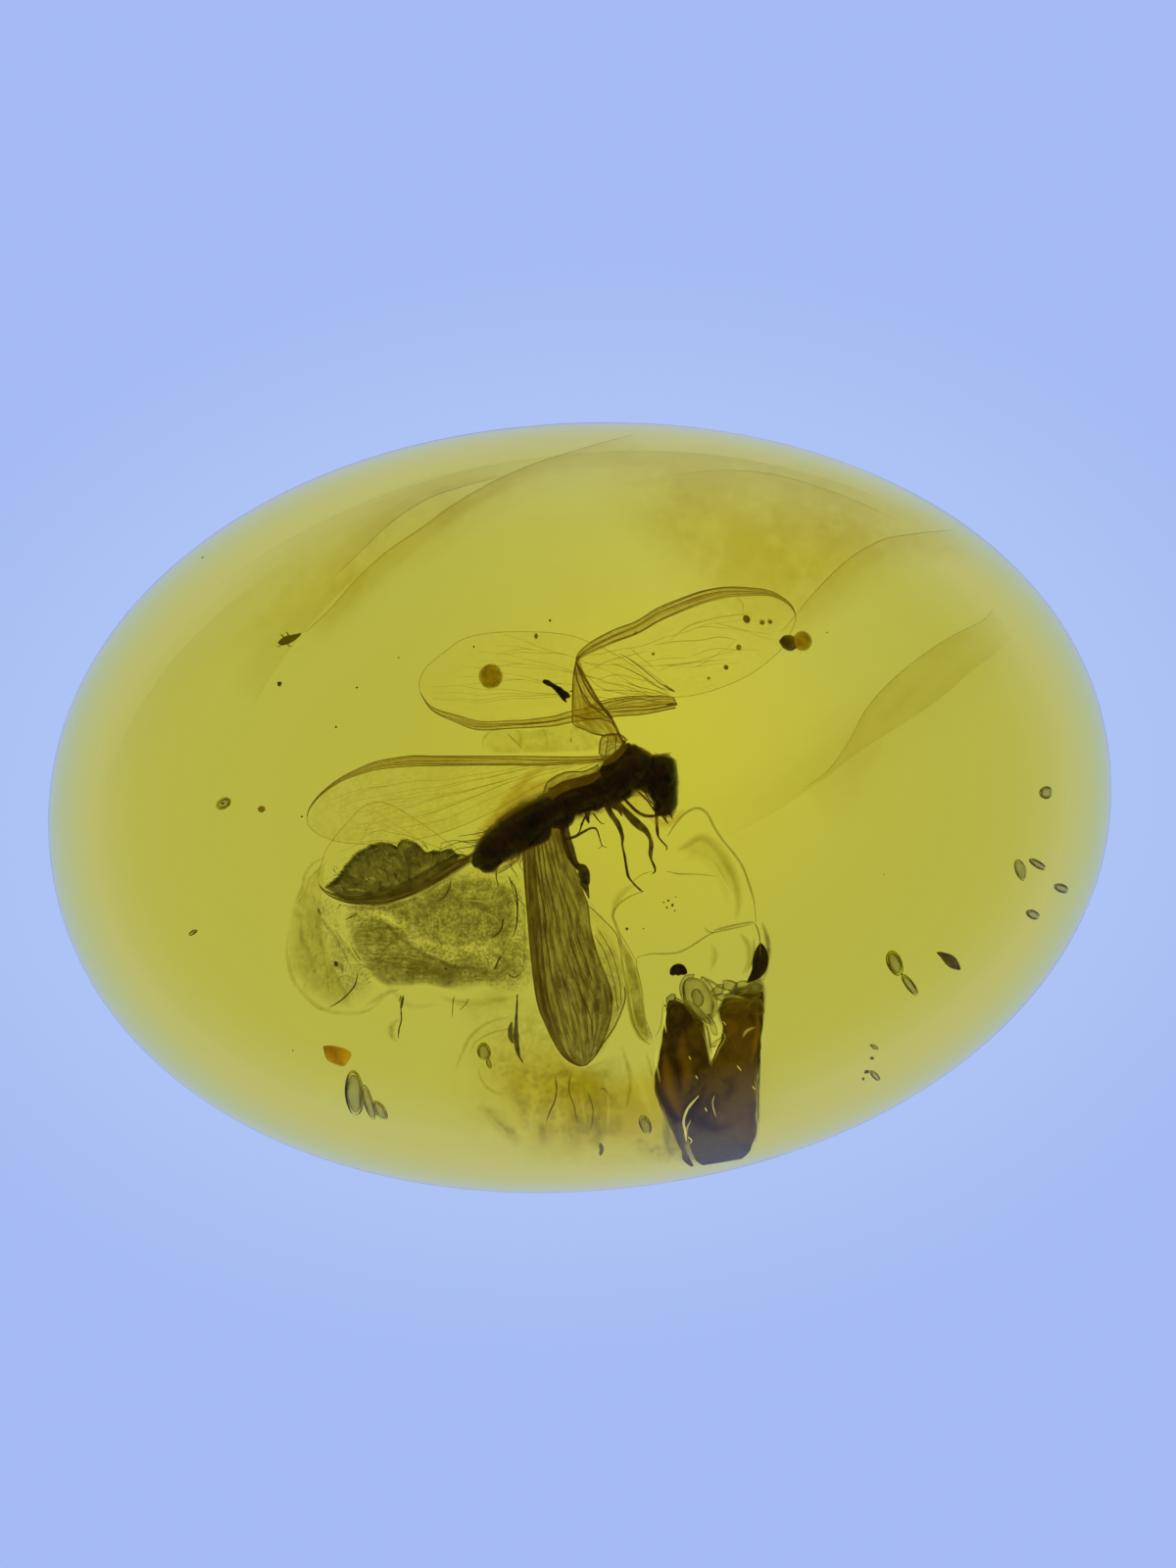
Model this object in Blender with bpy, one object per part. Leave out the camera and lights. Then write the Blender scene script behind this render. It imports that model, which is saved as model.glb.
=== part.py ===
"""A winged termite sealed in an oval amber cabochon, as separate closed solids in metres, +Z up.

The stone lies on its flat ground base. Its long axis is X, its outline is a superellipse that is a little
fuller at one end, and its dome is half an ellipsoid that rises from a low rounded rim. It is parted by two
flat faces above the rim, so that the pocket round the insect is open to the parting plane. The origin is
under the middle of the stone, on the surface that it rests on.

The insect lies on its side with its head towards +X. Every wing is a thin blade between a leading and a
trailing edge, each given from root to tip.
"""

import math
import random

import bmesh
import bpy
from mathutils import Vector

MM = 0.001

# The stone
STONE_LENGTH = 24.0 * MM
STONE_WIDTH = 17.32 * MM
STONE_HEIGHT = 5.6 * MM
RIM_HEIGHT = 0.5 * MM
OUTLINE_POWER = 2.06
OUTLINE_EGG = -0.0134
BASE_FRACTION = 0.90
CROWN_FRACTION = 0.02
PARTING_HEIGHT = 1.5 * MM
PARTING_GAP = 0.1 * MM
STONE_SEGMENTS = 64
UPPER_RINGS = 9
UNDERSIDE_RINGS = 3
SHOULDER_RINGS = 2

# The pockets: how far their corners are drawn in, and their floors and ceilings
POCKET_CORNER = 0.3 * MM
INSECT_POCKET_FLOOR = 1.3 * MM
INSECT_POCKET_CEILING = 3.15 * MM
BARK_POCKET_FLOOR = 0.92 * MM
BARK_POCKET_CEILING = 2.3 * MM
BARK_TAIL_FLOOR = 1.17 * MM
BARK_TAIL_CEILING = 1.62 * MM
SMALL_POCKET_FLOOR = 1.25 * MM
SMALL_POCKET_CEILING = 2.75 * MM

# The insect's middle plane, and the plane that each wing lies in
BODY_HEIGHT = 2.25 * MM
WING_UPPER_RIGHT_HEIGHT = 2.66 * MM
FOLD_STEP = 0.01 * MM
WING_UPPER_LEFT_HEIGHT = 2.42 * MM
WING_LEFT_HEIGHT = 2.36 * MM
WING_LOWER_LEFT_HEIGHT = 2.08 * MM
WING_LOWER_HEIGHT = 1.70 * MM
FLAP_HEIGHT = 2.30 * MM

BODY_SIDES = 16
LIMB_SIDES = 8
WING_STATIONS = 14
FLAP_STATIONS = 7
ABDOMEN_SEGMENTS = 9
SEGMENT_STEP = 0.93

# Across a blade from its leading to its trailing edge: how far across, and half the thickness there
BLADE_SECTION = (
    (0.00, 0.030 * MM),
    (0.03, 0.055 * MM),
    (0.10, 0.055 * MM),
    (0.14, 0.022 * MM),
    (0.34, 0.020 * MM),
    (0.38, 0.038 * MM),
    (0.42, 0.020 * MM),
    (0.62, 0.018 * MM),
    (0.66, 0.034 * MM),
    (0.70, 0.018 * MM),
    (1.00, 0.015 * MM),
)
FLAP_SECTION = ((0.0, 0.030 * MM), (0.12, 0.045 * MM), (0.3, 0.028 * MM), (1.0, 0.045 * MM))

# Edges of the wings, root to tip, in millimetres on the plan
UPPER_RIGHT_LEAD = (
    (0.15, 3.08), (0.76, 3.55), (1.52, 3.84), (2.52, 4.27),
    (3.42, 4.44), (4.21, 4.36), (4.77, 4.03), (5.00, 3.61),
)
UPPER_RIGHT_TRAIL = (
    (0.27, 2.83), (0.77, 2.37), (1.64, 2.23), (2.45, 2.14), (3.16, 2.25), (3.96, 2.57),
    (4.55, 3.00), (4.89, 3.44),
)
UPPER_RIGHT_STEM_LEAD = ((0.16, 3.16), (0.43, 2.52), (0.70, 2.00), (0.87, 1.74), (1.01, 1.45))
UPPER_RIGHT_STEM_TRAIL = ((0.11, 2.98), (0.05, 2.42), (0.02, 1.95), (0.33, 1.60), (0.80, 1.39))
UPPER_LEFT_LEAD = (
    (2.20, 1.86), (1.43, 1.81), (0.51, 1.79), (-0.51, 1.72),
    (-1.63, 1.75), (-2.35, 1.88), (-2.96, 2.21), (-3.23, 2.69),
)
UPPER_LEFT_TRAIL = (
    (2.16, 2.12), (1.73, 2.45), (1.12, 3.07), (0.30, 3.54),
    (-0.81, 3.71), (-1.82, 3.73), (-2.63, 3.38), (-3.19, 2.97),
)
LEFT_LEAD = (
    (0.61, 1.02), (-0.51, 1.09), (-2.04, 1.22), (-3.47, 1.32),
    (-4.48, 1.21), (-5.17, 0.96), (-5.67, 0.59), (-5.84, 0.20),
)
LEFT_TRAIL = (
    (0.53, 0.97), (-0.82, 0.52), (-1.84, 0.05), (-2.96, -0.31),
    (-4.08, -0.44), (-4.98, -0.37), (-5.57, -0.20), (-5.81, 0.06),
)
LOWER_LEFT_LEAD = (
    (-2.45, -1.04), (-3.06, -1.24), (-3.76, -1.51), (-4.56, -1.60),
    (-5.15, -1.53), (-5.50, -1.38), (-5.67, -1.14),
)
LOWER_LEFT_TRAIL = (
    (-2.49, -0.91), (-2.96, -0.62), (-3.67, -0.33), (-4.37, -0.12), (-5.07, -0.22), (-5.46, -0.51),
    (-5.65, -0.94),
)
LOWER_LEAD = (
    (-1.17, -0.31), (-1.27, -1.45), (-1.27, -3.07), (-1.14, -4.21),
    (-0.85, -4.90), (-0.55, -5.21), (-0.36, -5.26),
)
LOWER_TRAIL = (
    (-0.45, -0.20), (-0.20, -1.45), (0.08, -2.67), (0.45, -3.65), (0.40, -4.40), (0.05, -4.94),
    (-0.20, -5.23),
)
SCALE_LEAD = ((-0.75, 0.25), (-0.63, 0.54), (-0.25, 0.73), (0.15, 0.72), (0.46, 0.83))
SCALE_TRAIL = ((-0.56, 0.10), (-0.30, 0.26), (0.00, 0.36), (0.25, 0.41), (0.51, 0.52))
LOBE_LEAD = ((0.55, 1.04), (0.55, 1.34), (0.71, 1.45), (0.90, 1.43), (1.02, 1.31))
LOBE_TRAIL = ((0.63, 0.73), (0.71, 0.78), (0.82, 0.83), (0.92, 0.89), (1.02, 0.94))

# The body from the neck to the waist: x, y, half width on the plan, half depth
THORAX = (
    (1.65, 0.60, 0.10, 0.12),
    (1.55, 0.65, 0.24, 0.26),
    (1.41, 0.70, 0.38, 0.36),
    (1.20, 0.71, 0.46, 0.42),
    (0.97, 0.58, 0.49, 0.44),
    (0.63, 0.41, 0.45, 0.43),
    (0.32, 0.29, 0.37, 0.39),
    (0.05, 0.20, 0.33, 0.36),
)
# The abdomen's run of segments, from the waist to the tail
ABDOMEN = (
    (0.05, 0.20, 0.33, 0.36),
    (-0.51, 0.04, 0.35, 0.37),
    (-1.02, -0.21, 0.41, 0.40),
    (-1.53, -0.49, 0.43, 0.41),
    (-1.94, -0.74, 0.36, 0.36),
    (-2.20, -0.92, 0.22, 0.24),
    (-2.34, -1.01, 0.08, 0.09),
)
HEAD = (
    (1.74, 0.91, 0.07, 0.07),
    (1.78, 0.83, 0.23, 0.24),
    (1.82, 0.65, 0.30, 0.36),
    (1.84, 0.36, 0.31, 0.40),
    (1.85, 0.10, 0.29, 0.38),
    (1.84, -0.10, 0.24, 0.30),
    (1.82, -0.25, 0.16, 0.18),
    (1.80, -0.32, 0.06, 0.07),
)
# The limbs: x, y, height over the middle plane, radius
LIMBS = {
    "front_leg": (
        (0.53, 0.10, -0.10, 0.075), (0.67, -0.23, -0.14, 0.070), (0.84, -0.60, -0.18, 0.055),
        (0.87, -1.04, -0.20, 0.030), (0.90, -1.46, -0.20, 0.030), (1.04, -1.67, -0.20, 0.022),
        (1.19, -1.80, -0.22, 0.014),
    ),
    "middle_leg": (
        (0.87, 0.05, 0.06, 0.070), (1.02, -0.25, 0.10, 0.085), (1.20, -0.48, 0.12, 0.095),
        (1.37, -0.60, 0.12, 0.070), (1.46, -0.79, 0.10, 0.045), (1.43, -1.04, 0.08, 0.045),
        (1.48, -1.25, 0.06, 0.024), (1.46, -1.46, 0.04, 0.014),
    ),
    "far_leg": (
        (1.63, -0.15, -0.10, 0.045), (1.60, -0.44, -0.12, 0.038), (1.60, -0.71, -0.14, 0.034),
        (1.72, -0.86, -0.14, 0.020), (1.79, -0.97, -0.14, 0.014),
    ),
    "hind_leg": (
        (-0.36, 0.00, 0.00, 0.090), (-0.39, -0.41, 0.02, 0.100), (-0.31, -0.83, 0.02, 0.100),
        (-0.21, -1.12, 0.00, 0.060), (-0.02, -1.23, -0.02, 0.070), (0.03, -1.46, -0.04, 0.080),
        (-0.02, -1.69, -0.04, 0.040),
    ),
    "hind_shin": (
        (-0.43, -0.41, -0.05, 0.040), (-0.18, -0.58, -0.08, 0.034), (0.10, -0.46, -0.10, 0.026),
        (0.29, -0.46, -0.10, 0.022), (0.36, -0.62, -0.10, 0.018), (0.42, -0.83, -0.10, 0.012),
    ),
    "palp": (
        (0.20, 0.00, 0.05, 0.050), (0.13, -0.23, 0.05, 0.032), (0.03, -0.39, 0.05, 0.024),
        (-0.08, -0.52, 0.05, 0.014),
    ),
    "antenna": (
        (1.69, -0.15, 0.10, 0.036), (1.53, -0.27, 0.14, 0.034), (1.33, -0.24, 0.16, 0.034),
        (1.10, -0.11, 0.16, 0.034), (0.92, 0.06, 0.14, 0.034), (0.85, 0.25, 0.10, 0.034),
    ),
    "far_antenna": (
        (1.69, -0.06, -0.08, 0.026), (1.55, -0.12, -0.12, 0.024), (1.43, 0.06, -0.14, 0.024),
        (1.24, 0.17, -0.12, 0.026), (1.12, 0.35, -0.10, 0.026),
    ),
    "jaw": ((1.69, -0.23, 0.0, 0.050), (1.78, -0.37, 0.0, 0.030), (1.85, -0.47, 0.0, 0.012)),
}

# The bark chip, from its crust to the rim: y, left and right edge on the plan, floor and ceiling
BARK = (
    (-3.96, 1.77, 2.63, 1.30, 1.66),
    (-4.13, 1.52, 3.60, 1.18, 1.84),
    (-4.46, 1.43, 3.63, 1.12, 1.94),
    (-4.82, 1.25, 3.50, 1.10, 2.00),
    (-5.28, 1.30, 3.40, 1.08, 2.02),
    (-5.80, 1.22, 3.28, 1.08, 1.98),
    (-6.32, 1.30, 3.25, 1.18, 1.78),
    (-6.79, 1.47, 3.24, 1.26, 1.54),
    (-7.15, 1.52, 3.21, 1.27, 1.52),
    (-7.55, 1.62, 3.18, 1.29, 1.50),
    (-7.90, 1.92, 3.00, 1.32, 1.46),
)
BARK_RIDGES = 9
BARK_RELIEF = 0.07
BARK_EDGE = 0.3
BARK_ROUNDING = 0.35
BARK_WANDER = (0.7, 1.0)
BARK_SEED = 7
BARK_CRUMBS = {
    "bark_crumb_left": ((1.69, -3.49, 1.62, 0.09), (1.81, -3.46, 1.64, 0.13), (1.96, -3.49, 1.62, 0.06)),
    "bark_crumb_right": ((3.51, -3.28, 1.60, 0.04), (3.49, -3.51, 1.60, 0.14), (3.44, -3.71, 1.60, 0.12)),
}

# Small things lying by the insect: x, y, z, radius
MIDGE_BODY = (
    (-6.15, 3.88, 2.10, 0.04), (-6.05, 3.89, 2.10, 0.08), (-5.88, 3.95, 2.10, 0.08),
    (-5.68, 4.02, 2.10, 0.035),
)
MIDGE_LEGS = (
    ((-6.01, 3.94, 2.10, 0.020), (-6.06, 4.03, 2.12, 0.014), (-6.10, 4.05, 2.12, 0.008)),
    ((-5.92, 3.97, 2.10, 0.020), (-5.95, 4.06, 2.12, 0.014), (-5.98, 4.10, 2.12, 0.008)),
)
SPLINTER = (
    (-0.57, 2.69, 2.80, 0.025), (-0.43, 2.62, 2.82, 0.050), (-0.20, 2.45, 2.84, 0.060),
    (-0.04, 2.32, 2.84, 0.045),
)
NEEDLE = (
    (-1.65, -3.82, 2.00, 0.015), (-1.73, -4.29, 2.00, 0.040), (-1.79, -4.52, 2.00, 0.080),
    (-1.73, -4.95, 2.00, 0.030),
)
FLAKE_OUTLINE = (
    (-5.85, -4.51), (-5.54, -4.54), (-5.28, -4.68), (-5.37, -4.85), (-5.67, -4.93), (-5.81, -4.78),
)
FLAKE_FLOOR = 1.62 * MM
FLAKE_CEILING = 1.86 * MM
CRUMB_SIDES = 8

# Walls of the pockets on the plan
INSECT_POCKET = (
    (5.50, 3.60), (4.68, 4.57), (3.19, 4.89), (1.21, 4.37), (-1.61, 4.27), (-3.43, 3.57),
    (-4.46, 2.06), (-6.15, 1.22),
    (-6.45, 0.00), (-6.14, -1.62), (-4.66, -2.25), (-2.44, -2.29), (-2.31, -4.64), (-0.89, -5.83),
    (0.50, -5.56),
    (1.11, -4.09), (1.32, -2.50), (2.66, -1.04), (2.76, 1.25), (4.46, 2.26),
)
BARK_POCKET = (
    (1.33, -3.13), (3.76, -3.00), (4.02, -4.05), (3.87, -5.32), (3.64, -6.11), (3.43, -6.69),
    (1.28, -6.72), (0.94, -6.08),
    (0.90, -5.04), (1.11, -4.11),
)
BARK_TAIL_POCKET = (
    (1.28, -6.42), (3.49, -6.38), (3.45, -7.40), (3.15, -8.03), (1.82, -8.08), (1.37, -7.50),
)
MIDGE_POCKET = ((-6.44, 3.64), (-5.48, 3.73), (-5.36, 4.25), (-6.32, 4.30))
FLAKE_POCKET = ((-6.10, -4.26), (-5.14, -4.30), (-5.02, -4.94), (-5.58, -5.18), (-6.07, -4.98))
POCKET_WALL_POINTS = 2


def clear_scene():
    """Remove whatever the scene holds."""
    for obj in list(bpy.data.objects):
        bpy.data.objects.remove(obj, do_unlink=True)


def make_material(name, colour, roughness, transmission=0.0, ior=1.5):
    """A Principled material with one colour."""
    material = bpy.data.materials.new(name)
    material.use_nodes = True
    shader = material.node_tree.nodes["Principled BSDF"]
    shader.inputs["Base Color"].default_value = (*colour, 1.0)
    shader.inputs["Roughness"].default_value = roughness
    shader.inputs["Metallic"].default_value = 0.0
    shader.inputs["Transmission Weight"].default_value = transmission
    shader.inputs["IOR"].default_value = ior
    return material


def make_object(name, points, faces, material):
    """A mesh object whose faces are turned to point outwards."""
    mesh = bpy.data.meshes.new(name)
    mesh.from_pydata(points, [], faces)
    work = bmesh.new()
    work.from_mesh(mesh)
    bmesh.ops.recalc_face_normals(work, faces=work.faces)
    work.to_mesh(mesh)
    work.free()
    mesh.materials.append(material)
    obj = bpy.data.objects.new(name, mesh)
    bpy.context.scene.collection.objects.link(obj)
    return obj


def loft(name, rings, material):
    """A closed body through rings of as many points each, with a flat cap on both ends."""
    sides = len(rings[0])
    points = [point for ring in rings for point in ring]
    faces = [list(range(sides)), list(range(len(points) - sides, len(points)))]
    for station in range(len(rings) - 1):
        first = station * sides
        for side in range(sides):
            after = (side + 1) % sides
            faces.append([first + side, first + after, first + sides + after, first + sides + side])
    return make_object(name, points, faces, material)


def as_helper(obj):
    """Keep an object that only cuts or joins out of the finished model."""
    obj.hide_render = True
    obj.display_type = "WIRE"
    return obj


def add_boolean(obj, helper, operation):
    """Cut a helper out of an object, or fuse it on."""
    modifier = obj.modifiers.new(f"{operation.title()} {helper.name}", "BOOLEAN")
    modifier.operation = operation
    modifier.solver = "EXACT"
    modifier.object = as_helper(helper)


def smooth_through(points, count):
    """Points spread evenly by parameter along a smooth open curve through the given ones."""
    controls = [Vector(point) for point in points]
    ends = [2 * controls[0] - controls[1]] + controls + [2 * controls[-1] - controls[-2]]
    found = []
    for step in range(count):
        place = step / (count - 1) * (len(controls) - 1)
        index = min(int(place), len(controls) - 2)
        part = place - index
        before, start, end, after = ends[index : index + 4]
        found.append(
            0.5
            * (
                2 * start
                + (end - before) * part
                + (2 * before - 5 * start + 4 * end - after) * part**2
                + (3 * start - before - 3 * end + after) * part**3
            )
        )
    return found


def outline_point(angle, fraction, height):
    """A point of the stone's outline, shrunk towards the middle by fraction."""
    power = 2 / OUTLINE_POWER
    across = math.cos(angle)
    along = math.sin(angle)
    x = math.copysign(abs(across) ** power, across)
    y = math.copysign(abs(along) ** power, along) * (1 + OUTLINE_EGG * x)
    return (x * fraction * STONE_LENGTH / 2, y * fraction * STONE_WIDTH / 2, height)


def stone_ring(fraction, height):
    """A level ring of the stone's surface."""
    turns = (math.tau * step / STONE_SEGMENTS for step in range(STONE_SEGMENTS))
    return [outline_point(turn, fraction, height) for turn in turns]


def dome_angle(height):
    """How far round the dome's quarter ellipse a height is, from 0 at the rim to pi / 2 at the crown."""
    return math.asin((height - RIM_HEIGHT) / (STONE_HEIGHT - RIM_HEIGHT))


def dome_rings(start, end, count):
    """Rings of the domed surface between two angles round its quarter ellipse."""
    rise = STONE_HEIGHT - RIM_HEIGHT
    rings = []
    for step in range(count + 1):
        angle = start + (end - start) * step / count
        rings.append(stone_ring(math.cos(angle), RIM_HEIGHT + rise * math.sin(angle)))
    return rings


def make_lower_half(material):
    """The stone from its flat base, round its edge and past the rim, to the parting plane."""
    rings = []
    for step in range(UNDERSIDE_RINGS):
        angle = 0.5 * math.pi * step / UNDERSIDE_RINGS
        fraction = BASE_FRACTION + (1 - BASE_FRACTION) * math.sin(angle)
        rings.append(stone_ring(fraction, RIM_HEIGHT * (1 - math.cos(angle))))
    rings += dome_rings(0.0, dome_angle(PARTING_HEIGHT - PARTING_GAP / 2), SHOULDER_RINGS)
    return loft("amber_lower", rings, material)


def make_upper_half(material):
    """The domed stone above the parting plane, with its crown closed by a tiny facet."""
    crown = math.acos(CROWN_FRACTION)
    rings = dome_rings(dome_angle(PARTING_HEIGHT + PARTING_GAP / 2), crown, UPPER_RINGS)
    rings[-1] = stone_ring(CROWN_FRACTION, STONE_HEIGHT)
    return loft("amber_upper", rings, material)


def rounded_wall(plan):
    """A closed smooth wall through the corners of a pocket, in metres."""
    count = len(plan)
    found = []
    for index in range(count):
        before, start, end, after = (Vector(plan[(index + offset) % count]) for offset in (-1, 0, 1, 2))
        for step in range(POCKET_WALL_POINTS):
            part = step / POCKET_WALL_POINTS
            found.append(
                0.5
                * MM
                * (
                    2 * start
                    + (end - before) * part
                    + (2 * before - 5 * start + 4 * end - after) * part**2
                    + (3 * start - before - 3 * end + after) * part**3
                )
            )
    return found


def make_pocket(name, plan, floor, ceiling, material):
    """A cutter with a rounded wall, drawn in a little at its floor and ceiling."""
    wall = rounded_wall(plan)
    middle = sum(wall, Vector((0, 0))) / len(wall)
    rings = []
    edge = min(POCKET_CORNER, (ceiling - floor) / 4)
    for height, inset in ((floor, edge), (floor + edge, 0), (ceiling - edge, 0), (ceiling, edge)):
        ring = []
        for place in wall:
            moved = place + (middle - place).normalized() * inset
            ring.append((moved.x, moved.y, height))
        rings.append(ring)
    return loft(name, rings, material)


def cut_pockets(lower, upper, material):
    """Open both halves round everything that is sealed in the stone."""
    pockets = [
        make_pocket("insect_pocket", INSECT_POCKET, INSECT_POCKET_FLOOR, INSECT_POCKET_CEILING, material),
        make_pocket("bark_pocket", BARK_POCKET, BARK_POCKET_FLOOR, BARK_POCKET_CEILING, material),
        make_pocket("bark_tail_pocket", BARK_TAIL_POCKET, BARK_TAIL_FLOOR, BARK_TAIL_CEILING, material),
        make_pocket("midge_pocket", MIDGE_POCKET, SMALL_POCKET_FLOOR, SMALL_POCKET_CEILING, material),
        make_pocket("flake_pocket", FLAKE_POCKET, SMALL_POCKET_FLOOR, SMALL_POCKET_CEILING, material),
    ]
    for half in (lower, upper):
        for pocket in pockets:
            add_boolean(half, pocket, "DIFFERENCE")


def blade_rings(lead, trail, height, section, stations):
    """Rings of a thin blade between two edges: over its top from lead to trail, and back below."""
    rings = []
    leading = smooth_through(lead, stations)
    trailing = smooth_through(trail, stations)
    for start, end in zip(leading, trailing):
        top = []
        bottom = []
        for across, half in section:
            place = start.lerp(end, across) * MM
            top.append((place.x, place.y, height + half))
            bottom.append((place.x, place.y, height - half))
        rings.append(top + bottom[::-1])
    return rings


def make_blade(name, lead, trail, height, material, section=BLADE_SECTION, stations=WING_STATIONS):
    """A thin closed blade such as a wing."""
    return loft(name, blade_rings(lead, trail, height, section, stations), material)


def tube_ring(centre, tangent, radius, sides):
    """A ring of points round a tube's middle line."""
    side = tangent.cross(Vector((0, 0, 1)))
    side = side.normalized() if side.length > 0.01 else Vector((1, 0, 0))
    up = side.cross(tangent).normalized()
    angles = [math.tau * step / sides for step in range(sides)]
    return [centre + (side * math.cos(angle) + up * math.sin(angle)) * radius for angle in angles]


def make_tube(name, route, base, material, sides=LIMB_SIDES):
    """A tube with a radius at each point of its route, whose heights are over base."""
    centres = [Vector((x * MM, y * MM, base + z * MM)) for x, y, z, _ in route]
    rings = []
    for index, (*_, radius) in enumerate(route):
        before = centres[max(index - 1, 0)]
        after = centres[min(index + 1, len(centres) - 1)]
        rings.append(tube_ring(centres[index], (after - before).normalized(), radius * MM, sides))
    return loft(name, rings, material)


def body_rings(sections):
    """Upright oval rings across the body's line, each as wide and as deep as its section says."""
    rings = []
    for index, (x, y, wide, deep) in enumerate(sections):
        before = Vector(sections[max(index - 1, 0)][:2])
        after = Vector(sections[min(index + 1, len(sections) - 1)][:2])
        along = (after - before).normalized()
        across = Vector((-along.y, along.x))
        ring = []
        for step in range(BODY_SIDES):
            angle = math.tau * step / BODY_SIDES
            place = Vector((x, y)) + across * wide * math.cos(angle)
            ring.append((place.x * MM, place.y * MM, BODY_HEIGHT + deep * MM * math.sin(angle)))
        rings.append(ring)
    return rings


def segmented(sections, segments):
    """The abdomen's sections, where each segment swells past the one behind it."""
    along = smooth_through(sections, 2 * segments + 1)
    found = []
    for index, (x, y, wide, deep) in enumerate(along):
        step = SEGMENT_STEP if index % 2 and index < 2 * segments else 1.0
        found.append((x, y, wide * step, deep * step))
    return found


def make_termite(material):
    """Head, thorax, abdomen, limbs and the two small flaps at the wing roots, fused in one body."""
    spine = list(THORAX[:-1]) + segmented(ABDOMEN, ABDOMEN_SEGMENTS)
    termite = loft("termite_body", body_rings(spine), material)
    parts = [loft("head", body_rings(HEAD), material)]
    for name, route in LIMBS.items():
        parts.append(make_tube(name, route, BODY_HEIGHT, material))
    flaps = (("wing_scale", SCALE_LEAD, SCALE_TRAIL), ("wing_lobe", LOBE_LEAD, LOBE_TRAIL))
    for name, lead, trail in flaps:
        parts.append(make_blade(name, lead, trail, FLAP_HEIGHT, material, FLAP_SECTION, FLAP_STATIONS))
    for part in parts:
        add_boolean(termite, part, "UNION")
    return termite


def make_wings(material):
    """The five blades, of which the upper right one is folded over at a knee."""
    height = WING_UPPER_RIGHT_HEIGHT
    folded = make_blade("wing_upper_right", UPPER_RIGHT_LEAD, UPPER_RIGHT_TRAIL, height, material)
    stem = make_blade(
        "wing_stem", UPPER_RIGHT_STEM_LEAD, UPPER_RIGHT_STEM_TRAIL, height + FOLD_STEP, material,
        stations=FLAP_STATIONS,
    )
    add_boolean(folded, stem, "UNION")
    make_blade("wing_upper_left", UPPER_LEFT_LEAD, UPPER_LEFT_TRAIL, WING_UPPER_LEFT_HEIGHT, material)
    make_blade("wing_left", LEFT_LEAD, LEFT_TRAIL, WING_LEFT_HEIGHT, material)
    make_blade("wing_lower_left", LOWER_LEFT_LEAD, LOWER_LEFT_TRAIL, WING_LOWER_LEFT_HEIGHT, material)
    make_blade("wing_lower", LOWER_LEAD, LOWER_TRAIL, WING_LOWER_HEIGHT, material)


def make_bark(material):
    """The ridged chip of bark, and two crumbs that stand off its crust."""
    dice = random.Random(BARK_SEED)
    relief = [dice.uniform(-BARK_RELIEF, BARK_RELIEF) for _ in range(2 * (BARK_RIDGES + 1))]
    rings = []
    for y, left, right, floor, ceiling in BARK:
        top = []
        bottom = []
        for step in range(BARK_RIDGES + 1):
            share = step / BARK_RIDGES
            swell = math.sin(math.pi * share) ** BARK_ROUNDING if 0 < step < BARK_RIDGES else BARK_EDGE
            half = 0.5 * (ceiling - floor) * swell
            wander = swell * (ceiling - floor) * dice.uniform(*BARK_WANDER)
            x = left + (right - left) * share
            middle = 0.5 * (floor + ceiling)
            top.append((x * MM, y * MM, (middle + half + relief[step] * wander) * MM))
            bottom.append((x * MM, y * MM, (middle - half + relief[step + BARK_RIDGES] * wander) * MM))
        rings.append(top + bottom[::-1])
    loft("bark_chip", rings, material)
    for name, route in BARK_CRUMBS.items():
        make_tube(name, route, 0.0, material, CRUMB_SIDES)


def make_debris(dark, amber_red):
    """The midge, the two splinters and the orange flake."""
    midge = make_tube("midge", MIDGE_BODY, 0.0, dark)
    for index, route in enumerate(MIDGE_LEGS):
        add_boolean(midge, make_tube(f"midge_leg_{index}", route, 0.0, dark), "UNION")
    make_tube("splinter", SPLINTER, 0.0, dark, CRUMB_SIDES)
    make_tube("needle", NEEDLE, 0.0, dark, CRUMB_SIDES)
    rings = []
    for height in (FLAKE_FLOOR, FLAKE_CEILING):
        rings.append([(x * MM, y * MM, height) for x, y in FLAKE_OUTLINE])
    loft("orange_flake", rings, amber_red)


def main():
    """Build the stone and everything sealed in it."""
    clear_scene()
    amber = make_material("amber", (0.62, 0.56, 0.06), 0.03, transmission=1.0, ior=1.54)
    insect = make_material("insect", (0.020, 0.014, 0.006), 0.45)
    membrane = make_material("membrane", (0.30, 0.25, 0.05), 0.35)
    bark = make_material("bark", (0.045, 0.018, 0.006), 0.8)
    debris = make_material("debris", (0.012, 0.010, 0.006), 0.7)
    flake = make_material("flake", (0.45, 0.20, 0.01), 0.5)
    make_termite(insect)
    make_wings(membrane)
    make_bark(bark)
    make_debris(debris, flake)
    cut_pockets(make_lower_half(amber), make_upper_half(amber), amber)


main()
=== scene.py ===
"""Looks of a winged termite sealed in an oval amber cabochon.

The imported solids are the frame. The two clear halves of the stone become one clear piece with its air
bubbles in it, and each thing inside gets a detailed piece at the place of its solid. Sizes in the classes
below are in millimetres, in the frame of the solids: +X is the stone's long axis on the side of the head,
+Z is up, and the origin is under the middle of the stone.
"""

from __future__ import annotations

import logging
import math
import random
from dataclasses import dataclass, field
from enum import Enum
from typing import Callable, Sequence

import bpy
import numpy as np
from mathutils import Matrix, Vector, noise

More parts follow.
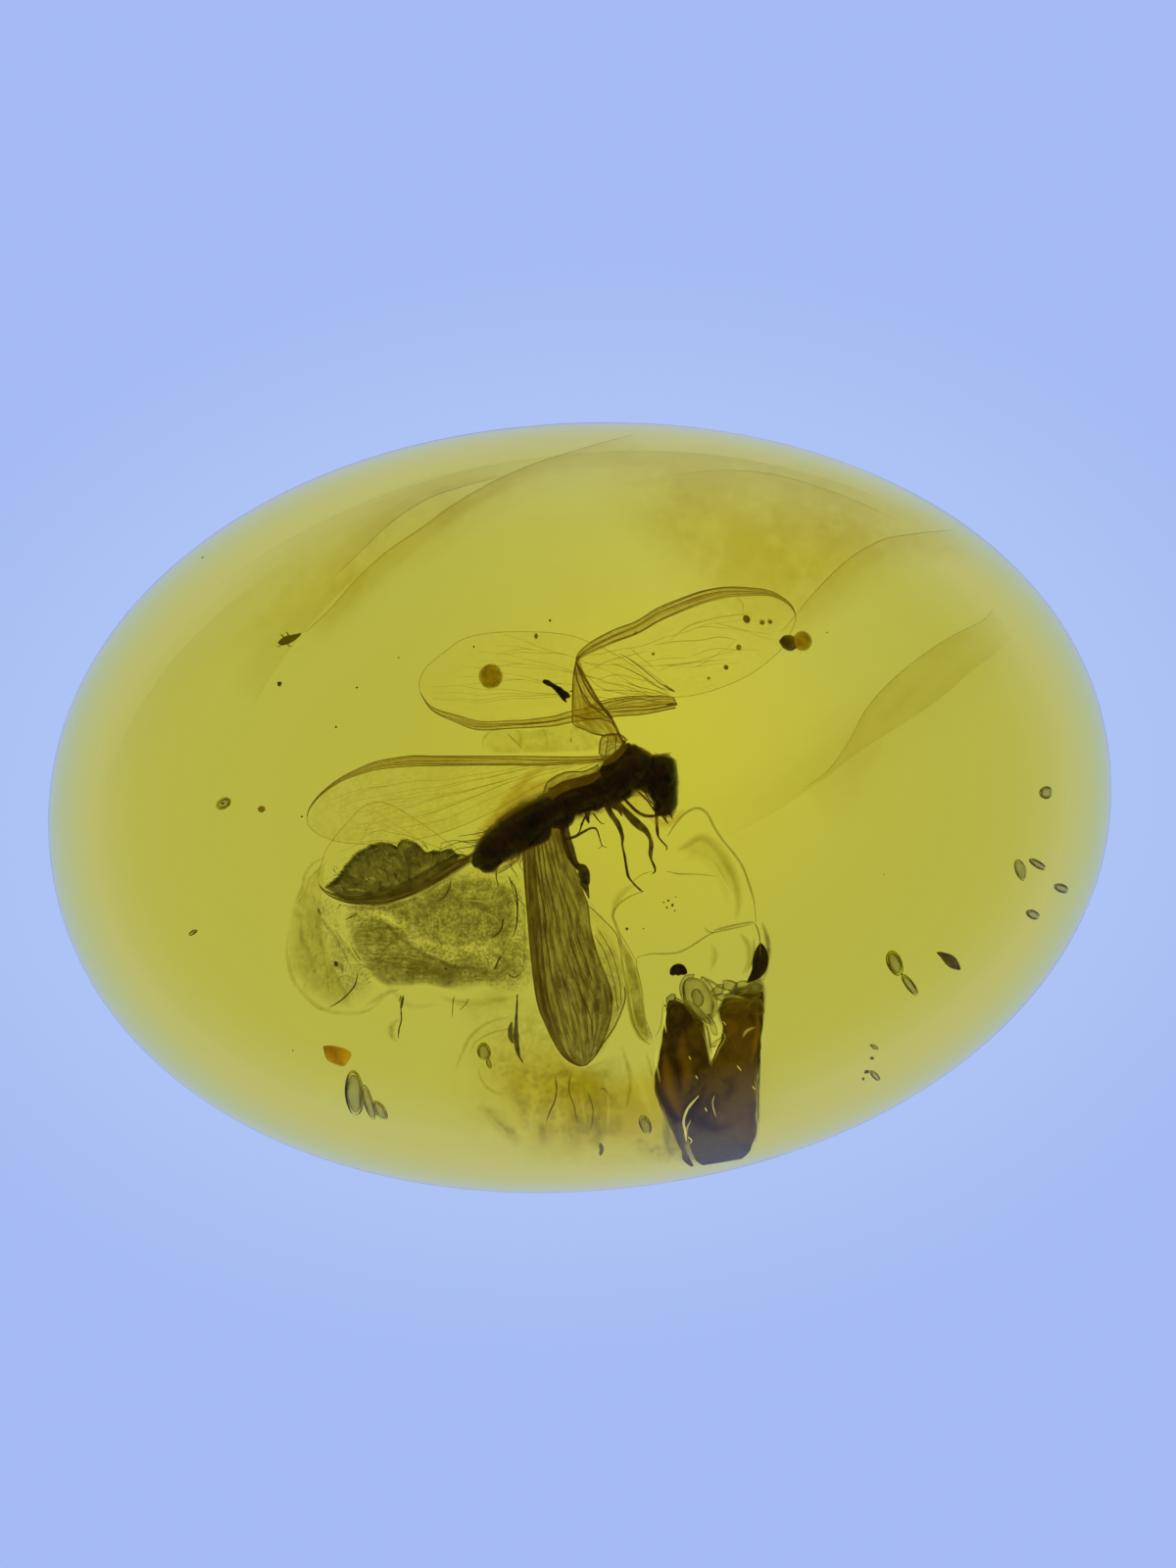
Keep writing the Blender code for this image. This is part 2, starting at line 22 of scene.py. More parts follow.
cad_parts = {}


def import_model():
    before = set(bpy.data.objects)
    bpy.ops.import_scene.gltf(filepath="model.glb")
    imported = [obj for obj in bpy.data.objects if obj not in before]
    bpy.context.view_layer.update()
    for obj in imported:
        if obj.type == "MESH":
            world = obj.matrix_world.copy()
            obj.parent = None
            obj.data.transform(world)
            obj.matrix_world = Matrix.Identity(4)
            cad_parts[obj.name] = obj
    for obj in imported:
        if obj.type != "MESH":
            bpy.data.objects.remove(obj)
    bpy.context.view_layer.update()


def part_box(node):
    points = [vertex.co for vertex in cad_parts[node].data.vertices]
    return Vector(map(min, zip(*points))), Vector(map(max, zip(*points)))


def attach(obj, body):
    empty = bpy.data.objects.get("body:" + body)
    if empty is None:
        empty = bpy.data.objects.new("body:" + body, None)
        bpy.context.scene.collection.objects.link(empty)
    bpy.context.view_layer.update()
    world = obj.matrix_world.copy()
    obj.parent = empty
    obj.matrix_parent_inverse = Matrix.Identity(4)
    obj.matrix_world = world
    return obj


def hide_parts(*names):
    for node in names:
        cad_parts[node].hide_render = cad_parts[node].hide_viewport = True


LOG = logging.getLogger("amber")
MM = 0.001
PER_MM = 1000.0
BODY = "root"
FADE = "fade"
SHEET = 0.006  # thickness of a film, a membrane or a flow face
TINY = 1e-9

Colour = tuple[float, float, float]
Row = tuple[float, ...]
Rows = tuple[Row, ...]

BLACK: Colour = (0.0, 0.0, 0.0)
BACKDROP: Colour = (0.376, 0.497, 0.888)


class Slot(Enum):
    """Material slots, one named for each piece."""

    AMBER = "amber"
    INSECT = "insect"
    MEMBRANE = "membrane"
    BARK = "bark"
    DEBRIS = "debris"
    FLAKE = "flake"


class Facing(Enum):
    """Which way the faces of a closed form look: a void in the stone is turned inside out."""

    OUTWARD = 1
    INWARD = -1


# ---------------------------------------------------------------- curves and meshes


def smooth_line(points: Sequence[Row], count: int) -> np.ndarray:
    """Draw a smooth curve through points and space it evenly.

    Args:
        points: Points of the same length each; the first two or three numbers are a place.
        count: How many points to return.

    Returns:
        The curve as count rows.
    """
    knots = np.array(points, float)
    ends = np.vstack([2 * knots[0] - knots[1], knots, 2 * knots[-1] - knots[-2]])
    spans = len(knots) - 1
    steps = np.linspace(0, spans, 14 * spans + 1)
    first = np.minimum(steps.astype(int), spans - 1)
    part = (steps - first)[:, None]
    a, b, c, d = ends[first], ends[first + 1], ends[first + 2], ends[first + 3]
    dense = 0.5 * (2 * b + (c - a) * part + (2 * a - 5 * b + 4 * c - d) * part**2)
    dense += 0.5 * (3 * b - a - 3 * c + d) * part**3
    place = dense[:, : min(3, dense.shape[1])]
    run = np.concatenate([[0.0], np.cumsum(np.linalg.norm(np.diff(place, axis=0), axis=1))])
    at = np.linspace(0, run[-1], count)
    return np.stack([np.interp(at, run, column) for column in dense.T], axis=1)


def ease(value: float | np.ndarray) -> float | np.ndarray:
    """Return a smooth step from 0 to 1 for a value from 0 to 1."""
    part = np.clip(value, 0.0, 1.0)
    return part * part * (3.0 - 2.0 * part)


def ripple(points: np.ndarray, scale: float, seed: float) -> np.ndarray:
    """Return smooth noise from -1 to 1 at places in millimetres.

    Args:
        points: Places, one row each.
        scale: Waves to a millimetre.
        seed: Shifts the noise, so that two pieces differ.

    Returns:
        One value for each place.
    """
    shift = Vector((seed, -0.7 * seed, 1.3 * seed))
    return np.array([noise.noise(Vector(point) * scale + shift) for point in points])


def headings(path: np.ndarray) -> tuple[np.ndarray, np.ndarray]:
    """Return the way ahead and the way to the left at each place of a path on the plan."""
    ahead = np.gradient(path[:, :2], axis=0)
    ahead /= np.maximum(np.linalg.norm(ahead, axis=1, keepdims=True), TINY)
    return ahead, np.column_stack([-ahead[:, 1], ahead[:, 0]])


def grid_marks(rows: int, columns: int) -> np.ndarray:
    """Return the map places of a grid of points: the share of its rows, then of its columns."""
    across, along = np.meshgrid(np.linspace(0, 1, columns), np.linspace(0, 1, rows))
    return np.stack([along.reshape(-1), across.reshape(-1)], axis=1)


class Draft:
    """The points and faces of one piece, gathered in millimetres before its mesh is made."""

    def __init__(self) -> None:
        """Start with nothing."""
        self.points: list[np.ndarray] = []
        self.fades: list[np.ndarray] = []
        self.marks: list[np.ndarray] = []
        self.faces: list[tuple[int, ...]] = []
        self.size = 0

    def _add(self, points: np.ndarray, fades: np.ndarray, marks: np.ndarray) -> int:
        """Add points with their fade and map places, and return the first one's number."""
        first = self.size
        self.points.append(points)
        self.fades.append(fades)
        self.marks.append(marks)
        self.size += len(points)
        return first

    def _quads(self, first: int, rows: int, columns: int, wrap: bool, flip: bool) -> None:
        """Join a block of points in rows and columns with four-sided faces."""
        for row in range(rows - 1):
            for column in range(columns if wrap else columns - 1):
                after = (column + 1) % columns
                low, high = first + row * columns, first + (row + 1) * columns
                face = (low + column, low + after, high + after, high + column)
                self.faces.append(face[::-1] if flip else face)

    def slab(self, top: np.ndarray, thickness: float, fade: np.ndarray | None = None) -> None:
        """Add a thin closed sheet under a grid of points.

        Args:
            top: The upper face, rows by columns by three.
            thickness: How far the lower face lies under it.
            fade: How strongly the sheet shows at each point, 1 where it isn't given.
        """
        rows, columns = top.shape[:2]
        drop = np.array([0.0, 0.0, thickness])
        strength = np.ones(rows * columns) if fade is None else np.asarray(fade, float).reshape(-1)
        marks = grid_marks(rows, columns)
        flat = top.reshape(-1, 3)
        upper = self._add(flat, strength, marks)
        lower = self._add(flat - drop, strength, marks)
        row, column = rows // 2, columns // 2
        down_rows = top[min(row + 1, rows - 1), column] - top[row - 1, column]
        over_columns = top[row, min(column + 1, columns - 1)] - top[row, column - 1]
        up = bool(np.cross(down_rows, over_columns)[2] > 0)
        self._quads(upper, rows, columns, False, up)
        self._quads(lower, rows, columns, False, not up)
        rim = list(range(columns))
        rim += [row * columns + columns - 1 for row in range(1, rows)]
        rim += [(rows - 1) * columns + column for column in range(columns - 2, -1, -1)]
        rim += [row * columns for row in range(rows - 2, 0, -1)]
        for one, two in zip(rim, rim[1:] + rim[:1]):
            face = (upper + one, upper + two, lower + two, lower + one)
            self.faces.append(face if up else face[::-1])

    def band(
        self, line: Sequence[Row], width: float, height: float, strength: float = 1.0, skew: float = 0.0
    ) -> None:
        """Add a soft ribbon along a line, strongest in its middle and fading to its edges and ends.

        Args:
            line: Places on the plan.
            width: Width in the middle of its run.
            height: Height of the ribbon.
            strength: How strongly its middle shows.
            skew: Moves the strongest line to the left of its run, up to 1, or to the right, down to -1.
        """
        rows, columns = 44, 12
        path = smooth_line(line, rows)
        side = headings(path)[1]
        run = np.linspace(0, 1, rows)
        across = np.linspace(-0.5, 0.5, columns)
        reach = width * (0.45 + 0.55 * np.sin(math.pi * run))
        plan = path[:, None, :2] + side[:, None, :] * (across[None, :] * reach[:, None])[..., None]
        level = np.full(plan.shape[:2] + (1,), height) + 0.1 * across[None, :, None]
        warped = np.clip(across * 2 - skew * (1 - (across * 2) ** 2) * 0.5, -1, 1)
        shade = (np.cos(0.5 * math.pi * warped) ** 2)[None, :] * (np.sin(math.pi * run) ** 0.5)[:, None]
        self.slab(np.concatenate([plan, level], axis=-1), SHEET, strength * shade)

    def tube(
        self,
        path: Sequence[Row] | np.ndarray,
        radii: Sequence[float] | np.ndarray | float,
        sides: int = 6,
        flatness: float = 1.0,
        facing: Facing = Facing.OUTWARD,
        fade: float = 1.0,
    ) -> None:
        """Add a closed tube along a path.

        Args:
            path: Places along the middle.
            radii: The radius at each place, or one radius.
            sides: Faces round the tube.
            flatness: Height of the section over its width.
            facing: Outward for a solid, inward for a void.
            fade: How strongly the tube shows.
        """
        line = np.asarray(path, float)
        count = len(line)
        radius = np.broadcast_to(np.asarray(radii, float), (count,))
        ahead = np.gradient(line, axis=0)
        ahead /= np.maximum(np.linalg.norm(ahead, axis=1, keepdims=True), TINY)
        side = np.cross(ahead, np.array([0.0, 0.0, 1.0]))
        steep = np.linalg.norm(side, axis=1) < 0.05
        side[steep] = np.array([1.0, 0.0, 0.0])
        side /= np.linalg.norm(side, axis=1, keepdims=True)
        lift = np.cross(side, ahead) * flatness
        turn = np.linspace(0, math.tau, sides, endpoint=False)
        ring = side[:, None, :] * np.cos(turn)[None, :, None] + lift[:, None, :] * np.sin(turn)[None, :, None]
        skin = (line[:, None, :] + ring * radius[:, None, None]).reshape(-1, 3)
        first = self._add(skin, np.full(len(skin), fade), grid_marks(count, sides))
        inward = facing is Facing.INWARD
        self._quads(first, count, sides, True, not inward)
        tips = np.array([line[0] - ahead[0] * radius[0] * 0.5, line[-1] + ahead[-1] * radius[-1] * 0.5])
        ends = self._add(tips, np.full(2, fade), np.zeros((2, 2)))
        for column in range(sides):
            after = (column + 1) % sides
            start = (ends, first + after, first + column)
            last = first + (count - 1) * sides
            stop = (ends + 1, last + column, last + after)
            self.faces.append(start if inward else start[::-1])
            self.faces.append(stop if inward else stop[::-1])

    def pebble(
        self,
        centre: Row,
        radii: Row,
        turn: float = 0.0,
        lumps: float = 0.0,
        seed: float = 0.0,
        facing: Facing = Facing.OUTWARD,
        detail: int = 16,
        fade: float = 1.0,
    ) -> None:
        """Add a rounded closed form with uneven sides.

        Args:
            centre: Its middle.
            radii: Half sizes along its own three axes.
            turn: Degrees that it is turned about the vertical.
            lumps: How uneven it is, as a share of its size.
            seed: Shifts the unevenness.
            facing: Outward for a solid, inward for a bubble.
            detail: Rings from bottom to top.
            fade: How strongly it shows.
        """
        heights = np.linspace(-0.5 * math.pi, 0.5 * math.pi, detail)[1:-1]
        angles = np.linspace(0, math.tau, 2 * detail, endpoint=False)
        rise, round_ = np.meshgrid(heights, angles, indexing="ij")
        unit = np.stack(
            [np.cos(rise) * np.cos(round_), np.cos(rise) * np.sin(round_), np.sin(rise)], axis=-1
        ).reshape(-1, 3)
        unit = np.vstack([unit, [[0.0, 0.0, -1.0], [0.0, 0.0, 1.0]]])
        if lumps:
            unit = unit * (1 + lumps * ripple(unit, 1.3, seed))[:, None]
        local = unit * np.array(radii)
        angle = math.radians(turn)
        cosine, sine = math.cos(angle), math.sin(angle)
        turned_x = local[:, 0] * cosine - local[:, 1] * sine
        turned_y = local[:, 0] * sine + local[:, 1] * cosine
        skin = np.column_stack([turned_x, turned_y, local[:, 2]]) + np.array(centre)
        count = 2 * detail
        first = self._add(skin, np.full(len(skin), fade), unit[:, :2] * 0.5 + 0.5)
        inward = facing is Facing.INWARD
        self._quads(first, detail - 2, count, True, inward)
        low, high = first + len(skin) - 2, first + len(skin) - 1
        last = first + (detail - 3) * count
        for column in range(count):
            after = (column + 1) % count
            bottom = (low, first + after, first + column)
            top = (high, last + column, last + after)
            self.faces.append(bottom[::-1] if inward else bottom)
            self.faces.append(top[::-1] if inward else top)

    def shell(self, rings: np.ndarray, facing: Facing = Facing.OUTWARD) -> None:
        """Add a closed form through rings, lowest first, with a many-sided face at each end.

        Args:
            rings: Rings by points by three, each counter-clockwise from above.
            facing: Outward for a solid, inward for a void.
        """
        count, sides = rings.shape[:2]
        inward = facing is Facing.INWARD
        first = self._add(rings.reshape(-1, 3), np.ones(count * sides), grid_marks(count, sides))
        self._quads(first, count, sides, True, inward)
        base = tuple(first + column for column in range(sides))
        crown = tuple(first + (count - 1) * sides + column for column in range(sides))
        self.faces.append(base if inward else base[::-1])
        self.faces.append(crown[::-1] if inward else crown)

    def patch(
        self,
        outline: Sequence[Row],
        centre: Row,
        height: Callable[[np.ndarray], np.ndarray],
        thickness: float,
        fade: Callable[[np.ndarray], np.ndarray],
        rings: int = 14,
        sides: int = 96,
    ) -> None:
        """Add a thin closed sheet that fills a closed outline.

        Args:
            outline: Points round it on the plan.
            centre: The place that every point of the outline is seen from.
            height: Gives the upper face's height at places on the plan.
            thickness: Thickness of the sheet.
            fade: Gives how strongly the sheet shows at a share of the way out from its centre.
            rings: Rows from the centre to the outline.
            sides: Points round the outline.
        """
        edge = smooth_line(tuple(outline) + (outline[0],), sides + 1)[:-1]
        shares = np.linspace(0.04, 1.0, rings)
        middle = np.array(centre)
        plan = middle + (edge - middle)[None] * shares[:, None, None]
        flat = plan.reshape(-1, 2)
        strength = np.repeat(fade(shares), sides)
        level = height(flat)
        marks = flat * 0.2
        top = self._add(np.column_stack([flat, level]), strength, marks)
        bottom = self._add(np.column_stack([flat, level - thickness]), strength, marks)
        turn = edge[:, 0] * np.roll(edge[:, 1], -1) - edge[:, 1] * np.roll(edge[:, 0], -1)
        left = bool(turn.sum() > 0)
        self._quads(top, rings, sides, True, left)
        self._quads(bottom, rings, sides, True, not left)
        inner = tuple(top + column for column in range(sides))
        under = tuple(bottom + column for column in range(sides))
        self.faces.append(inner if left else inner[::-1])
        self.faces.append(under[::-1] if left else under)
        last = (rings - 1) * sides
        for column in range(sides):
            after = (column + 1) % sides
            face = (top + last + column, bottom + last + column, bottom + last + after, top + last + after)
            self.faces.append(face if left else face[::-1])

    def build(self, name: str, finish: Finish, smooth: bool = True) -> bpy.types.Object:
        """Make the piece's object.

        Args:
            name: The piece's name.
            finish: What it is made of.
            smooth: Whether its faces shade as one surface.

        Returns:
            The object, in the scene.
        """
        mesh = bpy.data.meshes.new(name)
        mesh.from_pydata(np.concatenate(self.points) * MM, [], self.faces)
        fades = mesh.attributes.new(FADE, "FLOAT", "POINT")
        fades.data.foreach_set("value", np.concatenate(self.fades).astype(np.float32))
        marks = np.concatenate(self.marks)
        corners = np.zeros(len(mesh.loops), np.int32)
        mesh.loops.foreach_get("vertex_index", corners)
        layer = mesh.uv_layers.new(name="UVMap")
        layer.data.foreach_set("uv", marks[corners].astype(np.float32).reshape(-1))
        mesh.validate()
        mesh.polygons.foreach_set("use_smooth", [smooth] * len(mesh.polygons))
        mesh.materials.append(finish.material())
        piece = bpy.data.objects.new(name, mesh)
        bpy.context.scene.collection.objects.link(piece)
        return piece


def settle(piece: bpy.types.Object, slot: Slot, *nodes: str) -> bpy.types.Object:
    """Fix a piece to the body and say what it stands for.

    Args:
        piece: The finished piece.
        slot: The material slot given for it; not used.
        nodes: The solids that it stands for.

    Returns:
        The same piece.
    """
    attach(piece, BODY)
    if nodes:
        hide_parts(*nodes)
    stands_for = f", for {', '.join(nodes)}" if nodes else ""
    LOG.info("%s: %d faces%s", piece.name, len(piece.data.polygons), stands_for)
    return piece


# ---------------------------------------------------------------- shader nodes


class NodeDesk:
    """Places nodes in one tree and joins them."""

    def __init__(self, tree: bpy.types.NodeTree) -> None:
        """Work on an empty tree."""
        self.tree = tree

    def place(self, kind: str, sockets: dict | None = None, **settings: object) -> bpy.types.Node:
        """Place a node.

        Args:
            kind: The node's type.
            sockets: Values or outputs of other nodes, by the input's name or number.
            settings: Properties of the node.

        Returns:
            The node.
        """
        node = self.tree.nodes.new(kind)
        for name, value in settings.items():
            setattr(node, name, value)
        for key, value in (sockets or {}).items():
            socket = node.inputs[key]
            if isinstance(value, bpy.types.NodeSocket):
                self.tree.links.new(value, socket)
            elif isinstance(value, tuple) and socket.type == "RGBA":
                socket.default_value = (*value[:3], 1.0)
            else:
                socket.default_value = value
        return node

    def blend(self, first: object, second: object, share: object) -> bpy.types.NodeSocket:
        """Return a colour between two, by a share from 0 to 1."""
        sockets = {0: share, 6: first, 7: second}
        return self.place("ShaderNodeMix", sockets, data_type="RGBA").outputs[2]

    def work(self, operation: str, *values: object, clamp: bool = False) -> bpy.types.NodeSocket:
        """Return the result of a Math node."""
        sockets = dict(enumerate(values))
        return self.place("ShaderNodeMath", sockets, operation=operation, use_clamp=clamp).outputs[0]

    def fit(self, value: object, low: float, high: float, start: float, end: float) -> bpy.types.NodeSocket:
        """Return a value moved from the range low to high onto the range start to end."""
        return self.place("ShaderNodeMapRange", {0: value, 1: low, 2: high, 3: start, 4: end}).outputs[0]

    def soften(self, value: object, low: object, high: object, least: float = 0.0) -> bpy.types.NodeSocket:
        """Return a soft step that rises from its least value at low to 1 at high."""
        sockets = {0: value, 1: low, 2: high, 3: least}
        return self.place("ShaderNodeMapRange", sockets, interpolation_type="SMOOTHSTEP").outputs[0]

    def noise(
        self, place: object, scale: object, detail: float, roughness: float = 0.5
    ) -> bpy.types.NodeSocket:
        """Return smooth noise at a place."""
        sockets = {"Vector": place, "Scale": scale, "Detail": detail, "Roughness": roughness}
        return self.place("ShaderNodeTexNoise", sockets).outputs[0]

    def effect(self, kind: type[Effect], **values: object) -> bpy.types.Node:
        """Place an effect's group, its inputs named with underscores for spaces."""
        node = self.tree.nodes.new("ShaderNodeGroup")
        node.node_tree = kind.group()
        for name, value in values.items():
            node.inputs[name.replace("_", " ")].default_value = value
        return node


class Effect:
    """A node group that several finishes share. It puts out masks and heights only."""

    title = "Effect"
    inputs: tuple[tuple[str, float], ...] = ()
    outputs: tuple[str, ...] = ("Mask", "Height")

    @classmethod
    def group(cls) -> bpy.types.NodeTree:
        """Return the group, built on the first call."""
        found = bpy.data.node_groups.get(cls.title)
        if found:
            return found
        tree = bpy.data.node_groups.new(cls.title, "ShaderNodeTree")
        for name, value in cls.inputs:
            socket = tree.interface.new_socket(name, in_out="INPUT", socket_type="NodeSocketFloat")
            socket.default_value = value
        for name in cls.outputs:
            tree.interface.new_socket(name, in_out="OUTPUT", socket_type="NodeSocketFloat")
        desk = NodeDesk(tree)
        given = tree.nodes.new("NodeGroupInput").outputs
        results = cls.wire(desk, given)
        desk.place("NodeGroupOutput", dict(zip(cls.outputs, results)))
        return tree

    @classmethod
    def wire(cls, desk: NodeDesk, given: bpy.types.NodeInputs) -> tuple[bpy.types.NodeSocket, ...]:
        """Wire the group from its inputs and return its outputs in order."""
        raise NotImplementedError

    @staticmethod
    def place_in_mm(desk: NodeDesk) -> bpy.types.NodeSocket:
        """Return the surface's own place in millimetres."""
        place = desk.place("ShaderNodeTexCoord").outputs["Object"]
        sockets = {0: place, 1: (PER_MM, PER_MM, PER_MM)}
        return desk.place("ShaderNodeVectorMath", sockets, operation="MULTIPLY").outputs[0]


class Granules(Effect):
    """Fine uneven grains, as in a film full of tiny bubbles."""

    title = "Granules"
    inputs = (("Scale", 12.0), ("Softness", 0.35), ("Drift", 1.2))

    @classmethod
    def wire(cls, desk: NodeDesk, given: bpy.types.NodeInputs) -> tuple[bpy.types.NodeSocket, ...]:
        """Mix fine, middling and broad noise into one mask."""
        place = cls.place_in_mm(desk)
        fine = desk.noise(place, given["Scale"], 3.0, 0.7)
        middling = desk.noise(place, desk.work("MULTIPLY", given["Scale"], 0.3), 1.0)
        broad = desk.noise(place, given["Drift"], 2.0)
        grains = desk.work("ADD", desk.work("MULTIPLY", fine, 1.7), desk.work("MULTIPLY", middling, 0.8))
        mixed = desk.work("ADD", grains, desk.work("MULTIPLY", broad, 0.9))
        low = desk.work("SUBTRACT", 1.7, given["Softness"])
        high = desk.work("ADD", 1.7, given["Softness"])
        return desk.soften(mixed, low, high), desk.work("MULTIPLY", grains, 0.4)


class Fibres(Effect):
    """Fine wavy lines that run along a piece, as in a creased membrane or in wood."""

    title = "Fibres"
    inputs = (("Across", 40.0), ("Along", 2.5), ("Sharpness", 0.5))

    @classmethod
    def wire(cls, desk: NodeDesk, given: bpy.types.NodeInputs) -> tuple[bpy.types.NodeSocket, ...]:
        """Stretch noise along the piece's own map."""
        mark = desk.place("ShaderNodeTexCoord").outputs["UV"]
        parts = desk.place("ShaderNodeSeparateXYZ", {0: mark})
        along = desk.work("MULTIPLY", parts.outputs[0], given["Along"])
        across = desk.work("MULTIPLY", parts.outputs[1], given["Across"])
        stretch = desk.place("ShaderNodeCombineXYZ", {0: along, 1: across}).outputs[0]
        lines = desk.noise(stretch, 1.0, 4.0)
        reach = desk.work("MULTIPLY", given["Sharpness"], 0.25)
        mask = desk.soften(lines, desk.work("SUBTRACT", 0.5, reach), desk.work("ADD", 0.5, reach))
        return mask, lines


# ---------------------------------------------------------------- finishes


@dataclass(frozen=True)
class Finish:
    """What a piece is made of."""

    name: str

    def material(self) -> bpy.types.Material:
        """Return the material, built on the first call."""
        title = f"{self.name} finish"
        found = bpy.data.materials.get(title)
        if found:
            return found
        material = bpy.data.materials.new(title)
        material.use_nodes = True
        material.node_tree.nodes.clear()
        material.cycles.emission_sampling = "NONE"
        self.wire(NodeDesk(material.node_tree))
        return material

    def wire(self, desk: NodeDesk) -> None:
        """Wire the shader."""
        raise NotImplementedError


@dataclass(frozen=True)
class Amber(Finish):
    """Clear polished resin that takes up blue light.

    Attributes:
        index: Index of refraction.
        take_up: Share of red, green and blue light taken up in a millimetre.
    """

    index: float = 1.54
    take_up: Row = (0.018, 0.032, 0.64)

    def wire(self, desk: NodeDesk) -> None:
        """Wire a clear shader over an absorbing volume."""
        skin = desk.place(
            "ShaderNodeBsdfPrincipled",
            {"Base Color": (1.0, 1.0, 1.0), "Roughness": 0.0, "IOR": self.index, "Transmission Weight": 1.0},
        )
        density = max(self.take_up) * PER_MM
        colour = tuple(1.0 - share * PER_MM / density for share in self.take_up)
        inside = desk.place("ShaderNodeVolumeAbsorption", {"Color": colour, "Density": density})
        desk.place("ShaderNodeOutputMaterial", {"Surface": skin.outputs[0], "Volume": inside.outputs[0]})


@dataclass(frozen=True)
class Film(Finish):
    """A thin see-through sheet: wing membrane, trapped air or a flow face in the resin.

    Attributes:
        pale: Colour where it is thin.
        deep: Colour where it is thick.
        cover: How much light its two faces stop together, from 0 to 1.
        grain: Share of the cover that the grains vary.
        grain_scale: Grains to a millimetre.
        softness: How softly the grains end.
        drift: Broad blotches to a millimetre.
        fibre: Share of the cover that the fibres vary.
        across: Fibres across the piece.
        along: Waves of a fibre along the piece.
        gloss: Roughness.
        lit: Strength of its painted glow, an emission in its own colour that stands in for the light under it
            shining through.
    """

    pale: Colour = (0.2, 0.15, 0.03)
    deep: Colour = (0.06, 0.04, 0.01)
    cover: float = 0.3
    grain: float = 0.4
    grain_scale: float = 14.0
    softness: float = 0.35
    drift: float = 1.2
    fibre: float = 0.2
    across: float = 40.0
    along: float = 2.5
    gloss: float = 0.4
    lit: float = 0.8

    def wire(self, desk: NodeDesk) -> None:
        """Let grains, fibres and the piece's own fade drive how much shows through."""
        grains = desk.effect(Granules, Scale=self.grain_scale, Softness=self.softness, Drift=self.drift)
        fibres = desk.effect(Fibres, Across=self.across, Along=self.along, Sharpness=0.6)
        fade = desk.place("ShaderNodeAttribute", attribute_name=FADE).outputs["Fac"]
        thin = desk.fit(grains.outputs["Mask"], 0.0, 1.0, 1.0 - self.grain, 1.0)
        lines = desk.fit(fibres.outputs["Mask"], 0.0, 1.0, 1.0 - self.fibre, 1.0)
        per_face = 1.0 - math.sqrt(1.0 - self.cover)
        cover = desk.work("MULTIPLY", desk.work("MULTIPLY", thin, lines), per_face)
        shade = desk.blend(self.pale, self.deep, desk.work("MULTIPLY", thin, lines))
        # Painted glow: the film's colour goes out as emission, standing in for the panel's light shining
        # through it, over a darker base colour.
        dull = desk.blend(shade, BLACK, 0.6)
        relief = desk.place(
            "ShaderNodeBump", {"Strength": 0.3, "Distance": 0.01 * MM, "Height": grains.outputs["Height"]}
        )
        skin = desk.place(
            "ShaderNodeBsdfPrincipled",
            {
                "Base Color": dull,
                "Roughness": self.gloss,
                "Specular IOR Level": 0.1,
                "Emission Color": shade,
                "Emission Strength": self.lit,
                "Alpha": desk.work("MULTIPLY", cover, fade, clamp=True),
                "Normal": relief.outputs[0],
            },
        )
        desk.place("ShaderNodeOutputMaterial", {"Surface": skin.outputs[0]})


@dataclass(frozen=True)
class Tissue(Finish):
    """Something with a body of its own: cuticle, vein, bark or grit.

    Attributes:
        pale: Colour of its lighter patches.
        deep: Colour of its darker patches.
        cover: How much light each face stops, from 0 to 1.
        clearing: How much less it stops in its thin patches.
        grain_scale: Grains to a millimetre.
        drift: Broad blotches to a millimetre.
        gloss: Roughness.
        relief: Depth of its grain in millimetres.
        sheen: Weight of a clear coat.
        lit: Strength of its painted glow, an emission in its own colour that stands in for the light under it
            shining through.
        edge: 1 thins it out towards its outline, -1 clears its middle and leaves a dark outline.
    """

    pale: Colour = (0.09, 0.045, 0.012)
    deep: Colour = (0.012, 0.006, 0.003)
    cover: float = 1.0
    clearing: float = 0.0
    grain_scale: float = 9.0
    drift: float = 2.0
    gloss: float = 0.45
    relief: float = 0.01
    sheen: float = 0.0
    lit: float = 0.6
    edge: int = 0

    def wire(self, desk: NodeDesk) -> None:
        """Blend two tones by the grain, with a relief and thin patches."""
        grains = desk.effect(Granules, Scale=self.grain_scale, Softness=0.4, Drift=self.drift)
        mask = grains.outputs["Mask"]
        relief = desk.place(
            "ShaderNodeBump",
            {"Strength": 0.6, "Distance": self.relief * MM, "Height": grains.outputs["Height"]},
        )
        shade = desk.blend(self.pale, self.deep, mask)
        # Painted glow: the colour goes out as emission, standing in for the panel's light shining through,
        # over a darker base colour.
        sockets = {
            "Base Color": desk.blend(shade, BLACK, 0.5),
            "Emission Color": shade,
            "Emission Strength": self.lit,
            "Roughness": desk.fit(mask, 0.0, 1.0, self.gloss * 0.8, min(1.0, self.gloss * 1.3)),
            "Specular IOR Level": 0.3,
            "Coat Weight": self.sheen,
            "Normal": relief.outputs[0],
        }
        cover = desk.fit(mask, 0.0, 1.0, self.cover - self.clearing, self.cover)
        if self.edge:
            facing = desk.place("ShaderNodeLayerWeight", {"Blend": 0.5}).outputs["Facing"]
            low, high, least = (1.0, 0.15, 0.0) if self.edge > 0 else (0.0, 0.75, 0.30)
            cover = desk.work("MULTIPLY", cover, desk.soften(facing, low, high, least))
        sockets["Alpha"] = cover if self.edge or self.clearing else self.cover
        skin = desk.place("ShaderNodeBsdfPrincipled", sockets)
        desk.place("ShaderNodeOutputMaterial", {"Surface": skin.outputs[0]})


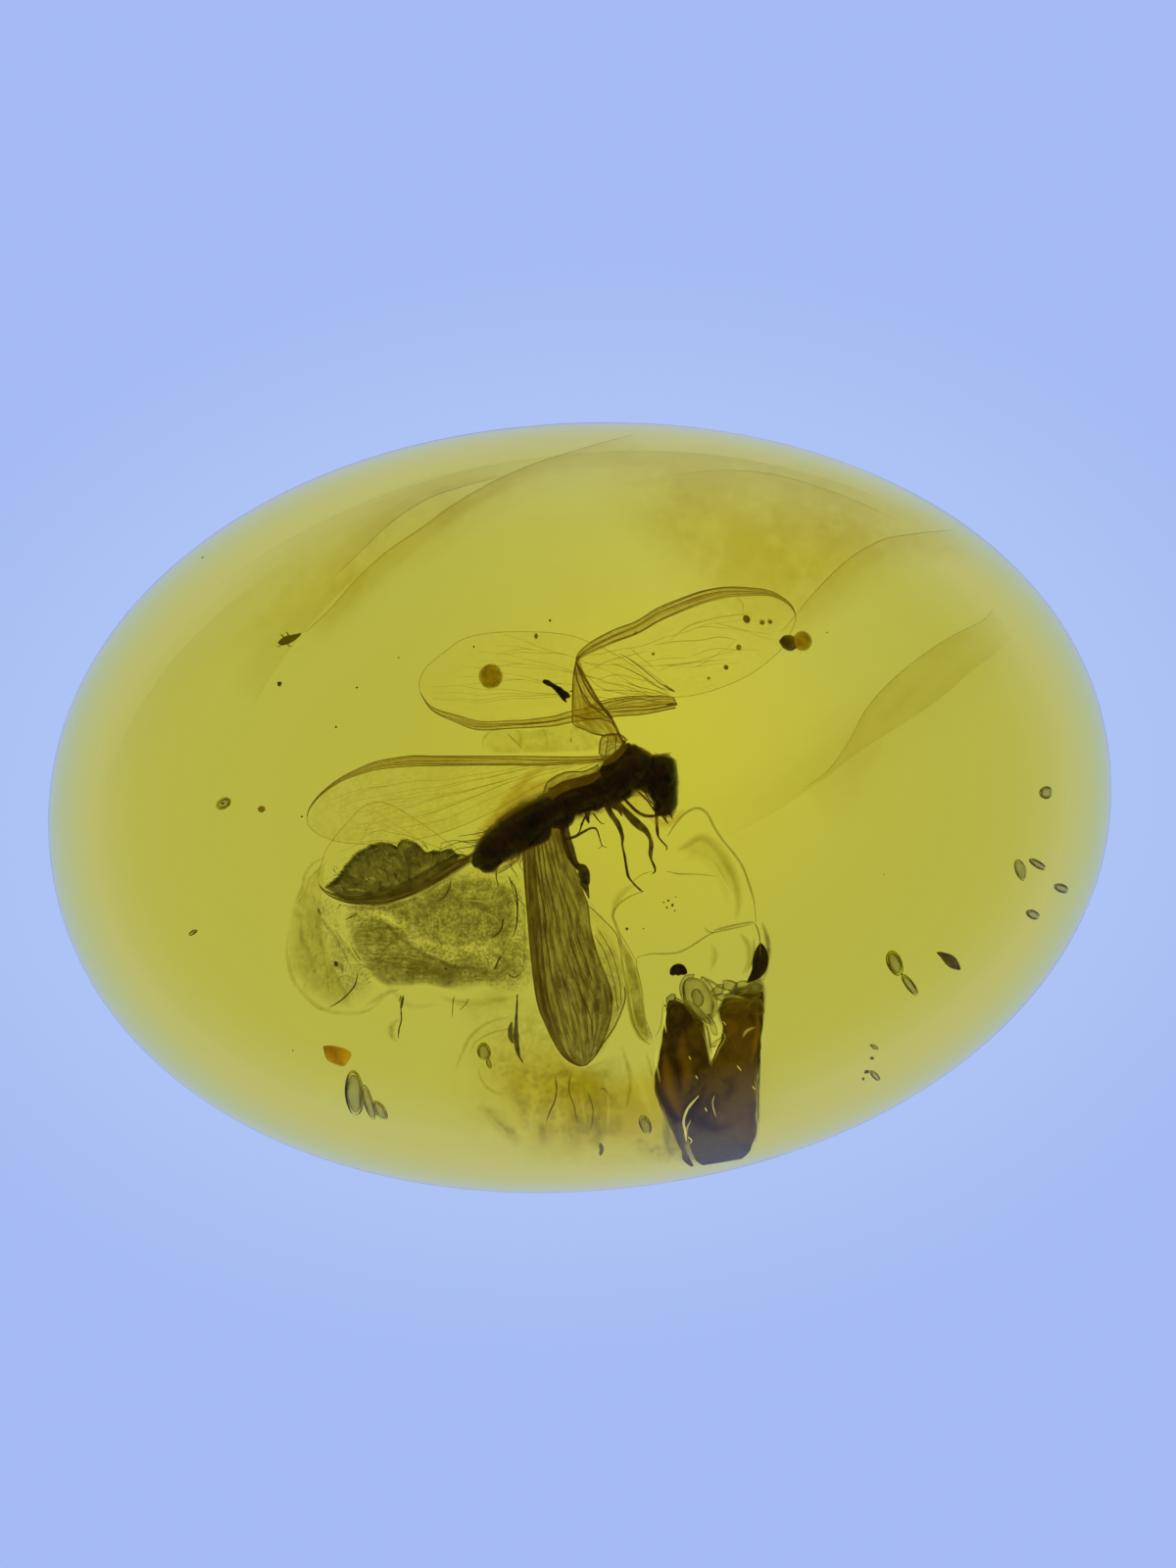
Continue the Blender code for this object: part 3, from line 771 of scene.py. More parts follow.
CLEAR_MEMBRANE = Film(
    "clear membrane", (0.62, 0.55, 0.0), (0.44, 0.35, 0.0), cover=0.20, grain=0.5, fibre=0.35,
)
FINE_MEMBRANE = Film("fine membrane", (0.62, 0.54, 0.0), (0.46, 0.36, 0.0), cover=0.16, grain=0.6, fibre=0.3)
SPECKLED_MEMBRANE = Film("speckled membrane", (0.52, 0.45, 0.01), (0.34, 0.26, 0.0), cover=0.26, grain=0.75,
    grain_scale=17.0, softness=0.3, drift=1.6)
DARK_MEMBRANE = Film("dark membrane", (0.170, 0.112, 0.006), (0.060, 0.032, 0.001), cover=0.95, grain=0.26,
    grain_scale=16.0, softness=0.4, fibre=0.38, across=16.0, along=9.0)
SMOKY_MEMBRANE = Film("smoky membrane", (0.120, 0.094, 0.006), (0.040, 0.028, 0.001), cover=0.96, grain=0.30,
    grain_scale=14.0, softness=0.4, drift=2.4, fibre=0.2, across=16.0, along=16.0)
GOLDEN_BAND = Film("golden band", (0.37, 0.265, 0.0), (0.22, 0.135, 0.0), cover=0.90, grain=0.22, fibre=0.50,
    across=6.0)
GOLDEN_FILM = Film("golden film", (0.200, 0.125, 0.0), (0.070, 0.036, 0.0), cover=0.80, grain=0.45,
    grain_scale=14.0, fibre=0.4, across=10.0)
BROWN_BAND = Film("brown band", (0.110, 0.065, 0.002), (0.050, 0.026, 0.001), cover=0.93, grain=0.15,
    fibre=0.45, across=7.0)
BODY_HAZE = Film("body haze", (0.170, 0.100, 0.0), (0.050, 0.024, 0.0), cover=0.90, grain=0.35,
    grain_scale=7.0, drift=2.0, fibre=0.35, across=9.0, along=16.0)
AIR_FILM = Film("air film", (0.20, 0.165, 0.006), (0.075, 0.056, 0.0), cover=0.72, grain=0.80,
    grain_scale=18.0, softness=0.34, drift=1.3, fibre=0.25, across=5.0, along=5.0)
AIR_FOLD = Film("air fold", (0.13, 0.10, 0.0), (0.048, 0.032, 0.0), cover=0.88, grain=0.60, grain_scale=20.0,
    softness=0.34, drift=1.5, fibre=0.25, across=5.0, along=7.0)
HAZE_FILM = Film("haze film", (0.42, 0.37, 0.02), (0.25, 0.21, 0.0), cover=0.45, grain=0.5, grain_scale=6.0,
    drift=0.9, fibre=0.3, across=4.0, along=4.0)
OCHRE_FILM = Film("ochre film", (0.60, 0.53, 0.0), (0.46, 0.38, 0.0), cover=0.80, grain=0.35, grain_scale=2.5,
    drift=0.6, fibre=0.2, across=3.0, along=3.0)
# Painted highlights: pale glowing streaks that stand in for light caught on the crumples of the trapped air,
# on the bark and among the bottom wisps.
PAINTED_HIGHLIGHT_FILM = Film("bright fold", (1.05, 0.98, 0.55), (0.90, 0.84, 0.40), cover=0.42, grain=0.35,
    grain_scale=12.0, fibre=0.3, across=4.0, along=6.0, lit=1.0)
CRACK_FILM = Film("crack film", (0.38, 0.33, 0.0), (0.27, 0.22, 0.0), cover=0.50, grain=0.3, grain_scale=3.0,
    drift=0.8, fibre=0.0, gloss=0.2)
FLOW_FACE = Film("flow face", (0.50, 0.42, 0.0), (0.36, 0.29, 0.0), cover=0.62, grain=0.30, grain_scale=1.3,
    drift=0.4, fibre=0.25, across=3.0, along=2.0)
WISP_FILM = Film("wisp film", (0.40, 0.33, 0.0), (0.17, 0.125, 0.0), cover=0.75, grain=0.70, grain_scale=9.0,
    softness=0.4, drift=2.0, fibre=0.4, across=5.0, along=2.0)
BARK_TAIL = Film("bark tail", (0.22, 0.19, 0.16), (0.060, 0.045, 0.035), cover=0.85, grain=0.45,
    grain_scale=5.0, softness=0.5, drift=2.0, fibre=0.5, across=9.0, along=2.0)
BARK_SHADE = Film("bark shade", (0.070, 0.045, 0.001), (0.020, 0.011, 0.001), cover=0.97, grain=0.35,
    grain_scale=6.0, drift=1.0)
GOLD_HALO = Film("gold halo", (0.40, 0.26, 0.0), (0.28, 0.17, 0.0), cover=0.55, grain=0.30, grain_scale=4.0,
    drift=1.2, fibre=0.15, across=9.0, along=9.0, lit=1.0)
CUTICLE = Tissue("cuticle", (0.020, 0.008, 0.001), (0.003, 0.0015, 0.0005), cover=0.97, grain_scale=5.0,
    drift=2.0, gloss=0.4, relief=0.02, sheen=0.3, edge=1)
THIN_CUTICLE = Tissue("thin cuticle", (0.060, 0.022, 0.001), (0.010, 0.004, 0.0), cover=0.92, clearing=0.25,
    grain_scale=7.0, gloss=0.35, sheen=0.3, edge=1)
EYE_LENS = Tissue("eye lens", (0.03, 0.022, 0.012), (0.008, 0.006, 0.004), grain_scale=40.0, gloss=0.2,
    sheen=0.8, lit=0.1)
DARK_VEIN = Tissue("dark vein", (0.130, 0.065, 0.0), (0.055, 0.024, 0.0), cover=0.55, grain_scale=8.0)
PALE_VEIN = Tissue("pale vein", (0.34, 0.25, 0.0), (0.22, 0.15, 0.0), cover=0.26, grain_scale=6.0)
CRACK_LINE = Tissue(
    "crack line", (0.24, 0.19, 0.0), (0.12, 0.09, 0.0), cover=0.34, clearing=0.1, grain_scale=3.0,
)
# Painted highlights: pale glowing lines that stand in for light caught along the bark's edges.
PAINTED_HIGHLIGHT_LINE = Tissue("bright line", (1.1, 1.0, 0.55), (0.9, 0.8, 0.4), cover=0.35, clearing=0.15,
    grain_scale=5.0, lit=1.0)
BLACK_LINE = Tissue("black line", (0.05, 0.025, 0.002), (0.012, 0.006, 0.001), cover=0.72, clearing=0.2)
BARB = Tissue("barb", (0.05, 0.034, 0.002), (0.016, 0.010, 0.001), cover=0.42, clearing=0.15)
BARK = Tissue("bark", (0.130, 0.072, 0.001), (0.030, 0.015, 0.001), cover=0.995, clearing=0.05,
    grain_scale=1.5, drift=0.5, gloss=0.55, relief=0.05)
RESIN_CRUST = Tissue("resin crust", (0.16, 0.125, 0.003), (0.030, 0.020, 0.001), cover=0.90, clearing=0.25,
    grain_scale=3.0, drift=1.0, gloss=0.2, relief=0.04, sheen=0.5, edge=-1)
BARK_GLOW = Film("bark glow", (0.30, 0.165, 0.0), (0.20, 0.10, 0.0), cover=0.75, grain=0.3, grain_scale=4.0)
GRIT = Tissue("grit", (0.030, 0.016, 0.002), (0.008, 0.005, 0.002), grain_scale=12.0, gloss=0.6)
DROPLET = Tissue("droplet", (0.30, 0.21, 0.0), (0.12, 0.07, 0.0), cover=0.95, clearing=0.10, grain_scale=4.0,
    lit=0.8, edge=1)
LINING = Tissue("bubble lining", (0.18, 0.14, 0.004), (0.035, 0.024, 0.002), cover=0.92, clearing=0.25,
    grain_scale=5.0, edge=-1)
DARK_DROPLET = Tissue("dark droplet", (0.10, 0.06, 0.0), (0.02, 0.01, 0.0), cover=0.90, clearing=0.15, edge=1)
ORANGE_FLAKE = Tissue("orange flake", (0.50, 0.29, 0.004), (0.24, 0.105, 0.0), cover=0.90, clearing=0.15,
    grain_scale=2.0, drift=1.2, gloss=0.35, relief=0.03, lit=0.9, edge=1)


# ---------------------------------------------------------------- the stone


@dataclass
class Bubble:
    """A bubble: its middle, half sizes, turn on the plan in degrees, and whether it holds clear air."""

    centre: Row
    radii: Row
    turn: float = 0.0
    clear: bool = True


@dataclass
class Stone:
    """The clear cabochon, one skin with its bubbles as voids turned inside out.

    Attributes:
        low: Its lowest corner.
        high: Its highest corner.
        rim_height: Height of its widest ring.
        power: How square its outline is, 2 for an ellipse.
        egg: How much fuller the outline is at one end.
        base_share: Size of the flat base over the outline.
        crown_share: Size of the topmost ring over the outline.
        lining_share: Size of a bubble's lining over the bubble.
        droplet_share: Size of a brown droplet over its listed size.
        heart_share: Size of a droplet's dense heart over the droplet.
    """

    low: Vector
    high: Vector
    rim_height: float = 0.5
    power: float = 2.06
    egg: float = -0.0134
    base_share: float = 0.955
    crown_share: float = 0.02
    lining_share: float = 0.86
    droplet_share: float = 1.12
    heart_share: float = 0.6
    sides: int = 256
    dome_rings: int = 90
    underside_rings: int = 16
    bubbles: tuple[Bubble, ...] = (
        Bubble((-1.68, 2.86, 3.05), (0.24, 0.24, 0.22), clear=False),
        Bubble((5.03, 3.10, 2.70), (0.19, 0.20, 0.18), clear=False),
        Bubble((3.88, 3.66, 2.95), (0.070, 0.085, 0.06), 20.0, clear=False),
        Bubble((4.21, 3.57, 2.95), (0.052, 0.052, 0.05), clear=False),
        Bubble((4.38, 3.57, 2.95), (0.052, 0.048, 0.05), clear=False),
        Bubble((3.66, 3.07, 2.95), (0.055, 0.060, 0.05), clear=False),
        Bubble((3.35, 2.67, 2.95), (0.050, 0.050, 0.04), clear=False),
        Bubble((2.96, 2.47, 2.95), (0.035, 0.030, 0.03), clear=False),
        Bubble((1.82, 3.06, 2.95), (0.035, 0.032, 0.03), clear=False),
        Bubble((-0.65, 3.62, 2.95), (0.040, 0.055, 0.04), clear=False),
        Bubble((-7.58, 0.65, 2.20), (0.18, 0.12, 0.10), 20.0),
        Bubble((-6.76, 0.47, 2.20), (0.075, 0.065, 0.05), clear=False),
        Bubble((-8.50, -2.00, 2.20), (0.12, 0.05, 0.05), 25.0),
        Bubble((10.10, -0.45, 2.00), (0.17, 0.14, 0.10)),
        Bubble((9.80, -1.95, 2.00), (0.24, 0.085, 0.08), -32.0),
        Bubble((9.32, -2.00, 1.60), (0.13, 0.24, 0.06), 20.0),
        Bubble((10.40, -2.55, 1.90), (0.23, 0.10, 0.08), -25.0),
        Bubble((9.65, -3.02, 1.90), (0.20, 0.10, 0.08), -28.0),
        Bubble((6.47, -3.72, 2.10), (0.17, 0.30, 0.13), 22.0),
        Bubble((6.78, -4.22, 2.10), (0.10, 0.30, 0.09), 34.0),
        Bubble((5.95, -5.50, 2.00), (0.12, 0.05, 0.05), -40.0),
        Bubble((5.98, -6.22, 2.00), (0.20, 0.07, 0.06), -55.0),
        Bubble((0.88, -6.75, 2.00), (0.13, 0.25, 0.09), 15.0),
        Bubble((-2.44, -4.85, 2.00), (0.15, 0.20, 0.10), 10.0),
        Bubble((-2.36, -5.10, 1.98), (0.055, 0.13, 0.05), 12.0),
        Bubble((-5.32, -5.62, 2.00), (0.22, 0.53, 0.13), -4.0),
        Bubble((-5.02, -5.80, 1.80), (0.11, 0.42, 0.08), 8.0),
        Bubble((-4.82, -6.05, 2.10), (0.14, 0.26, 0.09), 24.0),
    )

    def __post_init__(self) -> None:
        """Work out the sizes from the corners."""
        self.half_length = 0.5 * (self.high.x - self.low.x) / MM
        self.half_width = 0.5 * (self.high.y - self.low.y) / MM
        self.middle = (self.low + self.high) * 0.5 / MM
        self.height = self.high.z / MM

    def ring(self, share: float, height: float) -> np.ndarray:
        """Return the outline scaled by a share, at a height."""
        turn = np.linspace(0, math.tau, self.sides, endpoint=False)
        reach = (np.abs(np.cos(turn)) ** self.power + np.abs(np.sin(turn)) ** self.power) ** (-1 / self.power)
        along, across = np.cos(turn) * reach, np.sin(turn) * reach
        x = self.middle.x + self.half_length * share * along
        y = self.middle.y + self.half_width * share * across * (1 + self.egg * along)
        return np.column_stack([x, y, np.full(self.sides, height)])

    def rings(self) -> np.ndarray:
        """Return the skin's rings, from the flat base round the rim to the crown."""
        rows = [self.ring(self.base_share * share, 0.0) for share in (0.35, 0.7, 0.9)]
        for step in range(self.underside_rings):
            angle = 0.5 * math.pi * step / self.underside_rings
            share = self.base_share + (1 - self.base_share) * math.sin(angle)
            rows.append(self.ring(share, self.rim_height * (1 - math.cos(angle))))
        rise = self.height - self.rim_height
        for step in range(self.dome_rings + 1):
            angle = math.acos(self.crown_share) * step / self.dome_rings
            rows.append(self.ring(math.cos(angle), self.rim_height + rise * math.sin(angle)))
        return np.array(rows)

    def build(self) -> None:
        """Make the clear piece."""
        draft = Draft()
        draft.shell(self.rings())
        for number, bubble in enumerate(bubble for bubble in self.bubbles if bubble.clear):
            draft.pebble(
                bubble.centre, bubble.radii, bubble.turn,
                lumps=0.05, seed=number, facing=Facing.INWARD, detail=18,
            )
        stone = draft.build("amber_stone", Amber("amber"))
        settle(stone, Slot.AMBER, "amber_lower", "amber_upper")
        linings, droplets = Draft(), Draft()
        for number, bubble in enumerate(self.bubbles):
            share = self.lining_share if bubble.clear else self.droplet_share
            radii = tuple(share * radius for radius in bubble.radii)
            draft = linings if bubble.clear else droplets
            draft.pebble(bubble.centre, radii, bubble.turn, lumps=0.05, seed=number, detail=14)
            if not bubble.clear:
                heart = tuple(self.heart_share * radius for radius in radii)
                draft.pebble(bubble.centre, heart, bubble.turn, lumps=0.1, seed=number + 50, detail=12)
        settle(linings.build("bubble_linings", LINING), Slot.DEBRIS)
        settle(droplets.build("brown_droplets", DROPLET), Slot.DEBRIS)


# ---------------------------------------------------------------- wings


@dataclass
class Wing:
    """One wing: a membrane between two margins, a folded front band, veins and a margin line.

    Attributes:
        name: Its name in the pieces.
        node: The solid that it stands for.
        lead: The front margin from root to tip.
        trail: The rear margin from root to tip.
        height: Height of its middle plane.
        band: Share of the chord that the front band takes, at points from root to tip.
        veins: How many veins run to the tip and the rear margin.
        creases: How many folds run along the front band.
    """

    name: str
    node: str
    lead: Rows
    trail: Rows
    height: float
    membrane: Film
    band: Row
    band_film: Film
    veins: int
    creases: int
    vein: Tissue = PALE_VEIN
    crease: Tissue = DARK_VEIN
    vein_radius: float = 0.008
    crease_radius: float = 0.010
    billow: float = 0.05
    waves: float = 7.0
    wave_height: float = 0.012
    seed: int = 1
    stations: int = 110
    ribs: int = 40
    rear_margin: float = 0.010

    def __post_init__(self) -> None:
        """Space both margins evenly."""
        self.front = smooth_line(self.lead, self.stations)
        self.rear = smooth_line(self.trail, self.stations)
        steps = np.linspace(0, 1, self.stations)
        self.band_edge = np.interp(steps, np.linspace(0, 1, len(self.band)), self.band)

    def at(self, station: np.ndarray, share: np.ndarray, lift: float = 0.0) -> np.ndarray:
        """Return places on the wing.

        Args:
            station: From 0 at the root to 1 at the tip.
            share: From 0 at the front margin to 1 at the rear one.
            lift: Height over the membrane.

        Returns:
            The places, with the shape of the arguments and a last axis of three.
        """
        place = np.clip(station, 0, 1) * (self.stations - 1)
        grid = np.arange(self.stations)
        front = np.stack([np.interp(place, grid, self.front[:, axis]) for axis in (0, 1)], axis=-1)
        rear = np.stack([np.interp(place, grid, self.rear[:, axis]) for axis in (0, 1)], axis=-1)
        plan = front + (rear - front) * share[..., None]
        arch = self.billow * np.sin(math.pi * np.clip(share, 0, 1)) * np.sin(math.pi * np.clip(station, 0, 1))
        wave = self.wave_height * np.sin(math.tau * self.waves * share + 3.0 * station + self.seed)
        flat = np.concatenate([plan, np.zeros(plan.shape[:-1] + (1,))], axis=-1).reshape(-1, 3)
        crumple = 0.03 * ripple(flat, 1.4, self.seed).reshape(plan.shape[:-1])
        height = self.height + arch + wave * np.sin(math.pi * np.clip(station, 0, 1)) + crumple + lift
        return np.concatenate([plan, height[..., None]], axis=-1)

    def build_membrane(self) -> None:
        """Make the membrane."""
        station, share = np.meshgrid(
            np.linspace(0, 1, self.stations), np.linspace(0, 1, self.ribs), indexing="ij"
        )
        draft = Draft()
        draft.slab(self.at(station, share), SHEET)
        settle(draft.build(f"{self.name}_membrane", self.membrane), Slot.MEMBRANE, self.node)

    def build_band(self) -> None:
        """Make the golden band behind the front margin."""
        station, across = np.meshgrid(np.linspace(0, 1, self.stations), np.linspace(0, 1, 10), indexing="ij")
        share = across * self.band_edge[:, None]
        fade = np.broadcast_to(0.75 + 0.25 * np.cos(math.tau * 2 * across), across.shape)
        draft = Draft()
        draft.slab(self.at(station, share, lift=0.02), SHEET, fade)
        settle(draft.build(f"{self.name}_band", self.band_film), Slot.MEMBRANE)

    def build_creases(self) -> None:
        """Make the dark folds of the front band and the front margin."""
        rng = random.Random(self.seed)
        draft = Draft()
        station = np.linspace(0, 0.985, 90)
        edge = np.interp(station, np.linspace(0, 1, self.stations), self.band_edge)
        for number in range(self.creases):
            share = number / max(1, self.creases - 1)
            drift = 0.16 * np.sin(math.pi * station * rng.uniform(1.2, 2.4) + rng.uniform(0, 3))
            drift *= 0 < share < 1
            path = self.at(station, edge * np.clip(share + drift, 0, 1), lift=0.03 + 0.004 * number)
            taper = np.interp(station, [0, 0.55, 0.85, 1], [1.0, 0.9, 0.6, 0.35])
            radius = self.crease_radius * taper * (1.25 if number == 0 else rng.uniform(0.6, 1.0))
            draft.tube(path, radius, sides=6)
        settle(draft.build(f"{self.name}_creases", self.crease), Slot.MEMBRANE)

    def vein_paths(self) -> list[tuple[np.ndarray, np.ndarray]]:
        """Return stations and shares of the chord for each vein and its forks."""
        rng = random.Random(100 + self.seed)
        edge = float(np.mean(self.band))
        paths = []
        for number in range(self.veins):
            share = (number + 0.6) / self.veins
            start = edge + (1 - edge) * share * 0.55
            end = edge + (1 - edge) * share**0.85
            reach = 0.97 - 0.30 * share**2
            station = np.linspace(rng.uniform(0.04, 0.12), reach * rng.uniform(0.85, 1.0), 48)
            part = station / reach
            wander = 0.022 * np.sin(rng.uniform(5, 9) * station + rng.uniform(0, 6))
            wander = wander + 0.006 * np.sin(37 * station + rng.uniform(0, 6))
            path = start + (end - start) * part**1.5 + wander
            paths.append((station, path))
            for _ in range(rng.choice((1, 2, 2, 3))):
                keep = station > rng.uniform(0.25, 0.75) * reach
                fork, rest = station[keep], path[keep]
                spread = rng.choice((-1, 1)) * rng.uniform(0.25, 0.6) / self.veins
                turn = (fork - fork[0]) / (fork[-1] - fork[0])
                paths.append((fork, rest + spread * turn**1.3))
        return paths

    def build_veins(self) -> None:
        """Make the fine veins and the rear margin."""
        draft = Draft()
        for station, share in self.vein_paths():
            path = self.at(station, np.clip(share, 0, 1), lift=0.008)
            draft.tube(path, self.vein_radius * np.linspace(1.0, 0.35, len(path)), sides=4)
        station = np.concatenate([np.linspace(0.02, 1, 90), np.linspace(1, 0.7, 24)[1:]])
        share = np.concatenate([np.ones(90), np.zeros(23)])
        draft.tube(self.at(station, share, lift=0.004), self.rear_margin, sides=6)
        settle(draft.build(f"{self.name}_veins", self.vein), Slot.MEMBRANE)

    def build(self) -> None:
        """Make the wing's four pieces."""
        self.build_membrane()
        self.build_band()
        self.build_creases()
        self.build_veins()


@dataclass
class Gusset:
    """A folded film between two edges with creases across it, such as a wing's twisted root.

    Attributes:
        lead: One edge.
        trail: The other edge, run the same way.
        height: Height of the film.
        lines: Creases, each a list of places on the plan.
    """

    name: str
    lead: Rows
    trail: Rows
    height: float
    film: Film
    lines: tuple[Rows, ...]
    line_radii: Row
    fades: Row = (1.0, 1.0)
    line: Tissue = DARK_VEIN
    seed: int = 5

    def build(self) -> None:
        """Make the film and its creases."""
        front, rear = smooth_line(self.lead, 48), smooth_line(self.trail, 48)
        share = np.linspace(0, 1, 20)[None, :, None]
        plan = front[:, None, :] * (1 - share) + rear[:, None, :] * share
        flat = np.concatenate([plan, np.zeros(plan.shape[:2] + (1,))], axis=-1)
        level = self.height + 0.04 * ripple(flat.reshape(-1, 3), 2.2, self.seed).reshape(plan.shape[:2])
        draft = Draft()
        fade = np.broadcast_to(np.linspace(*self.fades, 20)[None, :], plan.shape[:2])
        draft.slab(np.concatenate([plan, level[..., None]], axis=-1), SHEET, fade)
        settle(draft.build(f"{self.name}_film", self.film), Slot.MEMBRANE)
        creases = Draft()
        for number, (points, radius) in enumerate(zip(self.lines, self.line_radii)):
            path = smooth_line(points, 40)
            path = np.column_stack([path, np.full(len(path), self.height + 0.05 + 0.006 * number)])
            creases.tube(path, radius * np.interp(np.linspace(0, 1, 40), [0, 0.1, 0.9, 1], [0.7, 1, 1, 0.7]))
        settle(creases.build(f"{self.name}_creases", self.line), Slot.MEMBRANE)


# ---------------------------------------------------------------- the termite


@dataclass
class Termite:
    """The body on its side, head to +X, with its limbs, wing stumps and hairs.

    Attributes:
        height: Height of its middle plane.
        thorax: Neck to waist: x, y, half width on the plan, half depth.
        abdomen: Waist to tail, in the same way.
        head: Crown to mouth, in the same way.
        limbs: Each limb from its root: x, y, height over the middle plane, radius.
    """

    height: float = 2.25
    segments: int = 9
    thorax: Rows = ((1.66, 0.60, 0.12, 0.12), (1.56, 0.66, 0.26, 0.26), (1.41, 0.70, 0.40, 0.36),
        (1.20, 0.71, 0.47, 0.42), (0.97, 0.58, 0.48, 0.44), (0.63, 0.40, 0.44, 0.43),
        (0.32, 0.29, 0.38, 0.39), (0.05, 0.20, 0.34, 0.36), (-0.15, 0.15, 0.30, 0.33))
    abdomen: Rows = ((0.20, 0.26, 0.28, 0.30), (0.05, 0.20, 0.33, 0.36), (-0.51, 0.04, 0.36, 0.37),
        (-1.02, -0.21, 0.42, 0.40), (-1.53, -0.49, 0.44, 0.41), (-1.94, -0.74, 0.37, 0.36),
        (-2.20, -0.92, 0.24, 0.24), (-2.35, -1.02, 0.08, 0.09))
    head: Rows = ((1.82, 0.98, 0.06, 0.06), (1.82, 0.95, 0.18, 0.18), (1.81, 0.85, 0.28, 0.30),
        (1.81, 0.62, 0.33, 0.38), (1.81, 0.34, 0.34, 0.40), (1.81, 0.10, 0.32, 0.38),
        (1.82, -0.08, 0.27, 0.31), (1.81, -0.22, 0.18, 0.20), (1.79, -0.31, 0.06, 0.07))
    limbs: dict[str, Rows] = field(
        default_factory=lambda: {
            "front_leg": (
                (0.53, 0.12, -0.10, 0.075), (0.64, -0.16, -0.14, 0.066), (0.78, -0.40, -0.17, 0.062),
                (0.85, -0.64, -0.18, 0.044), (0.84, -0.84, -0.20, 0.026), (0.87, -1.06, -0.20, 0.028),
                (0.90, -1.40, -0.20, 0.032), (0.94, -1.52, -0.20, 0.026), (1.03, -1.64, -0.20, 0.020),
                (1.12, -1.74, -0.20, 0.026), (1.19, -1.80, -0.22, 0.010),
            ),
            "middle_leg": (
                (0.80, 0.08, 0.06, 0.050), (0.93, -0.12, 0.10, 0.070), (1.08, -0.30, 0.10, 0.092),
                (1.22, -0.45, 0.12, 0.100), (1.35, -0.57, 0.12, 0.072), (1.43, -0.72, 0.10, 0.046),
                (1.45, -0.88, 0.08, 0.055), (1.42, -1.04, 0.08, 0.050), (1.43, -1.17, 0.06, 0.030),
                (1.48, -1.31, 0.05, 0.028), (1.49, -1.41, 0.04, 0.020), (1.43, -1.46, 0.04, 0.010),
            ),
            "far_leg": (
                (1.61, -0.15, -0.10, 0.045), (1.60, -0.44, -0.12, 0.038), (1.60, -0.62, -0.14, 0.036),
                (1.62, -0.73, -0.14, 0.020), (1.69, -0.83, -0.14, 0.018), (1.77, -0.93, -0.14, 0.018),
                (1.76, -1.01, -0.14, 0.008),
            ),
            "hind_leg": (
                (-0.36, 0.00, 0.00, 0.10), (-0.36, -0.35, 0.02, 0.10), (-0.33, -0.62, 0.02, 0.115),
                (-0.27, -0.90, 0.02, 0.115), (-0.21, -1.08, 0.00, 0.085), (-0.14, -1.18, -0.02, 0.075),
                (-0.05, -1.26, -0.02, 0.125), (-0.01, -1.42, -0.04, 0.135), (-0.01, -1.58, -0.04, 0.095),
                (0.02, -1.72, -0.04, 0.050), (0.05, -1.86, -0.04, 0.015),
            ),
            "hind_shin": (
                (-0.33, -0.62, -0.05, 0.040), (-0.14, -0.58, -0.08, 0.034), (0.04, -0.50, -0.10, 0.030),
                (0.20, -0.44, -0.10, 0.026), (0.31, -0.46, -0.10, 0.022), (0.36, -0.60, -0.10, 0.015),
                (0.41, -0.80, -0.10, 0.010), (0.50, -0.85, -0.10, 0.005),
            ),
            "hind_claw": (
                (0.41, -0.80, -0.10, 0.008), (0.36, -0.85, -0.10, 0.006), (0.32, -0.85, -0.10, 0.004)
            ),
            "palp": (
                (0.26, 0.02, 0.05, 0.055), (0.16, -0.13, 0.05, 0.060), (0.15, -0.24, 0.05, 0.045),
                (0.17, -0.33, 0.05, 0.020),
            ),
            "palp_tip": (
                (0.10, -0.20, 0.05, 0.028), (0.02, -0.34, 0.05, 0.024), (-0.04, -0.48, 0.05, 0.016),
                (-0.12, -0.56, 0.05, 0.008),
            ),
            "spur": ((0.28, -0.14, 0.0, 0.020), (0.36, -0.27, 0.0, 0.016), (0.44, -0.36, 0.0, 0.012),
                     (0.50, -0.36, 0.0, 0.006)),
            "coxa": ((0.60, 0.10, -0.05, 0.10), (0.72, 0.00, -0.05, 0.085), (0.82, -0.10, -0.05, 0.050),
                     (0.88, -0.24, -0.05, 0.020)),
            "antenna": (
                (1.72, -0.27, 0.10, 0.034), (1.55, -0.29, 0.14, 0.034), (1.37, -0.27, 0.16, 0.036),
                (1.20, -0.17, 0.16, 0.036), (1.06, -0.02, 0.14, 0.036), (0.95, 0.12, 0.10, 0.034),
            ),
            "far_antenna": (
                (1.68, -0.22, -0.08, 0.026), (1.55, -0.14, -0.12, 0.024), (1.46, 0.00, -0.14, 0.024),
                (1.36, 0.13, -0.12, 0.026), (1.24, 0.24, -0.10, 0.026),
            ),
            "neck_strand": ((1.60, -0.10, 0.05, 0.020), (1.50, 0.02, 0.05, 0.018), (1.42, 0.16, 0.05, 0.020),
                            (1.38, 0.28, 0.05, 0.020)),
            "jaw": ((1.74, -0.24, 0.0, 0.060), (1.78, -0.36, 0.0, 0.034), (1.84, -0.47, 0.0, 0.010)),
            "far_jaw": ((1.88, -0.22, 0.0, 0.050), (1.92, -0.32, 0.0, 0.030), (1.94, -0.38, 0.0, 0.010)),
            "front_shoulder": (
                (0.52, 0.60, 0.10, 0.12), (0.72, 0.84, 0.12, 0.13), (0.95, 1.00, 0.12, 0.14),
                (1.10, 1.14, 0.10, 0.10), (1.16, 1.22, 0.08, 0.04),
            ),
            "wing_root": (
                (0.95, 1.05, 0.18, 0.07), (1.02, 1.18, 0.22, 0.06), (1.06, 1.30, 0.24, 0.03),
            ),
            "waist_fold": (
                (0.40, 0.62, 0.05, 0.06), (0.05, 0.55, 0.08, 0.08), (-0.30, 0.50, 0.08, 0.06),
                (-0.62, 0.40, 0.06, 0.03),
            ),
        }
    )

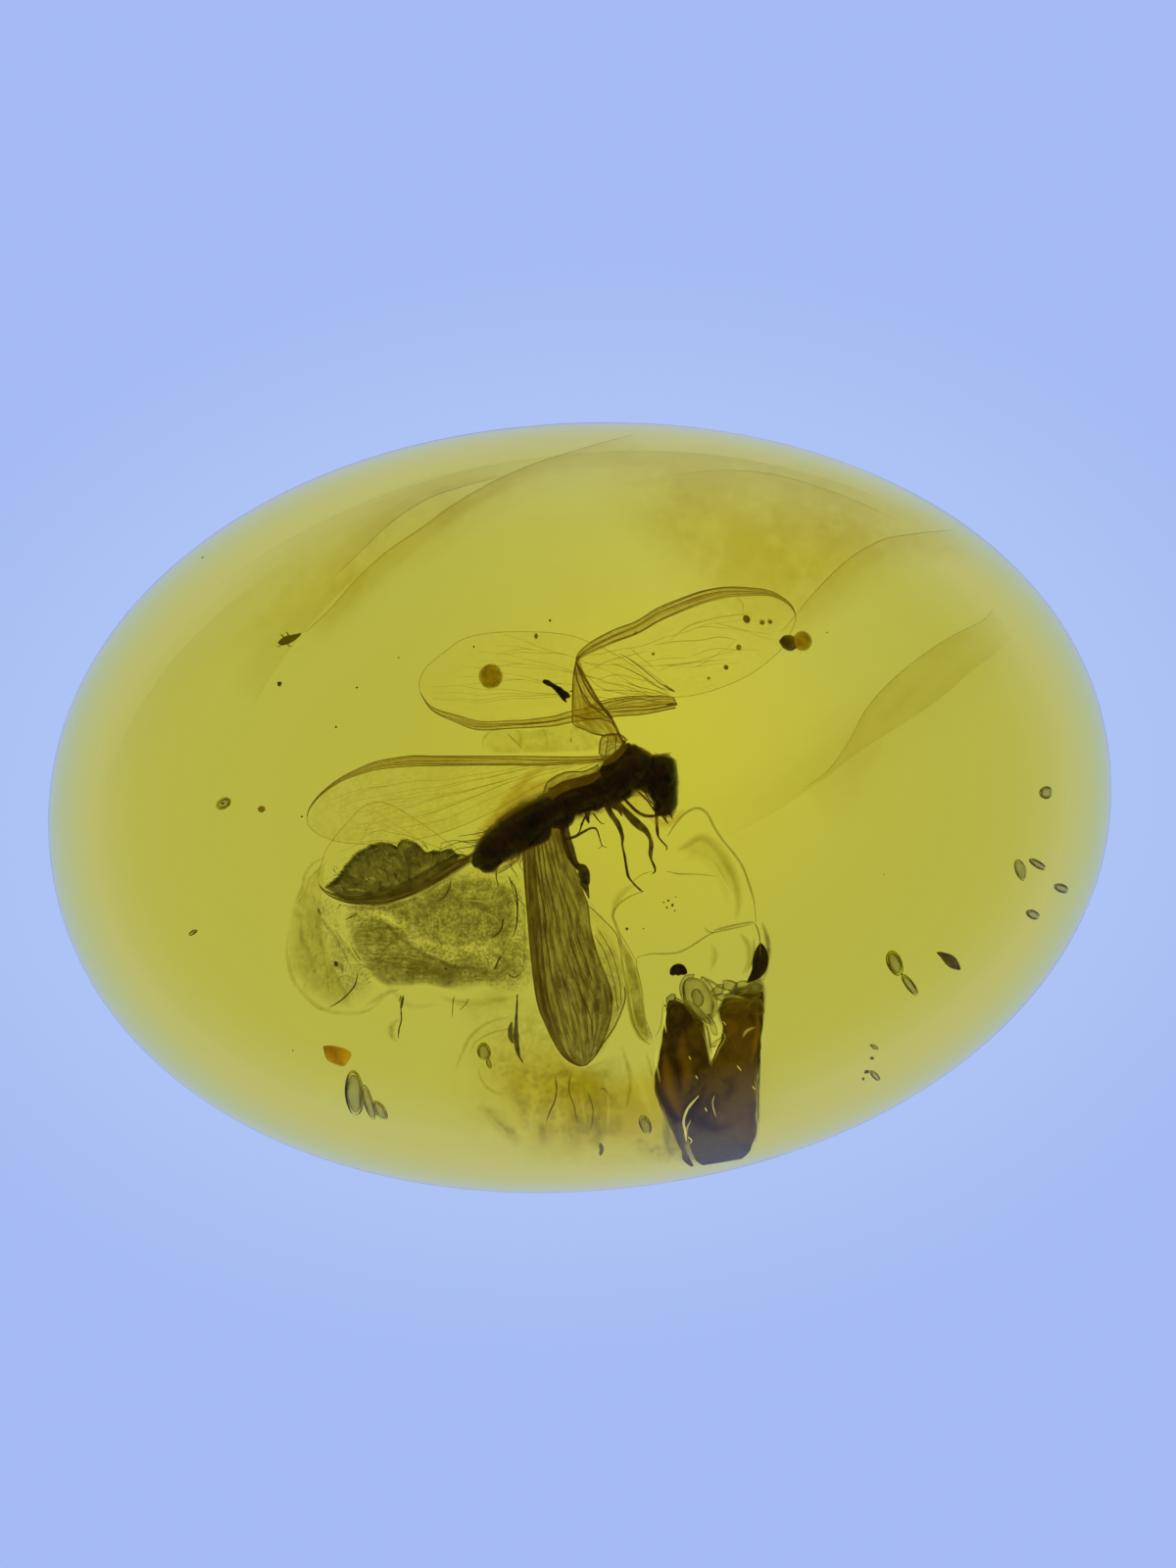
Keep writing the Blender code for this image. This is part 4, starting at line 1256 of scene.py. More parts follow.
    def trunk(self, draft: Draft, rows: Rows, count: int, sides: int, seed: float, rings: int) -> None:
        """Add a closed trunk with overlapping rings and an uneven skin.

        Args:
            draft: What it is added to.
            rows: Middle and half sizes along it.
            count: Rows of points along it.
            sides: Points round it.
            seed: Shifts its unevenness.
            rings: Overlapping rings of cuticle along it.
        """
        line = smooth_line(rows, count)
        side = headings(line)[1]
        turn = np.linspace(0, math.tau, sides, endpoint=False)
        along = np.linspace(0, 1, count)
        step = (along * rings) % 1.0
        swell = 1.0 + (0.045 if rings else 0.0) * (step - 0.5)
        around = np.cos(turn)[None] * (line[:, 2] * swell)[:, None]
        depth = np.sin(turn)[None] * (line[:, 3] * swell)[:, None]
        plan = line[:, None, :2] + side[:, None, :] * around[..., None]
        skin = np.concatenate([plan, (self.height + depth)[..., None]], axis=-1)
        flat = skin.reshape(-1, 3)
        middle = np.repeat(np.column_stack([line[:, :2], np.full(count, self.height)]), sides, axis=0)
        bump = 1 + 0.07 * ripple(flat, 2.6, seed) + 0.03 * ripple(flat, 8.0, seed + 3)
        draft.shell((middle + (flat - middle) * bump[:, None]).reshape(count, sides, 3))

    def build_body(self) -> None:
        """Make the thorax, abdomen and head."""
        draft = Draft()
        self.trunk(draft, self.abdomen, 120, 40, 1.0, self.segments)
        self.trunk(draft, self.thorax, 70, 40, 5.0, 3)
        self.trunk(draft, self.head, 60, 40, 9.0, 0)
        lumps = (
            ((1.17, 1.02, 2.30), (0.22, 0.20, 0.30)), ((0.82, 0.78, 2.35), (0.26, 0.17, 0.28)),
            ((0.35, 0.52, 2.30), (0.38, 0.14, 0.26)), ((0.92, 0.22, 2.20), (0.24, 0.16, 0.26)),
            ((0.45, 0.05, 2.22), (0.26, 0.13, 0.24)), ((-0.35, -0.20, 2.22), (0.30, 0.20, 0.26)),
            ((1.38, 0.46, 2.25), (0.24, 0.30, 0.30)), ((1.55, 0.52, 2.28), (0.22, 0.38, 0.32)),
            ((1.60, 0.22, 2.26), (0.16, 0.30, 0.28)), ((-0.95, -0.55, 2.20), (0.36, 0.18, 0.24)),
            ((-1.95, -1.02, 2.22), (0.26, 0.16, 0.22)), ((1.73, -0.12, 2.30), (0.20, 0.20, 0.26)),
        )
        for number, (centre, radii) in enumerate(lumps):
            draft.pebble(centre, radii, 25.0, lumps=0.22, seed=20 + number, detail=14)
        settle(draft.build("termite_trunk", CUTICLE), Slot.INSECT, "termite_body")

    def build_eye(self) -> None:
        """Make the bulging eye and the small simple eye."""
        draft = Draft()
        middle = (1.88, 0.46, self.height + 0.31)
        draft.pebble(middle, (0.17, 0.19, 0.09), 15.0, lumps=0.04, seed=2, detail=24)
        draft.pebble((1.93, 0.12, self.height + 0.34), (0.05, 0.05, 0.04), lumps=0.05, seed=3)
        settle(draft.build("termite_eye", EYE_LENS), Slot.INSECT)

    def build_limbs(self) -> None:
        """Make the legs, feelers, jaws and wing stumps."""
        draft = Draft()
        for number, (name, rows) in enumerate(self.limbs.items()):
            line = smooth_line(rows, 12 * len(rows))
            beads = 0.16 * np.sin(np.arange(len(line)) * 1.3) if "antenna" in name else 0.0
            rough = 0.10 * ripple(line[:, :3], 9.0, number)
            path = line[:, :3] + np.array([0.0, 0.0, self.height])
            draft.tube(path, line[:, 3] * (1 + beads + rough), sides=12, flatness=0.85)
        settle(draft.build("termite_limbs", THIN_CUTICLE), Slot.INSECT)

    def build_hairs(self) -> None:
        """Make the short hairs on the trunk and limbs and the ragged threads at the tail."""
        rng = random.Random(11)
        draft = Draft()
        for rows, count, reach in ((self.abdomen, 260, 0.16), (self.thorax, 90, 0.10), (self.head, 50, 0.08)):
            line = smooth_line(rows, 80)
            ahead, left = headings(line)
            for _ in range(count):
                spot = rng.randrange(3, 78)
                turn = rng.uniform(0, math.tau)
                side = np.array([*left[spot], 0.0])
                out = side * math.cos(turn) + np.array([0.0, 0.0, math.sin(turn)])
                root = np.array([*line[spot, :2], self.height]) + side * math.cos(turn) * line[spot, 2] * 0.97
                root = root + np.array([0.0, 0.0, math.sin(turn) * line[spot, 3] * 0.97])
                lean = out + 0.9 * np.array([*ahead[spot], 0.0]) * (1 if rows is not self.head else -0.4)
                lean /= np.linalg.norm(lean)
                length = reach * rng.uniform(0.5, 1.3)
                bend = np.array([rng.uniform(-0.02, 0.02), rng.uniform(-0.02, 0.02), 0.0])
                hair = [root, root + lean * length * 0.5 + bend, root + lean * length]
                draft.tube(hair, [0.007, 0.005, 0.002], 3)
        threads = (
            ((-1.90, -0.40), (-2.20, -0.50), (-2.60, -0.52), (-2.95, -0.62), (-3.10, -0.72)),
            ((-1.95, -0.45), (-2.30, -0.62), (-2.65, -0.66), (-2.90, -0.80)),
            ((-2.00, -0.50), (-2.35, -0.55), (-2.70, -0.48), (-3.00, -0.52)),
            ((-1.75, -0.28), (-2.00, -0.34), (-2.30, -0.38), (-2.62, -0.40)),
            ((-1.55, -1.05), (-1.52, -1.16), (-1.46, -1.24), (-1.44, -1.34)),
            ((-1.30, -0.95), (-1.36, -1.08), (-1.30, -1.20)),
            ((-1.86, -1.15), (-1.88, -1.28), (-1.85, -1.46)),
            ((-1.60, -1.30), (-1.54, -1.60), (-1.49, -1.90), (-1.51, -2.22)),
            ((-1.45, -1.00), (-1.62, -1.12), (-1.74, -1.18), (-1.90, -1.24)),
        )
        for number, points in enumerate(threads):
            path = smooth_line(points, 24)
            height = self.height + 0.06 * np.sin(0.3 * np.arange(24) + number)
            draft.tube(np.column_stack([path, height]), np.linspace(0.013, 0.006, 24), 5)
        settle(draft.build("termite_hairs", BLACK_LINE), Slot.INSECT)

    def build(self) -> None:
        """Make the termite's pieces."""
        self.build_body()
        self.build_eye()
        self.build_limbs()
        self.build_hairs()


# ---------------------------------------------------------------- films, threads and flow faces


def level(height: float, swing: float, scale: float, seed: float) -> Callable[[np.ndarray], np.ndarray]:
    """Return a gently uneven height over the plan.

    Args:
        height: Its mean.
        swing: How far it goes up and down.
        scale: Waves to a millimetre.
        seed: Shifts the waves.

    Returns:
        A function from places on the plan to heights.
    """
    return lambda plan: height + swing * ripple(np.column_stack([plan, np.zeros(len(plan))]), scale, seed)


def rim_fade(start: float, strength: float = 1.0) -> Callable[[np.ndarray], np.ndarray]:
    """Return a strength that falls to nothing from a share of the way out to the rim."""
    return lambda share: strength * (1.0 - ease((share - start) / max(1e-6, 1.0 - start)))


@dataclass
class Patch:
    """One thin film inside the stone: its outline, centre, height and how it fades to its edge."""

    outline: Rows
    centre: Row
    height: float
    fade_from: float = 0.7
    strength: float = 1.0
    swing: float = 0.08


@dataclass
class Veil:
    """Films and soft ribbons of one finish that make one piece.

    Attributes:
        bands: Ribbons: a line on the plan, then width, height, strength and skew.
    """

    name: str
    film: Film
    slot: Slot
    patches: tuple[Patch, ...] = ()
    bands: tuple[tuple[Rows, float, float, float, float], ...] = ()

    def build(self) -> None:
        """Make the piece."""
        draft = Draft()
        for number, patch in enumerate(self.patches):
            draft.patch(
                patch.outline, patch.centre, level(patch.height, patch.swing, 0.8, number), SHEET,
                rim_fade(patch.fade_from, patch.strength), rings=20, sides=116,
            )
        for line, width, height, strength, skew in self.bands:
            draft.band(line, width, height, strength, skew)
        settle(draft.build(self.name, self.film), self.slot)


@dataclass
class Threads:
    """Fine lines of one finish that make one piece: each a line on the plan and a radius."""

    name: str
    tissue: Tissue
    slot: Slot
    height: float
    lines: tuple[tuple[Rows, float], ...]
    rise: float = 0.0
    flatness: float = 0.7

    def build(self) -> None:
        """Make the piece, each line thinner at its ends."""
        draft = Draft()
        share = np.linspace(0, 1, 40)
        for points, radius in self.lines:
            height = self.height + self.rise * np.sin(math.pi * share)
            taper = np.interp(share, [0, 0.2, 0.8, 1], [0.35, 1, 0.9, 0.3])
            draft.tube(np.column_stack([smooth_line(points, 40), height]), radius * taper, 6, self.flatness)
        settle(draft.build(self.name, self.tissue), self.slot)


@dataclass
class Strokes:
    """Short strokes and streaks scattered over the trapped air.

    Attributes:
        count: How many short strokes.
        left, right, low, high: The field they lie in.
        streaks: How many long streaks.
        streak_line: The line that the streaks start along, running from left to right.
    """

    count: int = 260
    left: float = -6.2
    right: float = -1.45
    low: float = -3.35
    high: float = -1.35
    streaks: int = 46
    streak_line: Rows = ((-5.0, -2.15), (-4.6, -2.05), (-4.2, -2.25), (-3.8, -2.60))

    def build(self) -> None:
        """Make the strokes and streaks."""
        rng = random.Random(29)
        draft = Draft()
        for _ in range(self.count):
            x, y = rng.uniform(self.left, self.right), rng.uniform(self.low, self.high)
            angle = rng.uniform(-0.5, 0.5) + (1.1 if x < -5.0 else 1.9 if x > -2.3 else 0.2)
            step = np.array([math.cos(angle), math.sin(angle)]) * rng.uniform(0.04, 0.17)
            bend = np.array([-step[1], step[0]]) * rng.uniform(-0.35, 0.35)
            path = smooth_line([(x, y), (x + 0.5 * step[0] + bend[0], y + 0.5 * step[1] + bend[1]),
                                (x + step[0], y + step[1])], 7)
            radius = rng.uniform(0.005, 0.011)
            radii = radius * np.array([0.4, 0.8, 1, 1, 1, 0.8, 0.4])
            draft.tube(np.column_stack([path, np.full(7, 2.02)]), radii, 4)
        start = smooth_line(self.streak_line, self.streaks)
        for x, y in start:
            drop = rng.uniform(0.0, 0.75)
            length = rng.uniform(0.25, 0.7)
            sag = rng.uniform(0.0, 0.06)
            middle, end = (x + 0.5 * length, y - drop - sag), (x + length, y - drop - 3 * sag)
            path = smooth_line([(x, y - drop), middle, end], 12)
            draft.tube(np.column_stack([path, np.full(12, 2.0)]), rng.uniform(0.006, 0.012), 4)
        settle(draft.build("air_film_strokes", CRACK_LINE), Slot.DEBRIS)


@dataclass
class Blotch:
    """The dark feathery blotch on the lower left wing."""

    outline: Rows = ((-5.54, -1.27), (-5.38, -1.15), (-5.21, -1.03), (-5.08, -0.86), (-4.93, -0.72),
        (-4.80, -0.60), (-4.65, -0.53), (-4.44, -0.44), (-4.23, -0.41), (-4.05, -0.45), (-3.92, -0.51),
        (-3.83, -0.40), (-3.73, -0.38), (-3.55, -0.45), (-3.40, -0.56), (-3.30, -0.68), (-3.10, -0.66),
        (-3.00, -0.70), (-2.86, -0.67), (-2.76, -0.65), (-2.64, -0.76), (-2.59, -0.83), (-2.92, -1.10),
        (-3.46, -1.38), (-4.11, -1.58), (-4.74, -1.62), (-5.15, -1.53))
    centre: Row = (-4.0, -0.98)
    height: float = 2.16
    barbs: int = 420

    def build(self) -> None:
        """Make the blotch, the barbs that fringe its upper edge and the strokes across it."""
        draft = Draft()
        surface = level(self.height, 0.05, 1.5, 4)
        draft.patch(self.outline, self.centre, surface, 0.008, rim_fade(0.95), 24, 220)
        settle(draft.build("wing_lower_left_blotch", SMOKY_MEMBRANE), Slot.MEMBRANE)
        rng = random.Random(17)
        fringe = Draft()
        lift = self.height + 0.03
        for x, y in smooth_line(self.outline[:22], self.barbs):
            inward = rng.uniform(0.02, 0.16)
            root = np.array([x, y]) * (1 - inward) + np.array(self.centre) * inward
            tip = np.array([x, y]) + np.array([rng.uniform(-0.05, 0.0), rng.uniform(-0.01, 0.035)])
            middle = 0.5 * (root + tip) + np.array([0.012, 0.012])
            fringe.tube([(*root, lift), (*middle, lift), (*tip, lift)], [0.008, 0.007, 0.003], 4)
        rows = 0
        while rows < 260:
            along, across = rng.random(), rng.random()
            x = -5.3 + 2.6 * along
            y = -1.45 + 0.95 * across - 0.10 * abs(along - 0.4)
            if y > -0.50 - 1.1 * max(0.0, 0.35 - along) or y < -1.52 + 1.0 * max(0.0, along - 0.45):
                continue
            rows += 1
            angle = rng.gauss(2.4 - 0.7 * along, 0.30)
            step = np.array([math.cos(angle), math.sin(angle)]) * rng.uniform(0.05, 0.16)
            fringe.tube([(x, y, lift), (x + step[0], y + step[1], lift)], [0.010, 0.004], 4)
        settle(fringe.build("wing_lower_left_barbs", BARB), Slot.MEMBRANE)


VEILS = (
    Veil("air_film_cloud", AIR_FILM, Slot.DEBRIS,
        (
            Patch(((-1.30, -1.20), (-1.12, -1.77), (-1.08, -2.30), (-1.06, -2.80), (-1.10, -3.30),
                (-1.44, -3.66), (-1.97, -3.63), (-2.38, -3.49), (-2.80, -3.58), (-3.21, -3.48),
                (-3.62, -3.33), (-4.04, -3.37), (-4.35, -3.39), (-4.70, -3.20), (-5.00, -2.85),
                (-5.30, -2.20), (-5.20, -1.60), (-4.74, -1.60), (-4.11, -1.58), (-3.58, -1.45),
                (-2.93, -1.12), (-2.40, -1.00), (-1.95, -1.15)), (-3.1, -2.35), 1.92, 0.80),
            Patch(((-5.54, -1.27), (-5.87, -1.43), (-6.15, -1.67), (-6.30, -2.02), (-6.38, -2.53),
                (-6.28, -3.06), (-6.05, -3.44), (-5.75, -3.66), (-5.42, -3.74), (-4.90, -3.70),
                (-4.55, -3.40), (-4.80, -2.80), (-5.10, -2.30), (-5.20, -1.70), (-5.20, -1.50)),
                (-5.55, -2.45), 1.98, 0.62, 0.55),
        ),
    ),
    Veil("air_film_folds", AIR_FOLD, Slot.DEBRIS,
        (
            Patch(((0.13, -2.25), (0.49, -2.67), (0.66, -3.34), (0.66, -3.99), (0.44, -4.49), (0.11, -5.05),
                (-0.11, -5.20), (0.10, -4.40), (0.20, -3.44), (0.10, -2.78)), (0.38, -3.6), 1.80, 0.70, 0.50),
            Patch(((0.66, -2.70), (0.90, -3.29), (1.01, -3.88), (1.09, -4.48), (1.21, -4.92), (1.01, -4.84),
                (0.83, -4.46), (0.75, -3.87)), (0.93, -4.0), 1.82, 0.70, 0.62),
            Patch(((-4.64, -1.68), (-3.91, -1.66), (-3.40, -1.50), (-2.90, -1.25), (-2.10, -1.22),
                (-1.59, -1.42), (-1.42, -1.77), (-1.45, -2.39), (-1.89, -2.58), (-2.72, -2.53),
                (-3.49, -2.34), (-3.94, -2.02)), (-2.7, -1.95), 1.98, 0.78, 0.62),
            Patch(((-5.10, -2.02), (-4.76, -1.93), (-4.39, -1.96), (-4.10, -2.16), (-3.76, -2.50),
                (-3.31, -2.79), (-2.95, -2.95), (-2.80, -3.20), (-2.95, -3.50), (-3.57, -3.38),
                (-4.04, -3.39), (-4.50, -3.30), (-4.80, -2.95), (-5.06, -2.43)), (-4.1, -2.75), 1.86, 0.84,
                0.66),
        ),
        (
            (((-5.15, -1.98), (-4.76, -1.93), (-4.39, -1.98), (-4.10, -2.20), (-3.76, -2.54), (-3.31, -2.83),
                (-2.81, -3.03), (-2.24, -3.10)), 0.22, 1.99, 0.75, -0.9),
            (((-3.90, -2.90), (-3.30, -3.15), (-2.60, -3.25), (-1.95, -3.20), (-1.50, -3.00)), 0.66, 1.88,
                0.80, 0.4),
            (((-5.28, -1.60), (-4.74, -1.72), (-4.11, -1.70), (-3.58, -1.58), (-2.93, -1.26)), 0.16, 2.0, 0.8,
                0.0),
            (((-3.95, -1.75), (-3.75, -2.05), (-3.45, -2.32), (-2.90, -2.50), (-2.30, -2.55)), 0.30, 2.0, 0.5,
                -0.6),
            (((-5.75, -1.64), (-5.60, -1.97), (-5.41, -2.24), (-5.23, -2.62), (-5.10, -3.00)), 0.13, 2.0,
                0.55, 0.3),
            (((-5.40, -2.05), (-5.17, -2.47), (-4.98, -2.75), (-4.81, -2.92)), 0.10, 2.0, 0.5, -0.4),
            (((-6.10, -1.67), (-6.10, -2.19), (-5.94, -2.78), (-5.90, -3.20)), 0.18, 2.0, 0.35, 0.3),
            (((-5.67, -1.60), (-5.76, -1.96), (-5.68, -2.49), (-5.64, -3.01), (-5.62, -3.53)), 0.08, 2.0, 0.4,
                0.0),
            (((-4.90, -3.74), (-4.40, -3.50), (-4.10, -3.42)), 0.16, 2.0, 0.4, 0.0),
            (((-1.44, -1.50), (-1.36, -2.00), (-1.40, -2.60), (-1.48, -3.20), (-1.85, -3.60)), 0.12, 2.0, 0.5,
                0.3),
            (((-2.75, -1.60), (-2.30, -1.85), (-1.90, -2.30), (-1.80, -2.90)), 0.35, 1.95, 0.4, 0.0),
            (((-4.15, -4.02), (-4.32, -4.14), (-4.38, -4.34), (-4.28, -4.52)), 0.20, 1.9, 0.55, 0.0),
            (((-5.40, -2.80), (-5.30, -2.90), (-5.30, -3.02)), 0.16, 1.98, 0.8, 0.0),
            (((-2.20, -2.70), (-1.80, -3.05), (-1.55, -3.30)), 0.22, 1.94, 0.5, 0.0),
        ),
    ),
    # Painted highlights on the crumples of the trapped air.
    Veil("air_film_lights", PAINTED_HIGHLIGHT_FILM, Slot.DEBRIS,
        (),
        (
            (((-5.26, -1.74), (-4.74, -1.80), (-4.34, -1.90), (-3.99, -2.14), (-3.65, -2.40), (-3.24, -2.60),
                (-2.73, -2.68), (-2.20, -2.66), (-1.78, -2.52)), 0.16, 2.01, 0.34, 0.0),
            (((-4.55, -1.86), (-4.25, -1.94), (-4.05, -2.10), (-3.80, -2.32)), 0.05, 2.02, 0.9, 0.0),
            (((-5.60, -1.72), (-5.48, -1.97), (-5.30, -2.20), (-5.14, -2.55), (-5.02, -2.80)), 0.07, 2.02,
                0.45, 0.0),
            (((-5.32, -2.06), (-5.20, -2.30), (-5.06, -2.45)), 0.05, 2.02, 0.6, 0.0),
            (((-5.95, -1.55), (-6.00, -2.10), (-5.84, -2.70)), 0.07, 2.02, 0.30, 0.0),
            (((-5.52, -3.10), (-5.46, -3.40), (-5.60, -3.66)), 0.05, 2.02, 0.35, 0.0),
            (((-4.86, -2.95), (-4.70, -3.20), (-4.40, -3.36)), 0.08, 2.02, 0.35, 0.0),
            (((-2.60, -1.70), (-2.30, -1.74), (-2.05, -1.82)), 0.05, 2.02, 0.5, 0.0),
            (((-2.20, -1.98), (-1.98, -2.10), (-1.86, -2.30)), 0.06, 2.02, 0.45, 0.0),
            (((-2.85, -2.66), (-2.55, -2.74), (-2.20, -2.72)), 0.06, 2.02, 0.5, 0.0),
            (((-2.05, -1.30), (-1.85, -1.38), (-1.62, -1.34)), 0.20, 1.9, 0.40, 0.0),
            (((-4.72, -1.18), (-4.55, -1.12), (-4.38, -1.18)), 0.10, 2.19, 0.34, 0.0),
            (((-5.10, -1.32), (-4.85, -1.34), (-4.62, -1.40)), 0.07, 2.19, 0.32, 0.0),
            (((0.55, -2.96), (0.70, -3.30), (0.84, -3.70)), 0.10, 1.86, 0.25, 0.0),
        ),
    ),
    Veil("air_film_haze", HAZE_FILM, Slot.DEBRIS,
        (
            Patch(((-5.45, -0.60), (-5.67, -0.72), (-5.93, -0.90), (-6.10, -1.21), (-6.30, -1.60),
                (-6.45, -2.20), (-6.50, -2.80), (-6.36, -3.25), (-6.05, -3.62), (-5.60, -3.82),
                (-5.10, -3.86), (-5.30, -3.30), (-5.60, -2.40), (-5.60, -1.50), (-5.50, -1.00)),
                (-5.85, -2.2), 2.05, 0.72, 1.2),
            Patch(((-1.70, -3.30), (-2.60, -3.55), (-3.00, -3.95), (-2.70, -4.25), (-1.90, -4.05),
                (-1.20, -4.10), (-1.30, -3.60)), (-2.1, -3.8), 1.80, 0.2, 0.7),
            Patch(((0.62, -2.60), (0.83, -3.00), (0.99, -3.45), (1.06, -3.94), (1.06, -4.50), (1.08, -4.90),
                (0.86, -4.76), (0.74, -4.28), (0.70, -3.60), (0.66, -3.00)), (0.88, -3.9), 1.80, 0.88, 2.2),
            Patch(((-0.10, -5.40), (0.20, -5.60), (0.15, -6.00), (-0.20, -6.10), (-0.70, -5.90),
                (-0.75, -5.50), (-0.40, -5.30)), (-0.25, -5.7), 1.70, 0.2, 0.9),
        ),
        (
            (((-5.45, -0.62), (-5.73, -0.72), (-5.93, -0.93), (-6.03, -1.23), (-6.18, -1.48)), 0.12, 2.08,
                1.6, 0.4),
            (((-5.40, -0.70), (-5.64, -0.87), (-5.86, -1.08), (-5.96, -1.38)), 0.08, 2.08, 1.4, 0.4),
            (((-5.50, -0.86), (-5.70, -1.02), (-5.82, -1.24)), 0.07, 2.08, 1.2, 0.4),
            (((-6.35, -2.00), (-6.45, -2.53), (-6.38, -3.06), (-6.13, -3.46), (-5.83, -3.72), (-5.42, -3.84),
                (-4.90, -3.84), (-4.47, -3.60)), 0.16, 2.05, 1.5, -0.4),
            (((-1.80, -4.14), (-2.33, -4.25), (-2.72, -4.54), (-2.96, -4.94), (-3.07, -5.20)), 0.13, 1.9, 2.2,
                0.0),
            (((-1.60, -4.40), (-2.10, -4.42), (-2.56, -4.60), (-2.78, -4.90)), 0.09, 1.9, 1.8, 0.0),
            (((-2.60, -5.15), (-2.52, -5.50), (-2.25, -5.75), (-1.90, -5.80)), 0.12, 1.9, 1.2, 0.0),
            (((-3.30, -3.62), (-2.80, -3.78), (-2.20, -3.80), (-1.60, -3.72)), 0.24, 1.85, 1.3, 0.0),
            (((-4.60, -2.90), (-4.00, -3.72), (-3.20, -3.78)), 0.20, 1.85, 0.5, 0.0),
        ),
    ),
    Veil("air_film_strip", HAZE_FILM, Slot.DEBRIS,
        (
            Patch(((-1.95, 1.40), (-1.86, 1.66), (-1.50, 1.72), (-0.90, 1.66), (-0.20, 1.72), (0.30, 1.66),
                (0.56, 1.44), (0.56, 1.14), (-0.20, 1.14), (-1.10, 1.18), (-1.80, 1.24)), (-0.7, 1.42), 2.30,
                0.84, 1.0),
        ),
        (
            (((-1.92, 1.30), (-1.94, 1.50), (-1.78, 1.68), (-1.50, 1.74)), 0.10, 2.31, 1.4, 0.0),
            (((-1.20, 1.20), (-1.14, 1.45), (-1.20, 1.68)), 0.14, 2.31, 1.0, 0.0),
            (((-0.62, 1.16), (-0.58, 1.42), (-0.66, 1.68)), 0.10, 2.31, 0.9, 0.0),
        ),
    ),
    Veil("crack_bands", CRACK_FILM, Slot.AMBER,
        (
            Patch(((1.95, -0.95), (2.20, -0.78), (2.57, -0.75), (2.85, -0.98), (3.08, -1.35), (3.22, -1.80),
                (3.22, -2.20), (3.00, -1.75), (2.75, -1.40), (2.40, -1.20), (2.05, -1.10)), (2.60, -1.05),
                1.95, 0.35, 0.5),
        ),
        (
            (((1.95, -1.02), (2.19, -0.92), (2.40, -0.80), (2.60, -0.80), (2.82, -0.98), (3.01, -1.28),
                (3.18, -1.71), (3.22, -2.13), (3.14, -2.54)), 0.34, 1.97, 1.3, -0.5),
            (((3.18, -2.80), (3.34, -3.06), (3.34, -3.36), (3.18, -3.66)), 0.22, 1.9, 1.3, 0.0),
            (((1.10, -1.62), (0.80, -1.74), (0.58, -1.98), (0.52, -2.20)), 0.24, 1.9, 1.0, 0.5),
            (((2.55, -2.95), (2.62, -3.20), (2.50, -3.50)), 0.22, 1.8, 0.9, 0.0),
            (((2.10, -1.20), (2.50, -1.20), (2.85, -1.60), (3.00, -2.20)), 0.40, 1.85, 0.3, 0.0),
            (((0.72, -3.60), (0.74, -4.20), (0.86, -4.70), (1.10, -4.96)), 0.16, 1.9, 1.5, -0.3),
        ),
    ),
    Veil("gold_halo", GOLD_HALO, Slot.AMBER,
        (
            Patch(((-2.60, -0.70), (-2.30, -0.20), (-1.80, 0.25), (-1.20, 0.62), (-0.60, 0.72), (0.10, 0.95),
                (0.90, 1.25), (1.60, 1.25), (2.10, 0.95), (2.35, 0.40), (2.25, -0.20), (1.80, -0.45),
                (1.20, -0.15), (0.40, -0.30), (-0.40, -0.50), (-1.40, -1.10), (-2.10, -1.30), (-2.55, -1.15)),
                (-0.1, 0.15), 1.78, 0.45, 0.60),
        ),
        (
            (((-0.62, 0.92), (-0.95, 0.76), (-1.25, 0.55), (-1.50, 0.34), (-1.72, 0.10)), 0.34, 2.3, 1.3,
                0.3),
            (((-0.40, 0.60), (-0.90, 0.45), (-1.40, 0.15), (-1.90, -0.20), (-2.30, -0.60)), 0.50, 2.3, 1.5,
                -0.3),
            (((1.45, -0.25), (1.62, -0.42), (1.95, -0.44), (2.20, -0.20)), 0.30, 2.2, 1.0, 0.0),
        ),
    ),
    Veil("body_haze", BODY_HAZE, Slot.INSECT,
        (),
        (
            (((0.35, 0.66), (-0.20, 0.50), (-0.70, 0.34), (-1.10, 0.20), (-1.50, 0.00), (-2.00, -0.38),
                (-2.30, -0.72)), 0.26, 2.5, 0.9, 0.0),
            (((0.60, -0.08), (0.10, -0.14), (-0.20, -0.16), (-0.50, -0.30)), 0.24, 2.4, 0.8, 0.0),
            (((-0.60, -0.50), (-1.00, -0.72), (-1.45, -0.98), (-1.80, -1.16), (-2.10, -1.20)), 0.20, 2.4, 0.7,
                0.0),
            (((-0.75, -0.30), (-0.55, -0.60), (-0.40, -0.90), (-0.42, -1.30)), 0.34, 2.1, 0.7, 0.0),
            (((1.05, 1.22), (0.90, 1.00), (0.60, 0.94), (0.40, 0.80)), 0.16, 2.5, 0.9, 0.0),
            (((1.20, 1.22), (1.48, 1.04), (1.66, 0.93), (1.86, 0.92)), 0.10, 2.5, 0.9, 0.0),
            (((0.70, 0.04), (0.95, 0.12), (1.25, 0.18), (1.45, 0.04)), 0.16, 2.4, 0.8, 0.0),
            (((1.66, -0.30), (1.90, -0.32), (2.06, -0.20)), 0.10, 2.4, 0.9, 0.0),
            (((-1.02, 0.24), (-1.30, 0.10), (-1.60, -0.10)), 0.12, 2.6, 0.5, 0.0),
        ),
    ),
    Veil("blotch_strap", BROWN_BAND, Slot.MEMBRANE,
        (),
        (
            (((-5.35, -1.45), (-4.90, -1.61), (-4.40, -1.66), (-4.00, -1.60), (-3.50, -1.44)), 0.13, 2.2, 1.3,
                0.3),
            (((-4.20, -1.60), (-3.70, -1.50), (-3.26, -1.32), (-2.71, -1.06), (-2.31, -0.86), (-2.10, -0.70)),
                0.24, 2.2, 1.4, 0.0),
